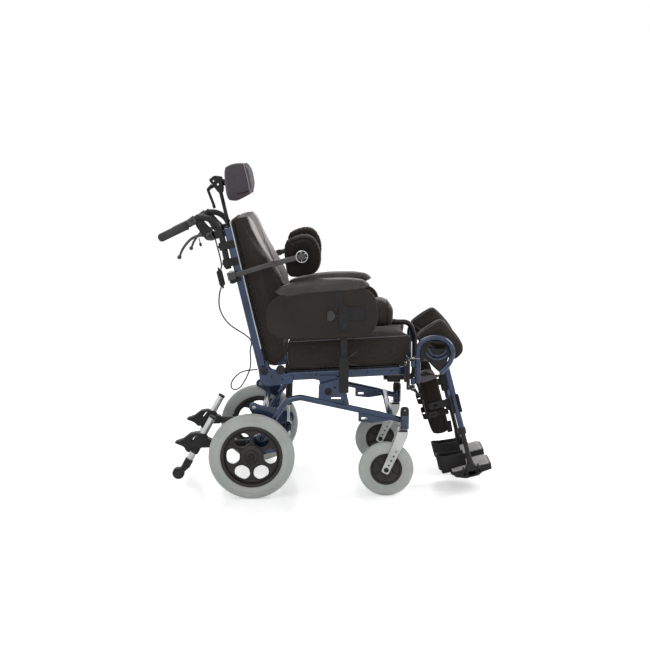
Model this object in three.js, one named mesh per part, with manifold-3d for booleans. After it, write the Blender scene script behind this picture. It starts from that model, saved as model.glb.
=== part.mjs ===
// Tilt in space wheelchair with elevating legrests, reclining back, headrest and trunk supports.
// Millimetres, +X forwards, +Y to the sitter's left, +Z up, origin on the floor under the middle.
// The group holds one mesh for each piece; pieces that lean stand in groups that lean with them.

import * as THREE from "three";
import { mergeVertices } from "three/addons/utils/BufferGeometryUtils.js";
import Module from "manifold-3d";

const wasm = await Module();
wasm.setup();

// Sizes. Places are counted from the floor under the rear axle until the whole chair is centred.

const gap = 0.4;
const overrun = 4;
const sides = [-1, 1];

const chair = { wheelbase: 486, halfWidth: 200, seatSlope: THREE.MathUtils.degToRad(3) };

const rearWheel = {
  radius: 155, rimRadius: 111.6, tyreWidth: 48, outset: 48, rimWidth: 36, rimWall: 12,
  webThickness: 12, hubRadius: 27, hubWidth: 40, windowInner: 45, windowOuter: 92,
  spokeWidth: 22, spokes: 6, facets: 20,
};

const stub = { radius: 8, capRadius: 12, capThickness: 5 };

const base = {
  outset: 32, tubeRadius: 11, bend: 45, height: 200,
  plateThickness: 8, axlePlateLength: 130, axlePlateHeight: 160, axlePlateBack: 30, axlePlateDrop: 27,
  towerX: 240, towerDrop: 25, towerLength: 112, towerHeight: 105, towerThickness: 10,
  towerCorner: 8, slotLength: 36, slotHeight: 7, slotRise: 28,
  lugBack: 14, lugDrop: 85, lugLength: 110, lugHeight: 74, lugCorner: 16, lugHole: 7,
  flangeBack: 101, flangeDrop: 85, flangeLength: 130, flangeHeight: 50, flangeSlot: 22, flangeSlotHeight: 8,
  crossRadius: 11, rearCrossX: 40, rearCrossDrop: 61, axleCrossX: 8, axleCrossRise: 28,
  strutCrossX: 121, strutCrossRise: 29, frontCrossAhead: 14, frontCrossDrop: 63,
  archLength: 318, noseBend: 22, noseEnd: 3,
};

const pivot = { ahead: 36, rise: 28, radius: 8, headRadius: 13, lugRadius: 24, lugThickness: 8 };

const caster = {
  radius: 100, rimRadius: 57.6, tyreWidth: 32, outset: 13, trail: 66, rimWidth: 26, rimWall: 7,
  webThickness: 7, hubRadius: 14, hubWidth: 38, facets: 16, axleRadius: 6, boltRadius: 9, boltHeight: 4,
  sleeveRadius: 16, sleeveBottom: 249, sleeveTop: 298, capTop: 328, stemRadius: 8,
  plateThickness: 4, plateInner: 20, crownDepth: 12, legWidth: 30, legTop: 36, kneeHeight: 206,
  holePitch: 19, holeRadius: 3.2, holes: 4,
};

const antiTip = {
  receiverRadius: 14, clampBack: 286, clampZ: 156, clampLength: 139, clampHeight: 61,
  clampWidth: 38, clampCorner: 8, tubeRadius: 12.5, tubeTopBack: 147, tubeTopZ: 278, tubeFootBack: 247,
  tubeFootZ: 98, rollerBack: 274, rollerZ: 72, rollerRadius: 22, rollerWidth: 24, rollerAxle: 4,
  rollerFacets: 14, sleeveRadius: 15, sleeveLength: 30, cheek: 4,
};

const strut = {
  footAhead: 3, footRise: 28, headAhead: 6, headDrop: 17, cylinderRadius: 13, rodRadius: 5, bore: 6,
  cylinderLength: 107, eyeRadius: 11, eyeWidth: 14, pinRadius: 5, pinPlay: 3, lugThickness: 5,
  lugSpace: 2, rodTip: 24,
};

const cushion = {
  length: 448, overhang: 15, height: 112, back: 128, round: 0.34, crown: 10, dish: 9, welt: 5, drawIn: 9,
};

const seat = {
  rise: 43, railWidth: 22, railHeight: 30, railCorner: 7, railBack: 76, railShort: 24,
  gussetX: 22, gussetDrop: 28, gussetLength: 130, gussetHeight: 70, gussetCorner: 10,
  gussetThickness: 6, crossRadius: 10, crossMiddle: 332, crossInset: 24,
  panLead: 10, panShort: 14, panOver: 5, panThickness: 5, panCorner: 14,
  headOver: 14, headThickness: 8, headHeight: 60,
};

const armrest = {
  outset: 57, socketLength: 34, socketWidth: 22, socketDrop: 42, socketRise: 86,
  postLength: 24, postWidth: 12, postDrop: 28, bracketHeight: 12, bracketRise: 21, bracketLength: 28,
  panelX: 56, panelRise: 151, panelLength: 399, panelHeight: 176, panelThickness: 14, panelCorner: 84,
  panelGap: 0.6, knobAhead: 223, knobRise: 88, knobRadius: 20, knobDepth: 12,
  plateAhead: 284, plateRise: 72, plateLength: 66, plateHeight: 46, plateDepth: 3, plateCorner: 6,
  padAhead: 29, padRise: 150, padLength: 338, padWidth: 60, padThickness: 44, padSlope: 0.1, padRound: 0.42,
  leftDrop: 30, leftForward: 24,
};

const legrest = {
  outset: 38, bracketAhead: 6, bracketLength: 12, bracketWidth: 22, bracketDrop: 35, bracketRise: 81,
  swingAhead: 24, earThickness: 9, earRadius: 7, earInset: 11, earTopInset: 7, pinRadius: 5,
  sleeveRadius: 9, tubeRadius: 10, hookAhead: 18, hookDrop: 10, hookLength: 130, hookHeight: 170,
  hookBend: 28, webThickness: 8, kneeAhead: 65, kneeRise: 104, kneePin: 8, kneeBoss: 15,
  lean: THREE.MathUtils.degToRad(14.6),
};

const leg = {
  outset: 14, tubeRadius: 11, offset: 24, eyeRadius: 17, eyeWidth: 22, shoulder: -44, bottom: -273,
  bend: 26, clampTop: -160, clampBottom: -216, clampDepth: 34, clampWidth: 26, clampCorner: 5,
  armZ: -190, armHeight: 26, armThickness: 5, armBack: -72, slotLength: 30, slotHeight: 8,
  innerRadius: 8.5, innerTop: -150, innerBottom: -446,
};

const calf = {
  back: -84, front: -10, bottom: -298, top: -62, innerInset: 138, outerInset: 19, round: 0.5, hollow: 12,
  pinRadius: 6,
};

const knee = {
  back: 75, drop: 36, length: 180, height: 156, innerInset: 98, outerInset: 38, corner: 26, stubBack: 19,
  stubRise: 54, stubRadius: 7, round: 9,
};

const foot = {
  axisX: 22, axisZ: -462, hingeInset: 22, pinRadius: 5, barrelRadius: 9, barrelLength: 46, lugThickness: 8,
  plateBack: -52, plateFront: 101, plateInner: 38, plateInset: 33, plateThickness: 12, plateCorner: 22,
  ribDepth: 10, ribThickness: 6, blockDepth: 44, blockHeight: 34, blockInset: 11, blockOutset: 12,
  heelBack: -90, heelInset: 34, heelOuterInset: 55, heelHeight: 62, heelWall: 4,
};

const pommel = {
  padLead: 29, padLength: 117, padRise: 162, padHeight: 116, backHalf: 44, frontHalf: 62, corner: 30,
  barRadius: 10, barBend: 34, barBack: 42, barDrop: 34, barLead: 36, barHeight: 214, receiverBack: 28,
  receiverLength: 50, receiverHeight: 32, receiverWidth: 34, hangerThickness: 10, round: 8, soft: 0.3,
};

const back = {
  hingeBack: 32, hingeRise: 29, lean: THREE.MathUtils.degToRad(13.1), tubeDepth: 30,
  tubeWidth: 22, tubeCorner: 6, tubeX: -6, bottom: -16, top: 531, pinRadius: 7, crossRadius: 9,
  crossLow: 62, crossMiddle: 300, crossDrop: 25, panelThickness: 6, panelBottom: 26, panelRise: 25,
  panelInset: 4, clampLowDrop: 135, clampHighDrop: 73, clampHeight: 28, clampWall: 6, tabDrop: 50,
  tabY: 70, stemBlockWidth: 34, stemBlockHeight: 44, stemBlockDepth: 30,
};

const backCushion = {
  bottom: 14, rise: 37, overhang: 8, lowDepth: 74, midDepth: 92, topDepth: 62, wing: 54, round: 0.3,
};

const recline = {
  cylinderRadius: 11, rodRadius: 5, bore: 6, cylinderLength: 150, eyeRadius: 9, eyeWidth: 12,
  pinRadius: 4.5, pinPlay: 3, lugThickness: 5, lugSpace: 2, rodTip: 30, drop: 42,
};

const handle = {
  x: -38, tail: 3, rise: 61, reach: 112, radius: 11, bend: 36, gripStart: 148, gripEnd: 256,
  gripDrop: 48, gripRadius: 15,
};

const lever = {
  x: -75, drop: 13, blockLength: 40, blockHeight: 30, blockWidth: 26, thickness: 8, height: 11, pinRadius: 4,
  reach: 126, fall: 49, ballRadius: 8, cheek: 5, play: 1,
};

const headrest = {
  stemX: -19, stemRadius: 7, stemTail: 66, stemRise: 158, blockX: -50, blockDrop: 9, blockLength: 52,
  blockHeight: 68, blockWidth: 34, blockCorner: 8, leverLength: 84, leverRadius: 4, leverX: -64,
  padBack: 12, padDepth: 105, padDrop: 48, padHeight: 135, halfWidth: 122, sweep: 34, ballRadius: 12,
  ballX: -6, ballRise: 67, round: 0.62, socketPlay: 0.5,
};

const lateral = {
  clampX: -30, clampDrop: 32, clampRadius: 16, clampHeight: 28, pinRadius: 6, outset: 36, armHeight: 20,
  armThickness: 10, armEnd: 229, armRise: 11, discRadius: 22, discThickness: 10,
  padLead: 64, padDrop: 61, padLength: 132, padHeight: 150, padInset: 50, padOuterInset: 14, round: 0.55,
};

const cable = {
  radius: 2.5, sides: 4, bend: 24, stand: 36, boxBack: 50, boxDrop: 61, boxLength: 20, boxHeight: 55,
  boxWidth: 18, fall: 340,
};

// Sizes and places that follow from others, from the ground up.

base.halfWidth = chair.halfWidth + base.outset;
base.top = rearWheel.radius + base.height;
base.towerZ = base.top - base.towerDrop;
base.lugX = -base.lugBack;
base.lugZ = base.top - base.lugDrop;
base.flangeX = chair.wheelbase - base.flangeBack;
base.flangeZ = base.top - base.flangeDrop;
base.rearCrossZ = base.top - base.rearCrossDrop;
base.frontCrossX = chair.wheelbase + base.frontCrossAhead;
base.frontCrossZ = base.top - base.frontCrossDrop;
base.axleCrossZ = rearWheel.radius + base.axleCrossRise;
base.strutCrossZ = rearWheel.radius + base.strutCrossRise;
rearWheel.plane = base.halfWidth + rearWheel.outset;
caster.plane = base.halfWidth + caster.outset;
caster.stemX = chair.wheelbase + caster.trail;
pivot.x = base.towerX + pivot.ahead;
pivot.z = base.top + pivot.rise;

antiTip.plane = chair.halfWidth;
antiTip.clampX = -antiTip.clampBack;
antiTip.tubeTopX = -antiTip.tubeTopBack;
antiTip.tubeFootX = -antiTip.tubeFootBack;
antiTip.rollerX = -antiTip.rollerBack;

legrest.plane = chair.halfWidth + legrest.outset;
cushion.width = (chair.halfWidth + cushion.overhang) * 2;
cushion.front = cushion.back + cushion.length;
seat.halfWidth = chair.halfWidth;
seat.railRise = pivot.z + seat.rise;
seat.railFront = cushion.front - seat.railShort;
seat.gussetZ = seat.railRise - seat.gussetDrop;
seat.crossFront = seat.railFront - seat.crossInset;
seat.panBack = cushion.back - seat.panLead;
seat.panFront = seat.railFront - seat.panShort;
seat.panHalfWidth = seat.halfWidth + seat.panOver;
seat.headHalfWidth = legrest.plane + seat.headOver;

strut.footX = base.strutCrossX + strut.footAhead;
strut.footZ = base.strutCrossZ + strut.footRise;
strut.headX = strut.footX + strut.headAhead;
strut.headZ = seat.railRise - strut.headDrop;
recline.frontX = seat.crossMiddle;

armrest.plane = chair.halfWidth + armrest.outset;
armrest.socketX = seat.crossMiddle;
armrest.socketBottom = seat.railRise - armrest.socketDrop;
armrest.socketTop = seat.railRise + armrest.socketRise;
armrest.postBottom = seat.railRise - armrest.postDrop;
armrest.bracketZ = seat.railRise + armrest.bracketRise;
armrest.panelZ = seat.railRise + armrest.panelRise;
armrest.knobX = armrest.panelX + armrest.knobAhead;
armrest.knobZ = armrest.panelZ + armrest.knobRise;
armrest.plateX = armrest.panelX + armrest.plateAhead;
armrest.plateZ = armrest.panelZ + armrest.plateRise;
armrest.padX = armrest.panelX + armrest.padAhead;
armrest.padZ = armrest.panelZ + armrest.padRise;

legrest.bracketX = seat.railFront + legrest.bracketAhead;
legrest.bracketBottom = seat.railRise - legrest.bracketDrop;
legrest.bracketTop = seat.railRise + legrest.bracketRise;
legrest.earBottom = legrest.bracketBottom + legrest.earInset;
legrest.earTop = legrest.bracketTop - legrest.earTopInset;
legrest.swingX = legrest.bracketX + legrest.swingAhead;
legrest.hookX = legrest.swingX + legrest.hookAhead;
legrest.hookZ = seat.railRise - legrest.hookDrop;
legrest.kneeX = legrest.hookX + legrest.kneeAhead;
legrest.kneeZ = legrest.hookZ + legrest.kneeRise;
leg.plane = chair.halfWidth + leg.outset;
calf.inner = leg.plane - calf.innerInset;
calf.outer = leg.plane - calf.outerInset;
knee.x = legrest.kneeX - knee.back;
knee.z = legrest.kneeZ - knee.drop;
knee.inner = legrest.plane - knee.innerInset;
knee.outer = legrest.plane - knee.outerInset;
knee.stubX = legrest.kneeX - knee.stubBack;
knee.stubZ = legrest.kneeZ + knee.stubRise;
foot.hingeIn = leg.plane - foot.hingeInset;
foot.plateOuter = leg.plane - foot.plateInset;
foot.blockInner = leg.plane - foot.blockInset;
foot.blockOuter = leg.plane + foot.blockOutset;
foot.heelInner = foot.plateInner + foot.heelInset;
foot.heelOuter = foot.plateOuter - foot.heelOuterInset;

pommel.barX = seat.crossFront - pommel.barBack;
pommel.barZ = seat.railRise - pommel.barDrop;
pommel.barLength = cushion.front + pommel.barLead - pommel.barX;
pommel.receiverX = seat.crossFront - pommel.receiverBack;
pommel.padFront = pommel.barX + pommel.padLead;
pommel.padBack = pommel.padFront - pommel.padLength;
pommel.padBottom = seat.railRise + pommel.padRise;
pommel.padTop = pommel.padBottom + pommel.padHeight;

back.hingeX = seat.railBack - back.hingeBack;
back.hingeZ = seat.railRise + back.hingeRise;
back.halfWidth = chair.halfWidth;
back.crossTop = back.top - back.crossDrop;
back.panelTop = back.top + back.panelRise;
back.panelHalfWidth = back.halfWidth - back.panelInset;
back.clampLow = back.top - back.clampLowDrop;
back.clampHigh = back.top - back.clampHighDrop;
backCushion.top = back.top + backCushion.rise;
backCushion.halfWidth = back.halfWidth + backCushion.overhang;
handle.bottom = back.clampLow - handle.tail;
handle.shoulder = back.top + handle.rise;
lever.z = back.top - lever.drop;
headrest.stemBottom = back.crossTop - headrest.stemTail;
headrest.stemTop = back.crossTop + headrest.stemRise;
headrest.blockZ = headrest.stemTop - headrest.blockDrop;
headrest.padBottom = headrest.stemTop - headrest.padDrop;
headrest.padTop = headrest.padBottom + headrest.padHeight;
headrest.padFront = headrest.padBack + headrest.padDepth;
headrest.ballZ = headrest.padBottom + headrest.ballRise;
lateral.plane = back.halfWidth + lateral.outset;
lateral.clampZ = back.clampLow - lateral.clampDrop;
lateral.padX = lateral.armEnd - lateral.padLead;
lateral.padZ = lateral.clampZ - lateral.padDrop;
lateral.padInner = lateral.plane - lateral.padInset;
lateral.padOuter = lateral.plane - lateral.padOuterInset;
cable.boxZ = back.clampLow - cable.boxDrop;

// Finishes: colour, roughness and metalness of each kind of surface.

const finish = (color, roughness, metalness) => () => new THREE.MeshStandardMaterial(
  { color, roughness, metalness }
);
const frameBlue = finish(0x34466b, 0.35, 0.45);
const blackMetal = finish(0x26262a, 0.45, 0.4);
const aluminium = finish(0xc0c2c0, 0.35, 0.85);
const chrome = finish(0xd2d2d2, 0.16, 1);
const greyTyre = finish(0xa3a8a5, 0.85, 0);
const blackPlastic = finish(0x2c2a2a, 0.6, 0);
const fabric = finish(0x3a3534, 0.95, 0);
const leatherette = finish(0x4a4845, 0.6, 0);
const footGrey = finish(0x8c8a89, 0.7, 0);

// Geometry helpers.

/** The faces of a closed surface turned outwards, with shared corners merged. */
function closed(geometry) {
  const bare = geometry.clone();
  for (const name of Object.keys(bare.attributes)) if (name !== "position") bare.deleteAttribute(name);
  const merged = mergeVertices(bare, 1e-4);
  const place = merged.attributes.position;
  const index = merged.index.array;
  const a = new THREE.Vector3();
  const b = new THREE.Vector3();
  const c = new THREE.Vector3();
  let volume = 0;
  const kept = [];
  for (let i = 0; i < index.length; i += 3) {
    const [p, q, r] = [index[i], index[i + 1], index[i + 2]];
    if (p === q || q === r || r === p) continue;
    kept.push(p, q, r);
    volume += a.fromBufferAttribute(place, p).dot(
      b.fromBufferAttribute(place, q).cross(c.fromBufferAttribute(place, r))
    );
  }
  if (volume < 0) kept.reverse();
  merged.setIndex(kept);
  return merged;
}

/** A solid for joining and cutting. */
function solid(geometry) {
  const whole = closed(geometry);
  const mesh = new wasm.Mesh({
    numProp: 3,
    vertProperties: new Float32Array(whole.attributes.position.array),
    triVerts: new Uint32Array(whole.index.array),
  });
  return new wasm.Manifold(mesh);
}

/** The surface of a solid. */
function surface(body) {
  const mesh = body.getMesh();
  const geometry = new THREE.BufferGeometry();
  geometry.setAttribute("position", new THREE.BufferAttribute(new Float32Array(mesh.vertProperties), 3));
  geometry.setIndex(new THREE.BufferAttribute(new Uint32Array(mesh.triVerts), 1));
  return geometry;
}

/** Pieces joined into one body. */
const join = (...pieces) => surface(pieces.map(solid).reduce((whole, next) => whole.add(next)));

/** A body with tools cut out of it. */
const cut = (body, ...tools) => surface(
  tools.map(solid).reduce((whole, tool) => whole.subtract(tool), solid(body))
);

/** Corners of a regular polygon round a circle. */
const ring = (radius, count) =>
  Array.from({ length: count }, (_, i) => {
    const angle = ((i + 0.5) / count) * Math.PI * 2;
    return new THREE.Vector2(Math.cos(angle) * radius, Math.sin(angle) * radius);
  });

/** Outline points with their corners rounded by short curves. */
function soften(points, radius, steps = 3) {
  const corners = points.map(([x, y]) => new THREE.Vector2(x, y));
  const result = [];
  corners.forEach((corner, i) => {
    const before = corners[(i + corners.length - 1) % corners.length];
    const after = corners[(i + 1) % corners.length];
    const lead = Math.min(radius, corner.distanceTo(before) * 0.48);
    const tail = Math.min(radius, corner.distanceTo(after) * 0.48);
    const start = corner.clone().lerp(before, lead / corner.distanceTo(before));
    const end = corner.clone().lerp(after, tail / corner.distanceTo(after));
    result.push(...new THREE.QuadraticBezierCurve(start, corner, end).getPoints(steps));
  });
  return result;
}

/** A rounded rectangle about its centre. */
const roundedBox = (width, height, radius, steps = 3) =>
  soften(
    [
      [-width / 2, -height / 2], [width / 2, -height / 2], [width / 2, height / 2], [-width / 2, height / 2]
    ],
    radius,
    steps,
  );

/** A plain rectangular section about its centre. */
const flatBar = (width, height) =>
  [[-1, -1], [1, -1], [1, 1], [-1, 1]].map(
    ([a, b]) => new THREE.Vector2((a * width) / 2, (b * height) / 2)
  );

/** Side view places from shares of a length and a height above a corner. */
const spread = (x, z, length, height, shares) => shares.map(([a, b]) => [x + a * length, z + b * height]);

/** A plate seen from the side: its outline in X and Z, between two Y planes. */
function plate(outline, from, to, holes = []) {
  const shape = new THREE.Shape(outline.map((p) => (p.isVector2 ? p : new THREE.Vector2(...p))));
  for (const hole of holes) shape.holes.push(new THREE.Path(hole));
  const thick = Math.abs(to - from);
  const geometry = new THREE.ExtrudeGeometry(shape, { depth: thick, bevelEnabled: false });
  return geometry.rotateX(Math.PI / 2).translate(0, Math.max(from, to), 0);
}

/** A slab seen from above: its outline in X and Y, between two heights. */
function slab(outline, from, to) {
  const shape = new THREE.Shape(outline.map((p) => (p.isVector2 ? p : new THREE.Vector2(...p))));
  return new THREE.ExtrudeGeometry(shape, { depth: to - from, bevelEnabled: false }).translate(0, 0, from);
}

/** Points moved across a flat outline. */
const shifted = (points, x, z) => points.map((p) => new THREE.Vector2(p.x + x, p.y + z));

/** A box by its middle and its three sizes. */
const box = (
  x, y, z, length, width, height
) => new THREE.BoxGeometry(length, width, height).translate(x, y, z);

/** A round bar between two points. */
function bar(from, to, radius, count = 10) {
  const start = new THREE.Vector3(...from);
  const way = new THREE.Vector3(...to).sub(start);
  const turn = new THREE.Quaternion().setFromUnitVectors(
    new THREE.Vector3(0, 1, 0), way.clone().normalize()
  );
  const middle = start.addScaledVector(way, 0.5);
  return new THREE.CylinderGeometry(radius, radius, way.length(), count)
    .applyQuaternion(turn)
    .translate(middle.x, middle.y, middle.z);
}

/** A way made of straight runs with round bends, whose stations lie only where it turns. */
class BentWay extends THREE.Curve {
  constructor(points, bend, side, steps) {
    super();
    this.side = side;
    this.places = [];
    this.headings = [];
    points.forEach((point, i) => this.addStation(points, point, i, bend, steps));
  }

  addStation(points, point, i, bend, steps) {
    if (i === 0 || i === points.length - 1) {
      const other = points[i === 0 ? 1 : i - 1];
      const way = i === 0 ? other.clone().sub(point) : point.clone().sub(other);
      this.places.push(point.clone());
      this.headings.push(way.normalize());
      return;
    }
    const before = points[i - 1].clone().sub(point);
    const after = points[i + 1].clone().sub(point);
    const turn = Math.PI - before.angleTo(after);
    const reach = Math.min(bend * Math.tan(turn / 2), before.length() * 0.48, after.length() * 0.48);
    const radius = reach / Math.tan(turn / 2);
    const start = point.clone().addScaledVector(before.normalize(), reach);
    const inward = before.clone().add(after.normalize()).normalize();
    const centre = point.clone().addScaledVector(inward, Math.hypot(radius, reach));
    const spoke = start.clone().sub(centre);
    const axis = before.clone().negate().cross(after).normalize();
    const count = Math.max(1, Math.round((turn / (Math.PI / 2)) * steps));
    for (let k = 0; k <= count; k += 1) {
      const angle = (turn * k) / count;
      this.places.push(centre.clone().add(spoke.clone().applyAxisAngle(axis, angle)));
      this.headings.push(before.clone().negate().applyAxisAngle(axis, angle));
    }
  }

  getPointAt(share, target = new THREE.Vector3()) {
    return target.copy(this.places[Math.round(share * (this.places.length - 1))]);
  }

  getSpacedPoints() {
    return this.places.map((place) => place.clone());
  }

  computeFrenetFrames() {
    const tangents = this.headings.map((heading) => heading.clone());
    const normals = tangents.map(
      (t) => this.side.clone().addScaledVector(t, -this.side.dot(t)).normalize()
    );
    const binormals = tangents.map((t, i) => t.clone().cross(normals[i]));
    return { tangents, normals, binormals };
  }
}

/** A tube or bar of one section along a bent way. Section x lies along the side direction. */
function sweep(points, section, bend, side = new THREE.Vector3(0, 1, 0), steps = 3) {
  const way = new BentWay(points.map((p) => new THREE.Vector3(...p)), bend, side, steps);
  const settings = { steps: way.places.length - 1, bevelEnabled: false, extrudePath: way };
  return new THREE.ExtrudeGeometry(new THREE.Shape(section), settings);
}

/** A round tool whose flats, too, stay a gap away from a pin of this radius. */
const bore = (from, to, radius, count = 10) => bar(
  from, to, (radius + gap) / Math.cos(Math.PI / count), count
);

/** A bent round tube in a plane of constant Y. */
const sideTube = (places, y, radius, bend, count = 8) =>
  sweep(places.map(([x, z]) => [x, y, z]), ring(radius, count), bend);

/** A ring turned round the Y axis from a closed profile of radius and offset. */
function turned(profile, segments) {
  const points = profile.map(([r, y]) => new THREE.Vector2(r, y));
  return new THREE.LatheGeometry([...points, points[0].clone()], segments);
}

/** A pad: a box grid whose unit places a function carries to their real ones. */
function pad(nx, ny, nz, round, form) {
  const geometry = closed(new THREE.BoxGeometry(2, 2, 2, nx, ny, nz));
  const place = geometry.attributes.position;
  for (let i = 0; i < place.count; i += 1) {
    const [u, v, w] = [place.getX(i), place.getY(i), place.getZ(i)];
    const ball = [
      u * Math.sqrt(1 - (v * v + w * w) / 2 + (v * v * w * w) / 3),
      v * Math.sqrt(1 - (u * u + w * w) / 2 + (u * u * w * w) / 3),
      w * Math.sqrt(1 - (u * u + v * v) / 2 + (u * u * v * v) / 3),
    ];
    const soft = [u, v, w].map((value, k) => THREE.MathUtils.lerp(value, ball[k], round));
    place.setXYZ(i, ...form(...soft, u, v, w));
  }
  return closed(geometry);
}

const mix = THREE.MathUtils.lerp;
const up = new THREE.Vector3(0, 0, 1);

// The chair's groups. The seat's pieces stand in the chair, the back and the legs lean in their own groups.

const whole = new THREE.Group();

/** Adds a piece to a group. */
function add(parent, name, geometry, material) {
  const mesh = new THREE.Mesh(closed(geometry), material());
  mesh.name = name;
  parent.add(mesh);
  return mesh;
}

/** Height of the seat line over a place along the chair. */
const seatLine = (x) => seat.railRise + x * Math.tan(chair.seatSlope);

/** Rounded windows between the spokes of a wheel, cut right through. */
function windows(wheel, depth) {
  const result = [];
  for (let i = 0; i < wheel.spokes; i += 1) {
    const middle = ((i + 0.5) / wheel.spokes) * Math.PI * 2;
    const corners = [];
    for (const [radius, order] of [[wheel.windowInner, [-1, 1]], [wheel.windowOuter, [1, -1]]]) {
      const half = Math.PI / wheel.spokes - wheel.spokeWidth / 2 / radius;
      for (const share of order) {
        const angle = middle + half * share;
        corners.push([Math.cos(angle) * radius, Math.sin(angle) * radius]);
      }
    }
    result.push(plate(corners, -depth, depth));
  }
  return result;
}

/** A wheel centre round the Y axis: barrel, web and hub turned in one. */
function wheelCentre(wheel, axle, segments) {
  const hole = (axle + gap) / Math.cos(Math.PI / segments);
  const half = wheel.rimWidth / 2;
  const inner = wheel.rimRadius - wheel.rimWall;
  const flat = wheel.webThickness / 2;
  const hubHalf = wheel.hubWidth / 2;
  const front = [
    [hole, -hubHalf], [wheel.hubRadius, -hubHalf], [wheel.hubRadius, -flat], [inner, -flat], [inner, -half],
    [wheel.rimRadius, -half],
  ];
  const rear = front.map(([r, y]) => [r, -y]).reverse();
  return turned([...front, ...rear], segments);
}

/** A spoked rim: a wheel centre with windows cut through its web. */
const spokedRim = (wheel, axle, segments) =>
  cut(wheelCentre(wheel, axle, segments), ...windows(wheel, wheel.webThickness / 2 + overrun));

/** A tyre with rounded shoulders and a flat tread, flat inside where it holds the rim. */
function tyre(wheel, segments) {
  const shares = [[0, -0.4], [0.3, -0.5], [0.78, -0.43], [1, -0.16]];
  const seatRadius = wheel.rimRadius + gap;
  const wall = wheel.radius - seatRadius;
  const half = shares.map(([a, b]) => [seatRadius + a * wall, b * wheel.tyreWidth]);
  const mirrored = half.map(([r, y]) => [r, -y]).reverse();
  return turned([...half, ...mirrored], segments);
}

function buildWheels() {
  for (const side of sides) {
    const name = side < 0 ? "right" : "left";
    const place = [0, side * rearWheel.plane, rearWheel.radius];
    add(whole, `${name}_rear_tyre`, tyre(rearWheel, rearWheel.facets), greyTyre).position.set(...place);
    add(
      whole, `${name}_rear_rim`, spokedRim(rearWheel, stub.radius, rearWheel.facets), blackPlastic
    ).position.set(...place);
    const front = [chair.wheelbase, side * caster.plane, caster.radius];
    add(whole, `${name}_caster_tyre`, tyre(caster, caster.facets), greyTyre).position.set(...front);
    add(
      whole, `${name}_caster_rim`, wheelCentre(caster, caster.axleRadius, caster.facets), blackPlastic
    ).position.set(...front);
  }
}

/** A caster fork with its stem and dust cap, about the stem's axis. */
function casterFork() {
  const inner = caster.plateInner;
  const outer = inner + caster.plateThickness;
  const top = caster.sleeveBottom - gap;
  const half = caster.legWidth / 2;
  const axle = [-caster.trail, caster.radius];
  const knee = [-(caster.legTop - half) / 2, caster.kneeHeight];
  const way = new THREE.Vector2(knee[0] - axle[0], knee[1] - axle[1]).normalize();
  const across = new THREE.Vector2(way.y, -way.x);
  const at = (point, along, over) => [
    point[0] + way.x * along + across.x * over, point[1] + way.y * along + across.y * over,
  ];
  const outline = [
    at(axle, -half, half), at(knee, 0, half), [half - overrun, top], [half - caster.legTop - overrun, top],
    at(knee, 0, -half), at(axle, -half, -half),
  ];
  const cheeks = sides.map((s) => plate(soften(outline, half / 2, 1), s * inner, s * outer));
  const crown = plate(
    [[half - overrun, top], [half - caster.legTop - overrun, top],
      [half - caster.legTop - overrun, top - caster.crownDepth], [half - overrun, top - caster.crownDepth]],
    -inner - caster.plateThickness / 2, inner + caster.plateThickness / 2);
  const stem = bar(
    [0, 0, top - caster.crownDepth / 2], [0, 0, caster.sleeveTop + caster.crownDepth], caster.stemRadius, 10
  );
  const dome = new THREE.LatheGeometry(
    [[0, 0], [1, 0], [0.95, 0.6], [0.6, 0.92], [0, 1]].map(([r, h]) =>
      new THREE.Vector2(r * caster.sleeveRadius, h * (caster.capTop - caster.sleeveTop - gap))), 10)
    .rotateX(Math.PI / 2).translate(0, 0, caster.sleeveTop + gap);
  const pin = bar(
    [axle[0], -outer - caster.boltHeight, axle[1]],
    [axle[0], outer + caster.boltHeight, axle[1]],
    caster.axleRadius,
    8,
  );
  const heads = sides.map((s) =>
    bar([axle[0], s * (outer - gap), axle[1]], [axle[0], s * (outer + caster.boltHeight), axle[1]],
      caster.boltRadius, 8));
  const holes = Array.from({ length: caster.holes }, (_, i) => {
    const [x, z] = at(axle, caster.holePitch * (i + 1), 0);
    return bar([x, -outer - overrun, z], [x, outer + overrun, z], caster.holeRadius, 5);
  });
  return join(cut(join(...cheeks, crown), ...holes), stem, dome, pin, ...heads);
}

function buildCasters() {
  for (const side of sides) {
    const name = side < 0 ? "right" : "left";
    add(whole, `${name}_caster_fork`, casterFork(), aluminium)
      .position.set(caster.stemX, side * caster.plane, 0);
  }
}

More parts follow.
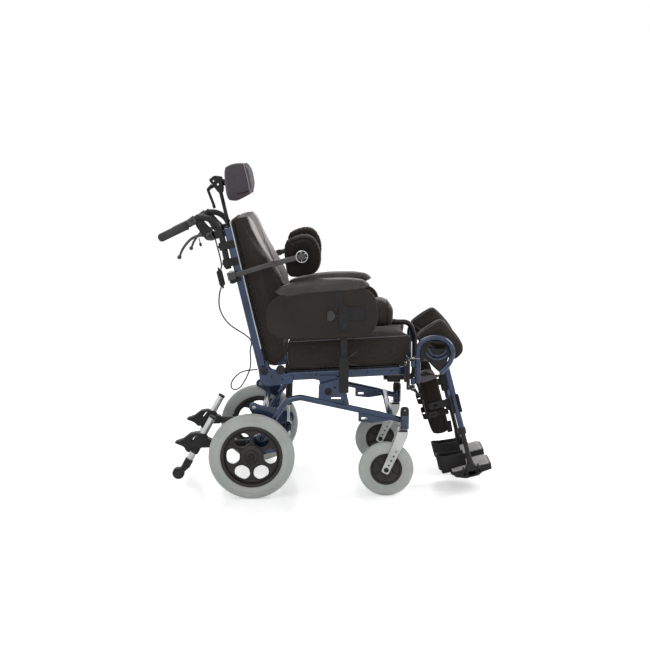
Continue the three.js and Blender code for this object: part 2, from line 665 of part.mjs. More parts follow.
/** One side of the base: the arched tube, the plates welded to it and the caster sleeve. */
function baseSide(side) {
  const y = side * base.halfWidth;
  const thin = base.plateThickness / 2;
  const archShares = [[0.089, 0.25], [0.255, 0.65], [0.399, 0.98], [0.55, 1.03], [1, 0.875]];
  const noseShares = [[0, 0.715], [1, 0.6]];
  const bendX = chair.wheelbase - base.noseBend;
  const tubeWay = [
    ...spread(0, rearWheel.radius, base.archLength, base.height, archShares),
    ...spread(bendX, rearWheel.radius, caster.stemX - base.noseEnd - bendX, base.height, noseShares),
  ];
  const axleShares = [
    [0.015, 0.138], [0.077, 0.481], [0.462, 0.606], [0.769, 0.95], [0.92, 0.92], [0.8, 0.56], [1.28, 0.5],
    [1.32, 0.263], [0.538, 0.138], [0.385, 0], [0.138, 0],
  ];
  const axlePlate = soften(
    spread(
      -base.axlePlateBack, rearWheel.radius - base.axlePlateDrop, base.axlePlateLength,
      base.axlePlateHeight, axleShares,
    ),
    base.lugCorner,
    1,
  );
  const towerShares = [[0.018, 0.762], [0.795, 1], [1, 0.05], [0.96, -0.06], [0.2, 0.2], [0, 0.24]];
  const tower = soften(
    spread(base.towerX, base.towerZ, base.towerLength, base.towerHeight, towerShares), base.towerCorner, 1
  );
  const slot = shifted(
    roundedBox(base.slotLength, base.slotHeight, base.slotHeight / 2, 1),
    pivot.x + base.slotRise,
    base.towerZ + base.slotRise,
  );
  const lugShares = [
    [0, 0.73], [0.18, 0.986], [0.45, 0.811], [0.97, 0.703], [0.818, 0], [0.491, 0.203], [0.182, 0.486]
  ];
  const lug = soften(
    spread(base.lugX, base.lugZ, base.lugLength, base.lugHeight, lugShares), base.lugCorner, 1
  );
  const lugHole = shifted(
    ring(base.lugHole, 8), base.lugX + base.lugCorner * 1.3, base.lugZ + base.lugHeight * 0.73
  );
  const flangeShares = [[0, 0.84], [0, 0.04], [0.4, -0.06], [0.846, 0.12], [1.11, 0.28], [0.654, 0.6]];
  const flange = soften(
    spread(base.flangeX, base.flangeZ, base.flangeLength, base.flangeHeight, flangeShares),
    base.flangeSlotHeight / 2,
    1,
  );
  const flangeSlot = shifted(
    roundedBox(base.flangeSlot, base.flangeSlotHeight, base.flangeSlotHeight / 3, 1),
    base.flangeX + base.flangeSlot,
    base.flangeZ + base.flangeHeight * 0.28,
  );
  const pinY = side * (base.halfWidth - base.towerThickness / 2 - pivot.lugThickness * 2);
  return [
    sideTube(tubeWay, y, base.tubeRadius, base.bend),
    plate(axlePlate, y - thin, y + thin),
    plate(tower, y - base.towerThickness / 2, y + base.towerThickness / 2, [slot]),
    plate(lug, y - thin, y + thin, [lugHole]),
    plate(flange, y - thin, y + thin, [flangeSlot]),
    bar(
      [caster.stemX, side * caster.plane, caster.sleeveBottom],
      [caster.stemX, side * caster.plane, caster.sleeveTop],
      caster.sleeveRadius,
      10,
    ),
    bar(
      [0, y, rearWheel.radius],
      [0, side * (rearWheel.plane + rearWheel.hubWidth / 2 + gap + stub.capThickness), rearWheel.radius],
      stub.radius,
      10,
    ),
    bar(
      [0, side * (rearWheel.plane + rearWheel.hubWidth / 2 + gap), rearWheel.radius],
      [0, side * (rearWheel.plane + rearWheel.hubWidth / 2 + gap + stub.capThickness), rearWheel.radius],
      stub.capRadius,
      10,
    ),
    bar([pivot.x, pinY, pivot.z], [pivot.x, y, pivot.z], pivot.radius, 10),
    bar(
      [pivot.x, y, pivot.z],
      [pivot.x, side * (base.halfWidth + base.towerThickness / 2 + gap * 8), pivot.z],
      pivot.headRadius,
      6,
    ),
  ];
}

function baseFrame() {
  const across = (x, z, radius) => bar([x, -base.halfWidth, z], [x, base.halfWidth, z], radius, 8);
  const crosses = [
    across(base.rearCrossX, base.rearCrossZ, base.crossRadius),
    across(base.axleCrossX, base.axleCrossZ, base.crossRadius),
    across(base.strutCrossX, base.strutCrossZ, base.crossRadius),
    across(base.frontCrossX, base.frontCrossZ, base.crossRadius),
  ];
  const clevis = sides.map((s) => {
    const inner = s * (strut.eyeWidth / 2 + strut.lugSpace);
    const outer = inner + s * strut.lugThickness;
    const low = base.strutCrossZ;
    return plate(soften([
      [strut.footX - strut.eyeRadius, low], [strut.footX + strut.eyeRadius, low],
      [strut.footX + strut.eyeRadius, strut.footZ + strut.eyeRadius], [
        strut.footX - strut.eyeRadius, strut.footZ + strut.eyeRadius
      ],
    ], strut.eyeRadius * 0.9, 1), inner, outer);
  });
  const reach = strut.eyeWidth / 2 + strut.lugSpace + strut.lugThickness;
  const pin = bar(
    [strut.footX, -reach, strut.footZ], [strut.footX, reach, strut.footZ], strut.pinRadius, 10
  );
  const body = join(...baseSide(-1), ...baseSide(1), ...crosses, ...clevis, pin);
  const bores = sides.map((s) =>
    bore(
      [caster.stemX, s * caster.plane, caster.sleeveBottom - overrun],
      [caster.stemX, s * caster.plane, caster.sleeveTop + overrun], caster.stemRadius, 10));
  return cut(body, ...bores);
}

function buildBase() {
  add(whole, "base_frame", baseFrame(), frameBlue);
}

/** Anti-tip receiver: a tube clamped to the axle cross tube, with the clamp and tipping pedal behind. */
function antiTipReceiver() {
  const clampShares = [
    [0, 0.475], [0.367, 1], [0.82, 1], [1, 0.689], [0.993, 0.213], [0.338, 0], [0.05, 0.24]
  ];
  const outline = spread(
    antiTip.clampX, antiTip.clampZ, antiTip.clampLength, antiTip.clampHeight, clampShares
  );
  const half = antiTip.clampWidth / 2;
  const clamp = plate(soften(outline, antiTip.clampCorner, 1), -half, half);
  const z = base.axleCrossZ;
  const tubePiece = bar(
    [antiTip.clampX + antiTip.clampLength - overrun, 0, z],
    [base.axleCrossX, 0, z],
    antiTip.receiverRadius,
    10,
  );
  const saddle = bar(
    [base.axleCrossX, -half, z], [base.axleCrossX, half, z], base.crossRadius + overrun, 10
  );
  const eye = bore(
    [base.axleCrossX, -half - overrun, z], [base.axleCrossX, half + overrun, z], base.crossRadius, 10
  );
  const top = [antiTip.tubeTopX, 0, antiTip.tubeTopZ];
  const footEnd = [antiTip.tubeFootX, 0, antiTip.tubeFootZ];
  const hole = bar(top, footEnd, antiTip.tubeRadius + gap, 10);
  return cut(join(clamp, tubePiece, saddle), eye, hole);
}

/** Anti-tip leg: the slanted tube with the sleeve and cheeks that carry the roller. */
function antiTipLeg() {
  const top = [antiTip.tubeTopX, 0, antiTip.tubeTopZ];
  const end = [antiTip.tubeFootX, 0, antiTip.tubeFootZ];
  const way = new THREE.Vector2(end[0] - top[0], end[2] - top[2]).normalize();
  const start = [end[0] - way.x * antiTip.sleeveLength, 0, end[2] - way.y * antiTip.sleeveLength];
  const inner = antiTip.rollerWidth / 2 + gap;
  const roll = [antiTip.rollerX, antiTip.rollerZ];
  const across = [way.y * antiTip.sleeveRadius * 0.8, -way.x * antiTip.sleeveRadius * 0.8];
  const cheeks = sides.map((s) => plate(soften([
    [end[0] + across[0], end[2] + across[1]], [
      roll[0] + across[0] * 0.7 + way.x * overrun, roll[1] + across[1] * 0.7 + way.y * overrun
    ],
    [roll[0] - across[0] * 0.7 + way.x * overrun, roll[1] - across[1] * 0.7 + way.y * overrun], [
      end[0] - across[0], end[2] - across[1]
    ],
    [start[0] - across[0], start[2] - across[1]], [start[0] + across[0], start[2] + across[1]],
  ], antiTip.cheek, 1), s * inner, s * (inner + antiTip.cheek)));
  const sleeve = bar(start, end, antiTip.sleeveRadius, 10);
  const keep = bar(
    [roll[0], -inner * 2, roll[1]], [roll[0], inner * 2, roll[1]], antiTip.rollerRadius + gap * 3, 10
  );
  const pin = bar(
    [roll[0], -inner - antiTip.cheek, roll[1]], [roll[0], inner + antiTip.cheek, roll[1]],
    antiTip.rollerAxle, 10,
  );
  return join(cut(join(bar(top, end, antiTip.tubeRadius, 10), sleeve), keep), ...cheeks, pin);
}

function buildAntiTips() {
  const half = antiTip.rollerWidth / 2;
  const r = antiTip.rollerRadius;
  const hole = (antiTip.rollerAxle + gap) / Math.cos(Math.PI / antiTip.rollerFacets);
  for (const side of sides) {
    const name = side < 0 ? "right" : "left";
    const y = side * antiTip.plane;
    add(whole, `${name}_anti_tip_receiver`, antiTipReceiver(), blackPlastic).position.set(0, y, 0);
    add(whole, `${name}_anti_tip_leg`, antiTipLeg(), aluminium).position.set(0, y, 0);
    const roller = turned(
      [[hole, -half], [r * 0.85, -half], [r, -half * 0.6], [r, half * 0.6], [r * 0.85, half], [hole, half]],
      antiTip.rollerFacets,
    );
    add(whole, `${name}_anti_tip_roller`, roller, blackPlastic).position.set(
      antiTip.rollerX, y, antiTip.rollerZ
    );
  }
}

/** A gas strut in a side plane: its cylinder from the head eye, its rod from the foot eye. */
function gasStrut(sizes, head, footPoint, headPlay, footPlay) {
  const start = new THREE.Vector2(...head);
  const way = new THREE.Vector2(...footPoint).sub(start);
  const length = way.length();
  way.normalize();
  const at = (along) => [start.x + way.x * along, 0, start.y + way.y * along];
  const half = sizes.eyeWidth / 2;
  const eye = (point) => bar([point[0], -half, point[1]], [point[0], half, point[1]], sizes.eyeRadius, 10);
  const hole = (point, play) => bar(
    [point[0], -half - overrun, point[1]], [point[0], half + overrun, point[1]], sizes.pinRadius + play, 10
  );
  const tubeStart = sizes.eyeRadius * 1.4;
  const cylinder = cut(
    join(
      eye(head),
      bar(at(tubeStart), at(tubeStart + sizes.cylinderLength), sizes.cylinderRadius, 10),
      bar(at(0), at(tubeStart + sizes.eyeRadius), half * 0.9, 8),
    ),
    bar(at(sizes.eyeRadius * 2), at(tubeStart + sizes.cylinderLength + overrun), sizes.bore, 10),
    hole(head, headPlay));
  const rod = cut(
    join(
      eye(footPoint),
      bar(at(tubeStart + sizes.cylinderLength - sizes.rodTip), at(length), sizes.rodRadius, 10),
    ),
    hole(footPoint, footPlay));
  return { cylinder, rod };
}

function buildStruts() {
  const tilt = gasStrut(strut, [strut.headX, strut.headZ], [strut.footX, strut.footZ], strut.pinPlay, gap);
  add(whole, "tilt_strut_cylinder", tilt.cylinder, blackMetal);
  add(whole, "tilt_strut_rod", tilt.rod, chrome);
  const reclineParts = gasStrut(recline, reclineFront(), reclineRear(), gap, recline.pinPlay);
  add(whole, "recline_strut_cylinder", reclineParts.cylinder, blackMetal).position.set(0, back.tabY, 0);
  add(whole, "recline_strut_rod", reclineParts.rod, chrome).position.set(0, back.tabY, 0);
}

/** Pin places of the recline strut: on the seat's middle cross tube and on the back's tab. */
const reclineFront = () => [recline.frontX, seatLine(recline.frontX) - recline.drop];
const reclineRear = () => [back.hingeX, back.hingeZ - back.tabDrop];

/** A pair of lugs with a pin between them, in a side plane about Y zero. */
function clevisPair(sizes, point, topZ) {
  const inner = sizes.eyeWidth / 2 + sizes.lugSpace;
  const outer = inner + sizes.lugThickness;
  const outline = [
    [point[0] - sizes.eyeRadius, point[1] - sizes.eyeRadius], [
      point[0] + sizes.eyeRadius, point[1] - sizes.eyeRadius
    ],
    [point[0] + sizes.eyeRadius, topZ], [point[0] - sizes.eyeRadius, topZ],
  ];
  const lugs = sides.map((s) => plate(soften(outline, sizes.eyeRadius * 0.9, 3), s * inner, s * outer));
  return [...lugs, bar([point[0], -outer, point[1]], [point[0], outer, point[1]], sizes.pinRadius, 10)];
}

/** One side of the seat frame: rail, rear gusset, tilt lug and armrest socket. */
function seatSide(side) {
  const y = side * seat.halfWidth;
  const outer = side * (seat.halfWidth + seat.railWidth / 2);
  const rail = sweep(
    [[seat.railBack, y, seatLine(seat.railBack)], [seat.railFront, y, seatLine(seat.railFront)]],
    roundedBox(seat.railWidth, seat.railHeight, seat.railCorner, 1), seat.railCorner);
  const gussetShares = [
    [0, 1], [0.06, 0.14], [0.292, 0], [0.985, 0.171], [0.985, 0.6], [0.6, 0.771], [0.32, 1]
  ];
  const gusset = soften(
    spread(seat.gussetX, seat.gussetZ, seat.gussetLength, seat.gussetHeight, gussetShares),
    seat.gussetCorner,
    1,
  );
  const gussetIn = side * (seat.halfWidth + seat.railWidth / 2 + gap);
  const hingePin = bar(
    [back.hingeX, side * (seat.halfWidth - seat.railWidth / 2 - seat.gussetThickness - gap), back.hingeZ],
    [back.hingeX, gussetIn + side * seat.gussetThickness * 1.5, back.hingeZ],
    back.pinRadius,
    10,
  );
  const weld = box(
    seat.gussetX + seat.gussetLength * 0.8,
    outer,
    seatLine(seat.gussetX + seat.gussetLength * 0.8),
    seat.gussetLength * 0.3,
    gap * 6,
    seat.railHeight * 0.6,
  );
  const rise = seatLine(pivot.x);
  const lugOutline = soften([
    [pivot.x - pivot.lugRadius, pivot.z - pivot.lugRadius * 0.8], [
      pivot.x + pivot.lugRadius, pivot.z - pivot.lugRadius * 0.8
    ],
    [pivot.x + pivot.lugRadius * 1.5, rise], [pivot.x - pivot.lugRadius * 1.5, rise],
  ], pivot.lugRadius * 0.7, 1);
  const lugIn = side * (seat.halfWidth + seat.railWidth / 2 - overrun);
  const lugPlate = plate(lugOutline, lugIn, side * (base.halfWidth - base.towerThickness / 2 - gap * 8));
  const socket = box(
    armrest.socketX,
    side * armrest.plane,
    (armrest.socketBottom + armrest.socketTop) / 2,
    armrest.socketLength,
    armrest.socketWidth,
    armrest.socketTop - armrest.socketBottom,
  );
  const bracket = box(
    armrest.socketX, side * (seat.halfWidth + armrest.plane) / 2, armrest.bracketZ, armrest.bracketLength,
    armrest.plane - seat.halfWidth, armrest.bracketHeight,
  );
  return [
    rail,
    plate(gusset, gussetIn, gussetIn + side * seat.gussetThickness),
    hingePin,
    weld,
    lugPlate,
    socket,
    bracket,
  ];
}

function seatFrame() {
  const across = (x, half, radius) => bar([x, -half, seatLine(x)], [x, half, seatLine(x)], radius, 8);
  const front = across(seat.crossFront, seat.halfWidth, seat.crossRadius);
  const heads = sides.map((s) => box(
    legrest.bracketX - gap - seat.headThickness / 2, s * (seat.halfWidth + seat.headHalfWidth) / 2, (
      legrest.bracketTop + legrest.bracketBottom
    ) / 2,
    seat.headThickness, seat.headHalfWidth - seat.halfWidth, seat.headHeight));
  const tiltClevis = clevisPair(strut, [strut.headX, strut.headZ], seatLine(strut.headX));
  const reclineClevis = clevisPair(recline, reclineFront(), seatLine(recline.frontX)).map(
    (g) => g.translate(0, back.tabY, 0)
  );
  const receiverZ = pommel.barZ;
  const receiver = box(
    pommel.receiverX + pommel.receiverLength / 2,
    0,
    receiverZ,
    pommel.receiverLength,
    pommel.receiverWidth,
    pommel.receiverHeight,
  );
  const hanger = box(
    seat.crossFront, 0, (receiverZ + seatLine(seat.crossFront)) / 2, pommel.hangerThickness * 2,
    pommel.hangerThickness * 2, seatLine(seat.crossFront) - receiverZ,
  );
  const body = join(
    ...seatSide(-1), ...seatSide(1), across(strut.headX, seat.halfWidth, seat.crossRadius), across(
      seat.crossMiddle, seat.halfWidth, seat.crossRadius
    ),
    front, ...heads, ...tiltClevis, ...reclineClevis, receiver, hanger);
  const tools = [
    bore(
      [pommel.receiverX - overrun, 0, receiverZ],
      [pommel.receiverX + pommel.receiverLength + overrun, 0, receiverZ],
      pommel.barRadius,
      10,
    ),
  ];
  for (const s of sides) {
    tools.push(
      bore(
        [pivot.x, s * (seat.halfWidth - overrun + seat.railWidth / 2), pivot.z],
        [pivot.x, s * base.halfWidth, pivot.z],
        pivot.radius,
        10,
      )
    );
    tools.push(
      box(
        armrest.socketX,
        s * armrest.plane,
        (armrest.socketBottom + armrest.socketTop) / 2,
        armrest.postLength + gap * 2,
        armrest.postWidth + gap * 2,
        armrest.socketTop - armrest.socketBottom + overrun * 2,
      )
    );
  }
  return cut(body, ...tools);
}

function buildSeat() {
  add(whole, "seat_frame", seatFrame(), frameBlue);
  const line = new THREE.Group();
  line.rotation.y = -chair.seatSlope;
  line.position.set(0, 0, seat.railRise);
  whole.add(line);
  const panLength = seat.panFront - seat.panBack;
  const panBottom = seat.railHeight / 2 + gap;
  const pan = slab(
    shifted(
      roundedBox(panLength, seat.panHalfWidth * 2, seat.panCorner, 3), seat.panBack + panLength / 2, 0
    ),
    panBottom,
    panBottom + seat.panThickness,
  );
  add(line, "seat_pan", pan, blackPlastic);
  const floor = panBottom + seat.panThickness + gap;
  const half = cushion.length / 2;
  const seatPad = pad(9, 8, 3, cushion.round, (x, y, z, u, v, w) => {
    const draw = 1 - (cushion.drawIn / half) * (w * w) - (cushion.welt / half) * Math.abs(u * v);
    const topShare = (z + 1) / 2;
    const crown = topShare * (
      cushion.crown * (1 - x * x) * (1 - y * y) - cushion.dish * Math.exp(-y * y * 6) * (1 - x * x)
    );
    const nose = -topShare * Math.max(0, x - 0.72) * cushion.height * 0.5;
    return [x * half * draw, y * (cushion.width / 2) * draw, topShare * cushion.height + crown + nose];
  });
  add(line, "seat_cushion", seatPad, fabric).position.set(cushion.back + half, 0, floor);
}

function buildPommel() {
  const shares = [[0, 0], [0.905, 0], [0.93, 0.2], [0.93, 0.72], [0.79, 0.99], [0.05, 0.99]];
  const way = spread(pommel.barX, pommel.barZ, pommel.barLength, pommel.barHeight, shares);
  add(whole, "pommel_bar", sideTube(way, 0, pommel.barRadius, pommel.barBend), blackMetal);
  const length = pommel.padFront - pommel.padBack;
  const height = pommel.padTop - pommel.padBottom;
  const wedge = pad(4, 3, 4, pommel.soft, (x, y, z) => {
    const run = (x + 1) / 2;
    const rise = (z + 1) / 2;
    const half = mix(pommel.backHalf, pommel.frontHalf, run) * (1 - 0.12 * rise);
    const slope = run * pommel.round * (1 - rise) - (1 - run) * (1 - run) * rise * pommel.corner;
    return [pommel.padBack + run * length, y * half, pommel.padBottom + rise * height + slope];
  });
  const socketEnd = way[way.length - 1];
  const slotTool = bore(
    [socketEnd[0] - overrun, 0, socketEnd[1]],
    [pommel.padFront + overrun, 0, socketEnd[1]],
    pommel.barRadius,
    10,
  );
  add(whole, "pommel_pad", cut(wedge, slotTool), fabric);
}

/** Height of the underside of an arm pad over a place along the chair. */
const padUnder = (x) => armrest.padZ + (x - armrest.padX) * armrest.padSlope;

/** An arm pad: thickest ahead of the middle, sloping up towards the hand, with rounded rims. */
function armPad() {
  return pad(6, 2, 2, armrest.padRound, (x, y, z) => {
    const run = (x + 1) / 2;
    const thick = armrest.padThickness * (0.78 + 0.36 * Math.sin(run * Math.PI * 0.85));
    const along = run * armrest.padLength;
    return [along, y * (armrest.padWidth / 2), along * armrest.padSlope + ((z + 1) / 2) * thick];
  });
}

/** The side panel under an arm pad, with its clamp knob and a plain plate. */
function sidePanel(inner, side) {
  const outer = inner + side * armrest.panelThickness;
  const shares = [[0, 0.1], [1, 0.04], [1, 1], [0, 0.82]];
  const outline = soften(
    spread(armrest.panelX, armrest.panelZ, armrest.panelLength, armrest.panelHeight, shares),
    armrest.panelCorner, 4);
  const knob = bar(
    [armrest.knobX, outer - side * overrun, armrest.knobZ],
    [armrest.knobX, outer + side * armrest.knobDepth, armrest.knobZ], armrest.knobRadius, 10);
  const badge = plate(
    shifted(
      roundedBox(armrest.plateLength, armrest.plateHeight, armrest.plateCorner, 1),
      armrest.plateX + armrest.plateLength / 2, armrest.plateZ + armrest.plateHeight / 2),
    outer - side * overrun, outer + side * armrest.plateDepth);
  return join(plate(outline, inner, outer), knob, badge);
}

function buildArmrests() {
  const top = padUnder(armrest.socketX - armrest.postLength / 2) - gap;
  for (const side of sides) {
    const name = side < 0 ? "right" : "left";
    const drop = side < 0 ? 0 : armrest.leftDrop;
    const forward = side < 0 ? 0 : armrest.leftForward;
    const post = box(
      armrest.socketX, side * armrest.plane, (armrest.postBottom + top) / 2,
      armrest.postLength, armrest.postWidth, top - armrest.postBottom);
    add(whole, `${name}_armrest_post`, post, blackMetal).position.set(0, 0, -drop);
    const inner = side * (armrest.plane + armrest.postWidth / 2 + armrest.panelGap);
    add(whole, `${name}_side_panel`, sidePanel(inner, side), blackPlastic).position.set(forward, 0, -drop);
    add(whole, `${name}_armrest_pad`, armPad(), leatherette).position.set(
      armrest.padX + forward, side * armrest.plane, armrest.padZ - drop + forward * armrest.padSlope);
  }
}

/** Hinge bracket of a legrest: a post with two ears and the pin that the hanger swings on. */
function legrestBracket(side) {
  const y = side * legrest.plane;
  const post = box(
    legrest.bracketX + legrest.bracketLength / 2,
    y,
    (legrest.bracketBottom + legrest.bracketTop) / 2,
    legrest.bracketLength,
    legrest.bracketWidth,
    legrest.bracketTop - legrest.bracketBottom,
  );
  const reach = legrest.swingX + legrest.earRadius - legrest.bracketX;
  const ears = [legrest.earBottom, legrest.earTop].map((z) =>
    slab(
      shifted(
        roundedBox(reach, legrest.earRadius * 2, legrest.earRadius, 3), legrest.bracketX + reach / 2, y
      ),
      z - legrest.earThickness / 2, z + legrest.earThickness / 2));
  const pin = bar(
    [legrest.swingX, y, legrest.earBottom],
    [legrest.swingX, y, legrest.earTop + legrest.earThickness],
    legrest.pinRadius,
    10,
  );
  return join(post, ...ears, pin);
}

/** The hanger: hinge sleeve, hooked tube, web plate and the boss and pin of the knee joint. */
function hanger(side) {
  const y = side * legrest.plane;
  const shares = [[0, 0], [0, 0.88], [0.3, 0.98], [0.8, 0.93], [1, 0.64], [0.86, 0.35], [0.6, 0.194]];
  const way = spread(legrest.hookX, legrest.hookZ, legrest.hookLength, legrest.hookHeight, shares);
  const hook = sideTube(way, y, legrest.tubeRadius, legrest.hookBend, 10);
  const low = legrest.earBottom + legrest.earThickness / 2 + gap;
  const high = legrest.earTop - legrest.earThickness / 2 - gap;
  const sleeve = bar([legrest.swingX, y, low], [legrest.swingX, y, high], legrest.sleeveRadius, 10);
  const webShares = [[0, 0.42], [0, 0.8], [0.3, 0.94], [0.74, 0.9], [0.94, 0.64], [0.84, 0.46], [0.3, 0.5]];
  const webOutline = spread(
    legrest.hookX, legrest.hookZ, legrest.hookLength, legrest.hookHeight, webShares
  );
  const web = plate(webOutline, y - legrest.webThickness / 2, y + legrest.webThickness / 2);
  const bossEnd = side * (leg.plane + leg.eyeWidth / 2 + gap);
  const boss = bar(
    [legrest.kneeX, y, legrest.kneeZ], [legrest.kneeX, bossEnd, legrest.kneeZ], legrest.kneeBoss, 10
  );
  const pin = bar(
    [legrest.kneeX, y, legrest.kneeZ],
    [legrest.kneeX, side * (leg.plane - leg.eyeWidth / 2), legrest.kneeZ],
    legrest.kneePin,
    10,
  );
  const stubPiece = bar(
    [knee.stubX, y, knee.stubZ], [knee.stubX, side * (knee.outer + gap), knee.stubZ], knee.stubRadius, 10
  );
  const body = join(hook, sleeve, web, boss, pin, stubPiece);
  return cut(
    body,
    bore([legrest.swingX, y, low - overrun], [legrest.swingX, y, high + overrun], legrest.pinRadius, 10),
  );
}

/** The knee pad: an outlined block with softened rims. */
function kneePad(side) {
  const shares = [
    [0, 0.603], [0.144, 0.75], [0.472, 1], [0.578, 0.987], [0.972, 0.455], [1, 0.301], [0.972, 0.179],
    [0.794, 0],
  ];
  const outline = soften(spread(knee.x, knee.z, knee.length, knee.height, shares), knee.corner, 2);
  const middle = new THREE.Vector2(knee.x + knee.length / 2, knee.z + knee.height / 2);
  const shape = new THREE.Shape(
    outline.map((p) => middle.clone().lerp(p, 1 - knee.round / (knee.height / 2)))
  );
  const depth = knee.outer - knee.inner - knee.round * 2;
  const geometry = new THREE.ExtrudeGeometry(
    shape,
    { depth, bevelEnabled: true, bevelThickness: knee.round, bevelSize: knee.round, bevelSegments: 1 },
  );
  const inner = Math.min(side * knee.inner, side * knee.outer);
  return geometry.rotateX(Math.PI / 2).translate(0, inner + depth + knee.round, 0);
}

/** The elevating leg tube, about the knee pin, with the clamp and slotted arm that hold the calf pad. */
function legTube(side) {
  const y = side * leg.plane;
  const way = [[0, 0], [leg.offset, leg.shoulder], [leg.offset, leg.bottom]];
  const tubePiece = sideTube(way, y, leg.tubeRadius, leg.bend, 10);
  const eye = bar([0, y - leg.eyeWidth / 2, 0], [0, y + leg.eyeWidth / 2, 0], leg.eyeRadius, 10);
  const clampOutline = soften([
    [leg.offset - leg.clampDepth / 2, leg.clampBottom], [leg.offset + leg.clampDepth / 2, leg.clampBottom],
    [leg.offset + leg.clampDepth / 2, leg.clampTop], [leg.offset - leg.clampDepth / 2, leg.clampTop],
  ], leg.clampCorner, 1);
  const clampPiece = plate(clampOutline, y - leg.clampWidth / 2, y + leg.clampWidth / 2);
  const armOut = side * (calf.outer + gap);
  const armIn = armOut + side * leg.armThickness;
  const armOutline = soften([
    [leg.armBack, leg.armZ - leg.armHeight / 2], [leg.offset, leg.armZ - leg.armHeight / 2],
    [leg.offset, leg.armZ + leg.armHeight / 2], [leg.armBack, leg.armZ + leg.armHeight / 2],
  ], leg.clampCorner, 1);
  const slot = shifted(
    roundedBox(leg.slotLength, leg.slotHeight, leg.slotHeight / 2, 2),
    leg.offset - leg.clampDepth / 2 - leg.slotLength * 0.6,
    leg.armZ,
  );
  const arm = plate(armOutline, armOut, armIn, [slot]);
  const bridge = box(
    leg.offset - leg.clampDepth / 4, (armOut + y) / 2, leg.armZ, leg.clampDepth / 2, Math.abs(y - armOut),
    leg.armHeight,
  );
  const body = join(tubePiece, eye, clampPiece, arm, bridge);
  return cut(
    body,
    bore([0, y - leg.eyeWidth, 0], [0, y + leg.eyeWidth, 0], legrest.kneePin, 10),
    bore(
      [leg.offset, y, leg.shoulder - leg.bend], [leg.offset, y, leg.bottom - overrun], leg.innerRadius, 10
    ),
    bore(
      [leg.armBack + leg.armHeight / 2, armOut - side * overrun, leg.armZ],
      [leg.armBack + leg.armHeight / 2, armIn + side * overrun, leg.armZ], calf.pinRadius, 10));
}

/** The calf pad, hollowed where the calf lies, with the pin it rocks on. */
function calfPad(side) {
  const half = [(calf.front - calf.back) / 2, (calf.outer - calf.inner) / 2, (calf.top - calf.bottom) / 2];
  const middle = [
    (calf.front + calf.back) / 2, side * (calf.outer + calf.inner) / 2, (calf.top + calf.bottom) / 2
  ];
  const soft = pad(2, 4, 6, calf.round, (x, y, z) => {
    const hollow = x > 0 ? -calf.hollow * (1 - y * y) * x : 0;
    return [middle[0] + x * half[0] + hollow, middle[1] + y * half[1], middle[2] + z * half[2]];
  });
  const pinX = leg.armBack + leg.armHeight / 2;
  const pin = bar(
    [pinX, middle[1], leg.armZ],
    [pinX, side * (calf.outer + leg.armThickness + gap), leg.armZ],
    calf.pinRadius,
    10,
  );
  return join(soft, pin);
}

/** The sliding inner tube with the hinge block and pin of the footplate. */
function footTube(side) {
  const y = side * leg.plane;
  const inner = bar(
    [leg.offset, y, leg.innerTop - leg.innerRadius], [leg.offset, y, leg.innerBottom], leg.innerRadius, 10
  );
  const block = plate(soften([
    [foot.axisX - foot.blockDepth / 2, foot.axisZ - foot.barrelRadius], [
      foot.axisX + foot.blockDepth / 2, foot.axisZ - foot.barrelRadius
    ],
    [foot.axisX + foot.blockDepth / 2, foot.axisZ + foot.blockHeight * 0.5], [
      foot.axisX + leg.innerRadius * 1.3, foot.axisZ + foot.blockHeight
    ],
    [foot.axisX - leg.innerRadius * 1.3, foot.axisZ + foot.blockHeight], [
      foot.axisX - foot.blockDepth / 2, foot.axisZ + foot.blockHeight * 0.5
    ],
  ], leg.clampCorner, 1), side * foot.blockInner, side * foot.blockOuter);
  const reach = foot.barrelLength / 2 + gap;
  const lugs = sides.map((s) => join(
    bar(
      [foot.axisX + s * reach, side * foot.hingeIn, foot.axisZ],
      [foot.axisX + s * (reach + foot.lugThickness), side * foot.hingeIn, foot.axisZ],
      foot.barrelRadius,
      10,
    ),
    box(
      foot.axisX + s * (reach + foot.lugThickness / 2),
      side * (foot.hingeIn + foot.blockOuter) / 2, foot.axisZ,
      foot.lugThickness, foot.blockOuter - foot.hingeIn, foot.barrelRadius * 2)));
  const wide = box(
    foot.axisX,
    side * (foot.blockInner + foot.blockOuter) / 2,
    foot.axisZ,
    (reach + foot.lugThickness) * 2,
    foot.blockOuter - foot.blockInner,
    foot.barrelRadius * 2,
  );
  const pin = bar(
    [foot.axisX - reach - foot.lugThickness, side * foot.hingeIn, foot.axisZ],
    [foot.axisX + reach + foot.lugThickness, side * foot.hingeIn, foot.axisZ],
    foot.pinRadius,
    10,
  );
  return join(inner, block, wide, ...lugs, pin);
}

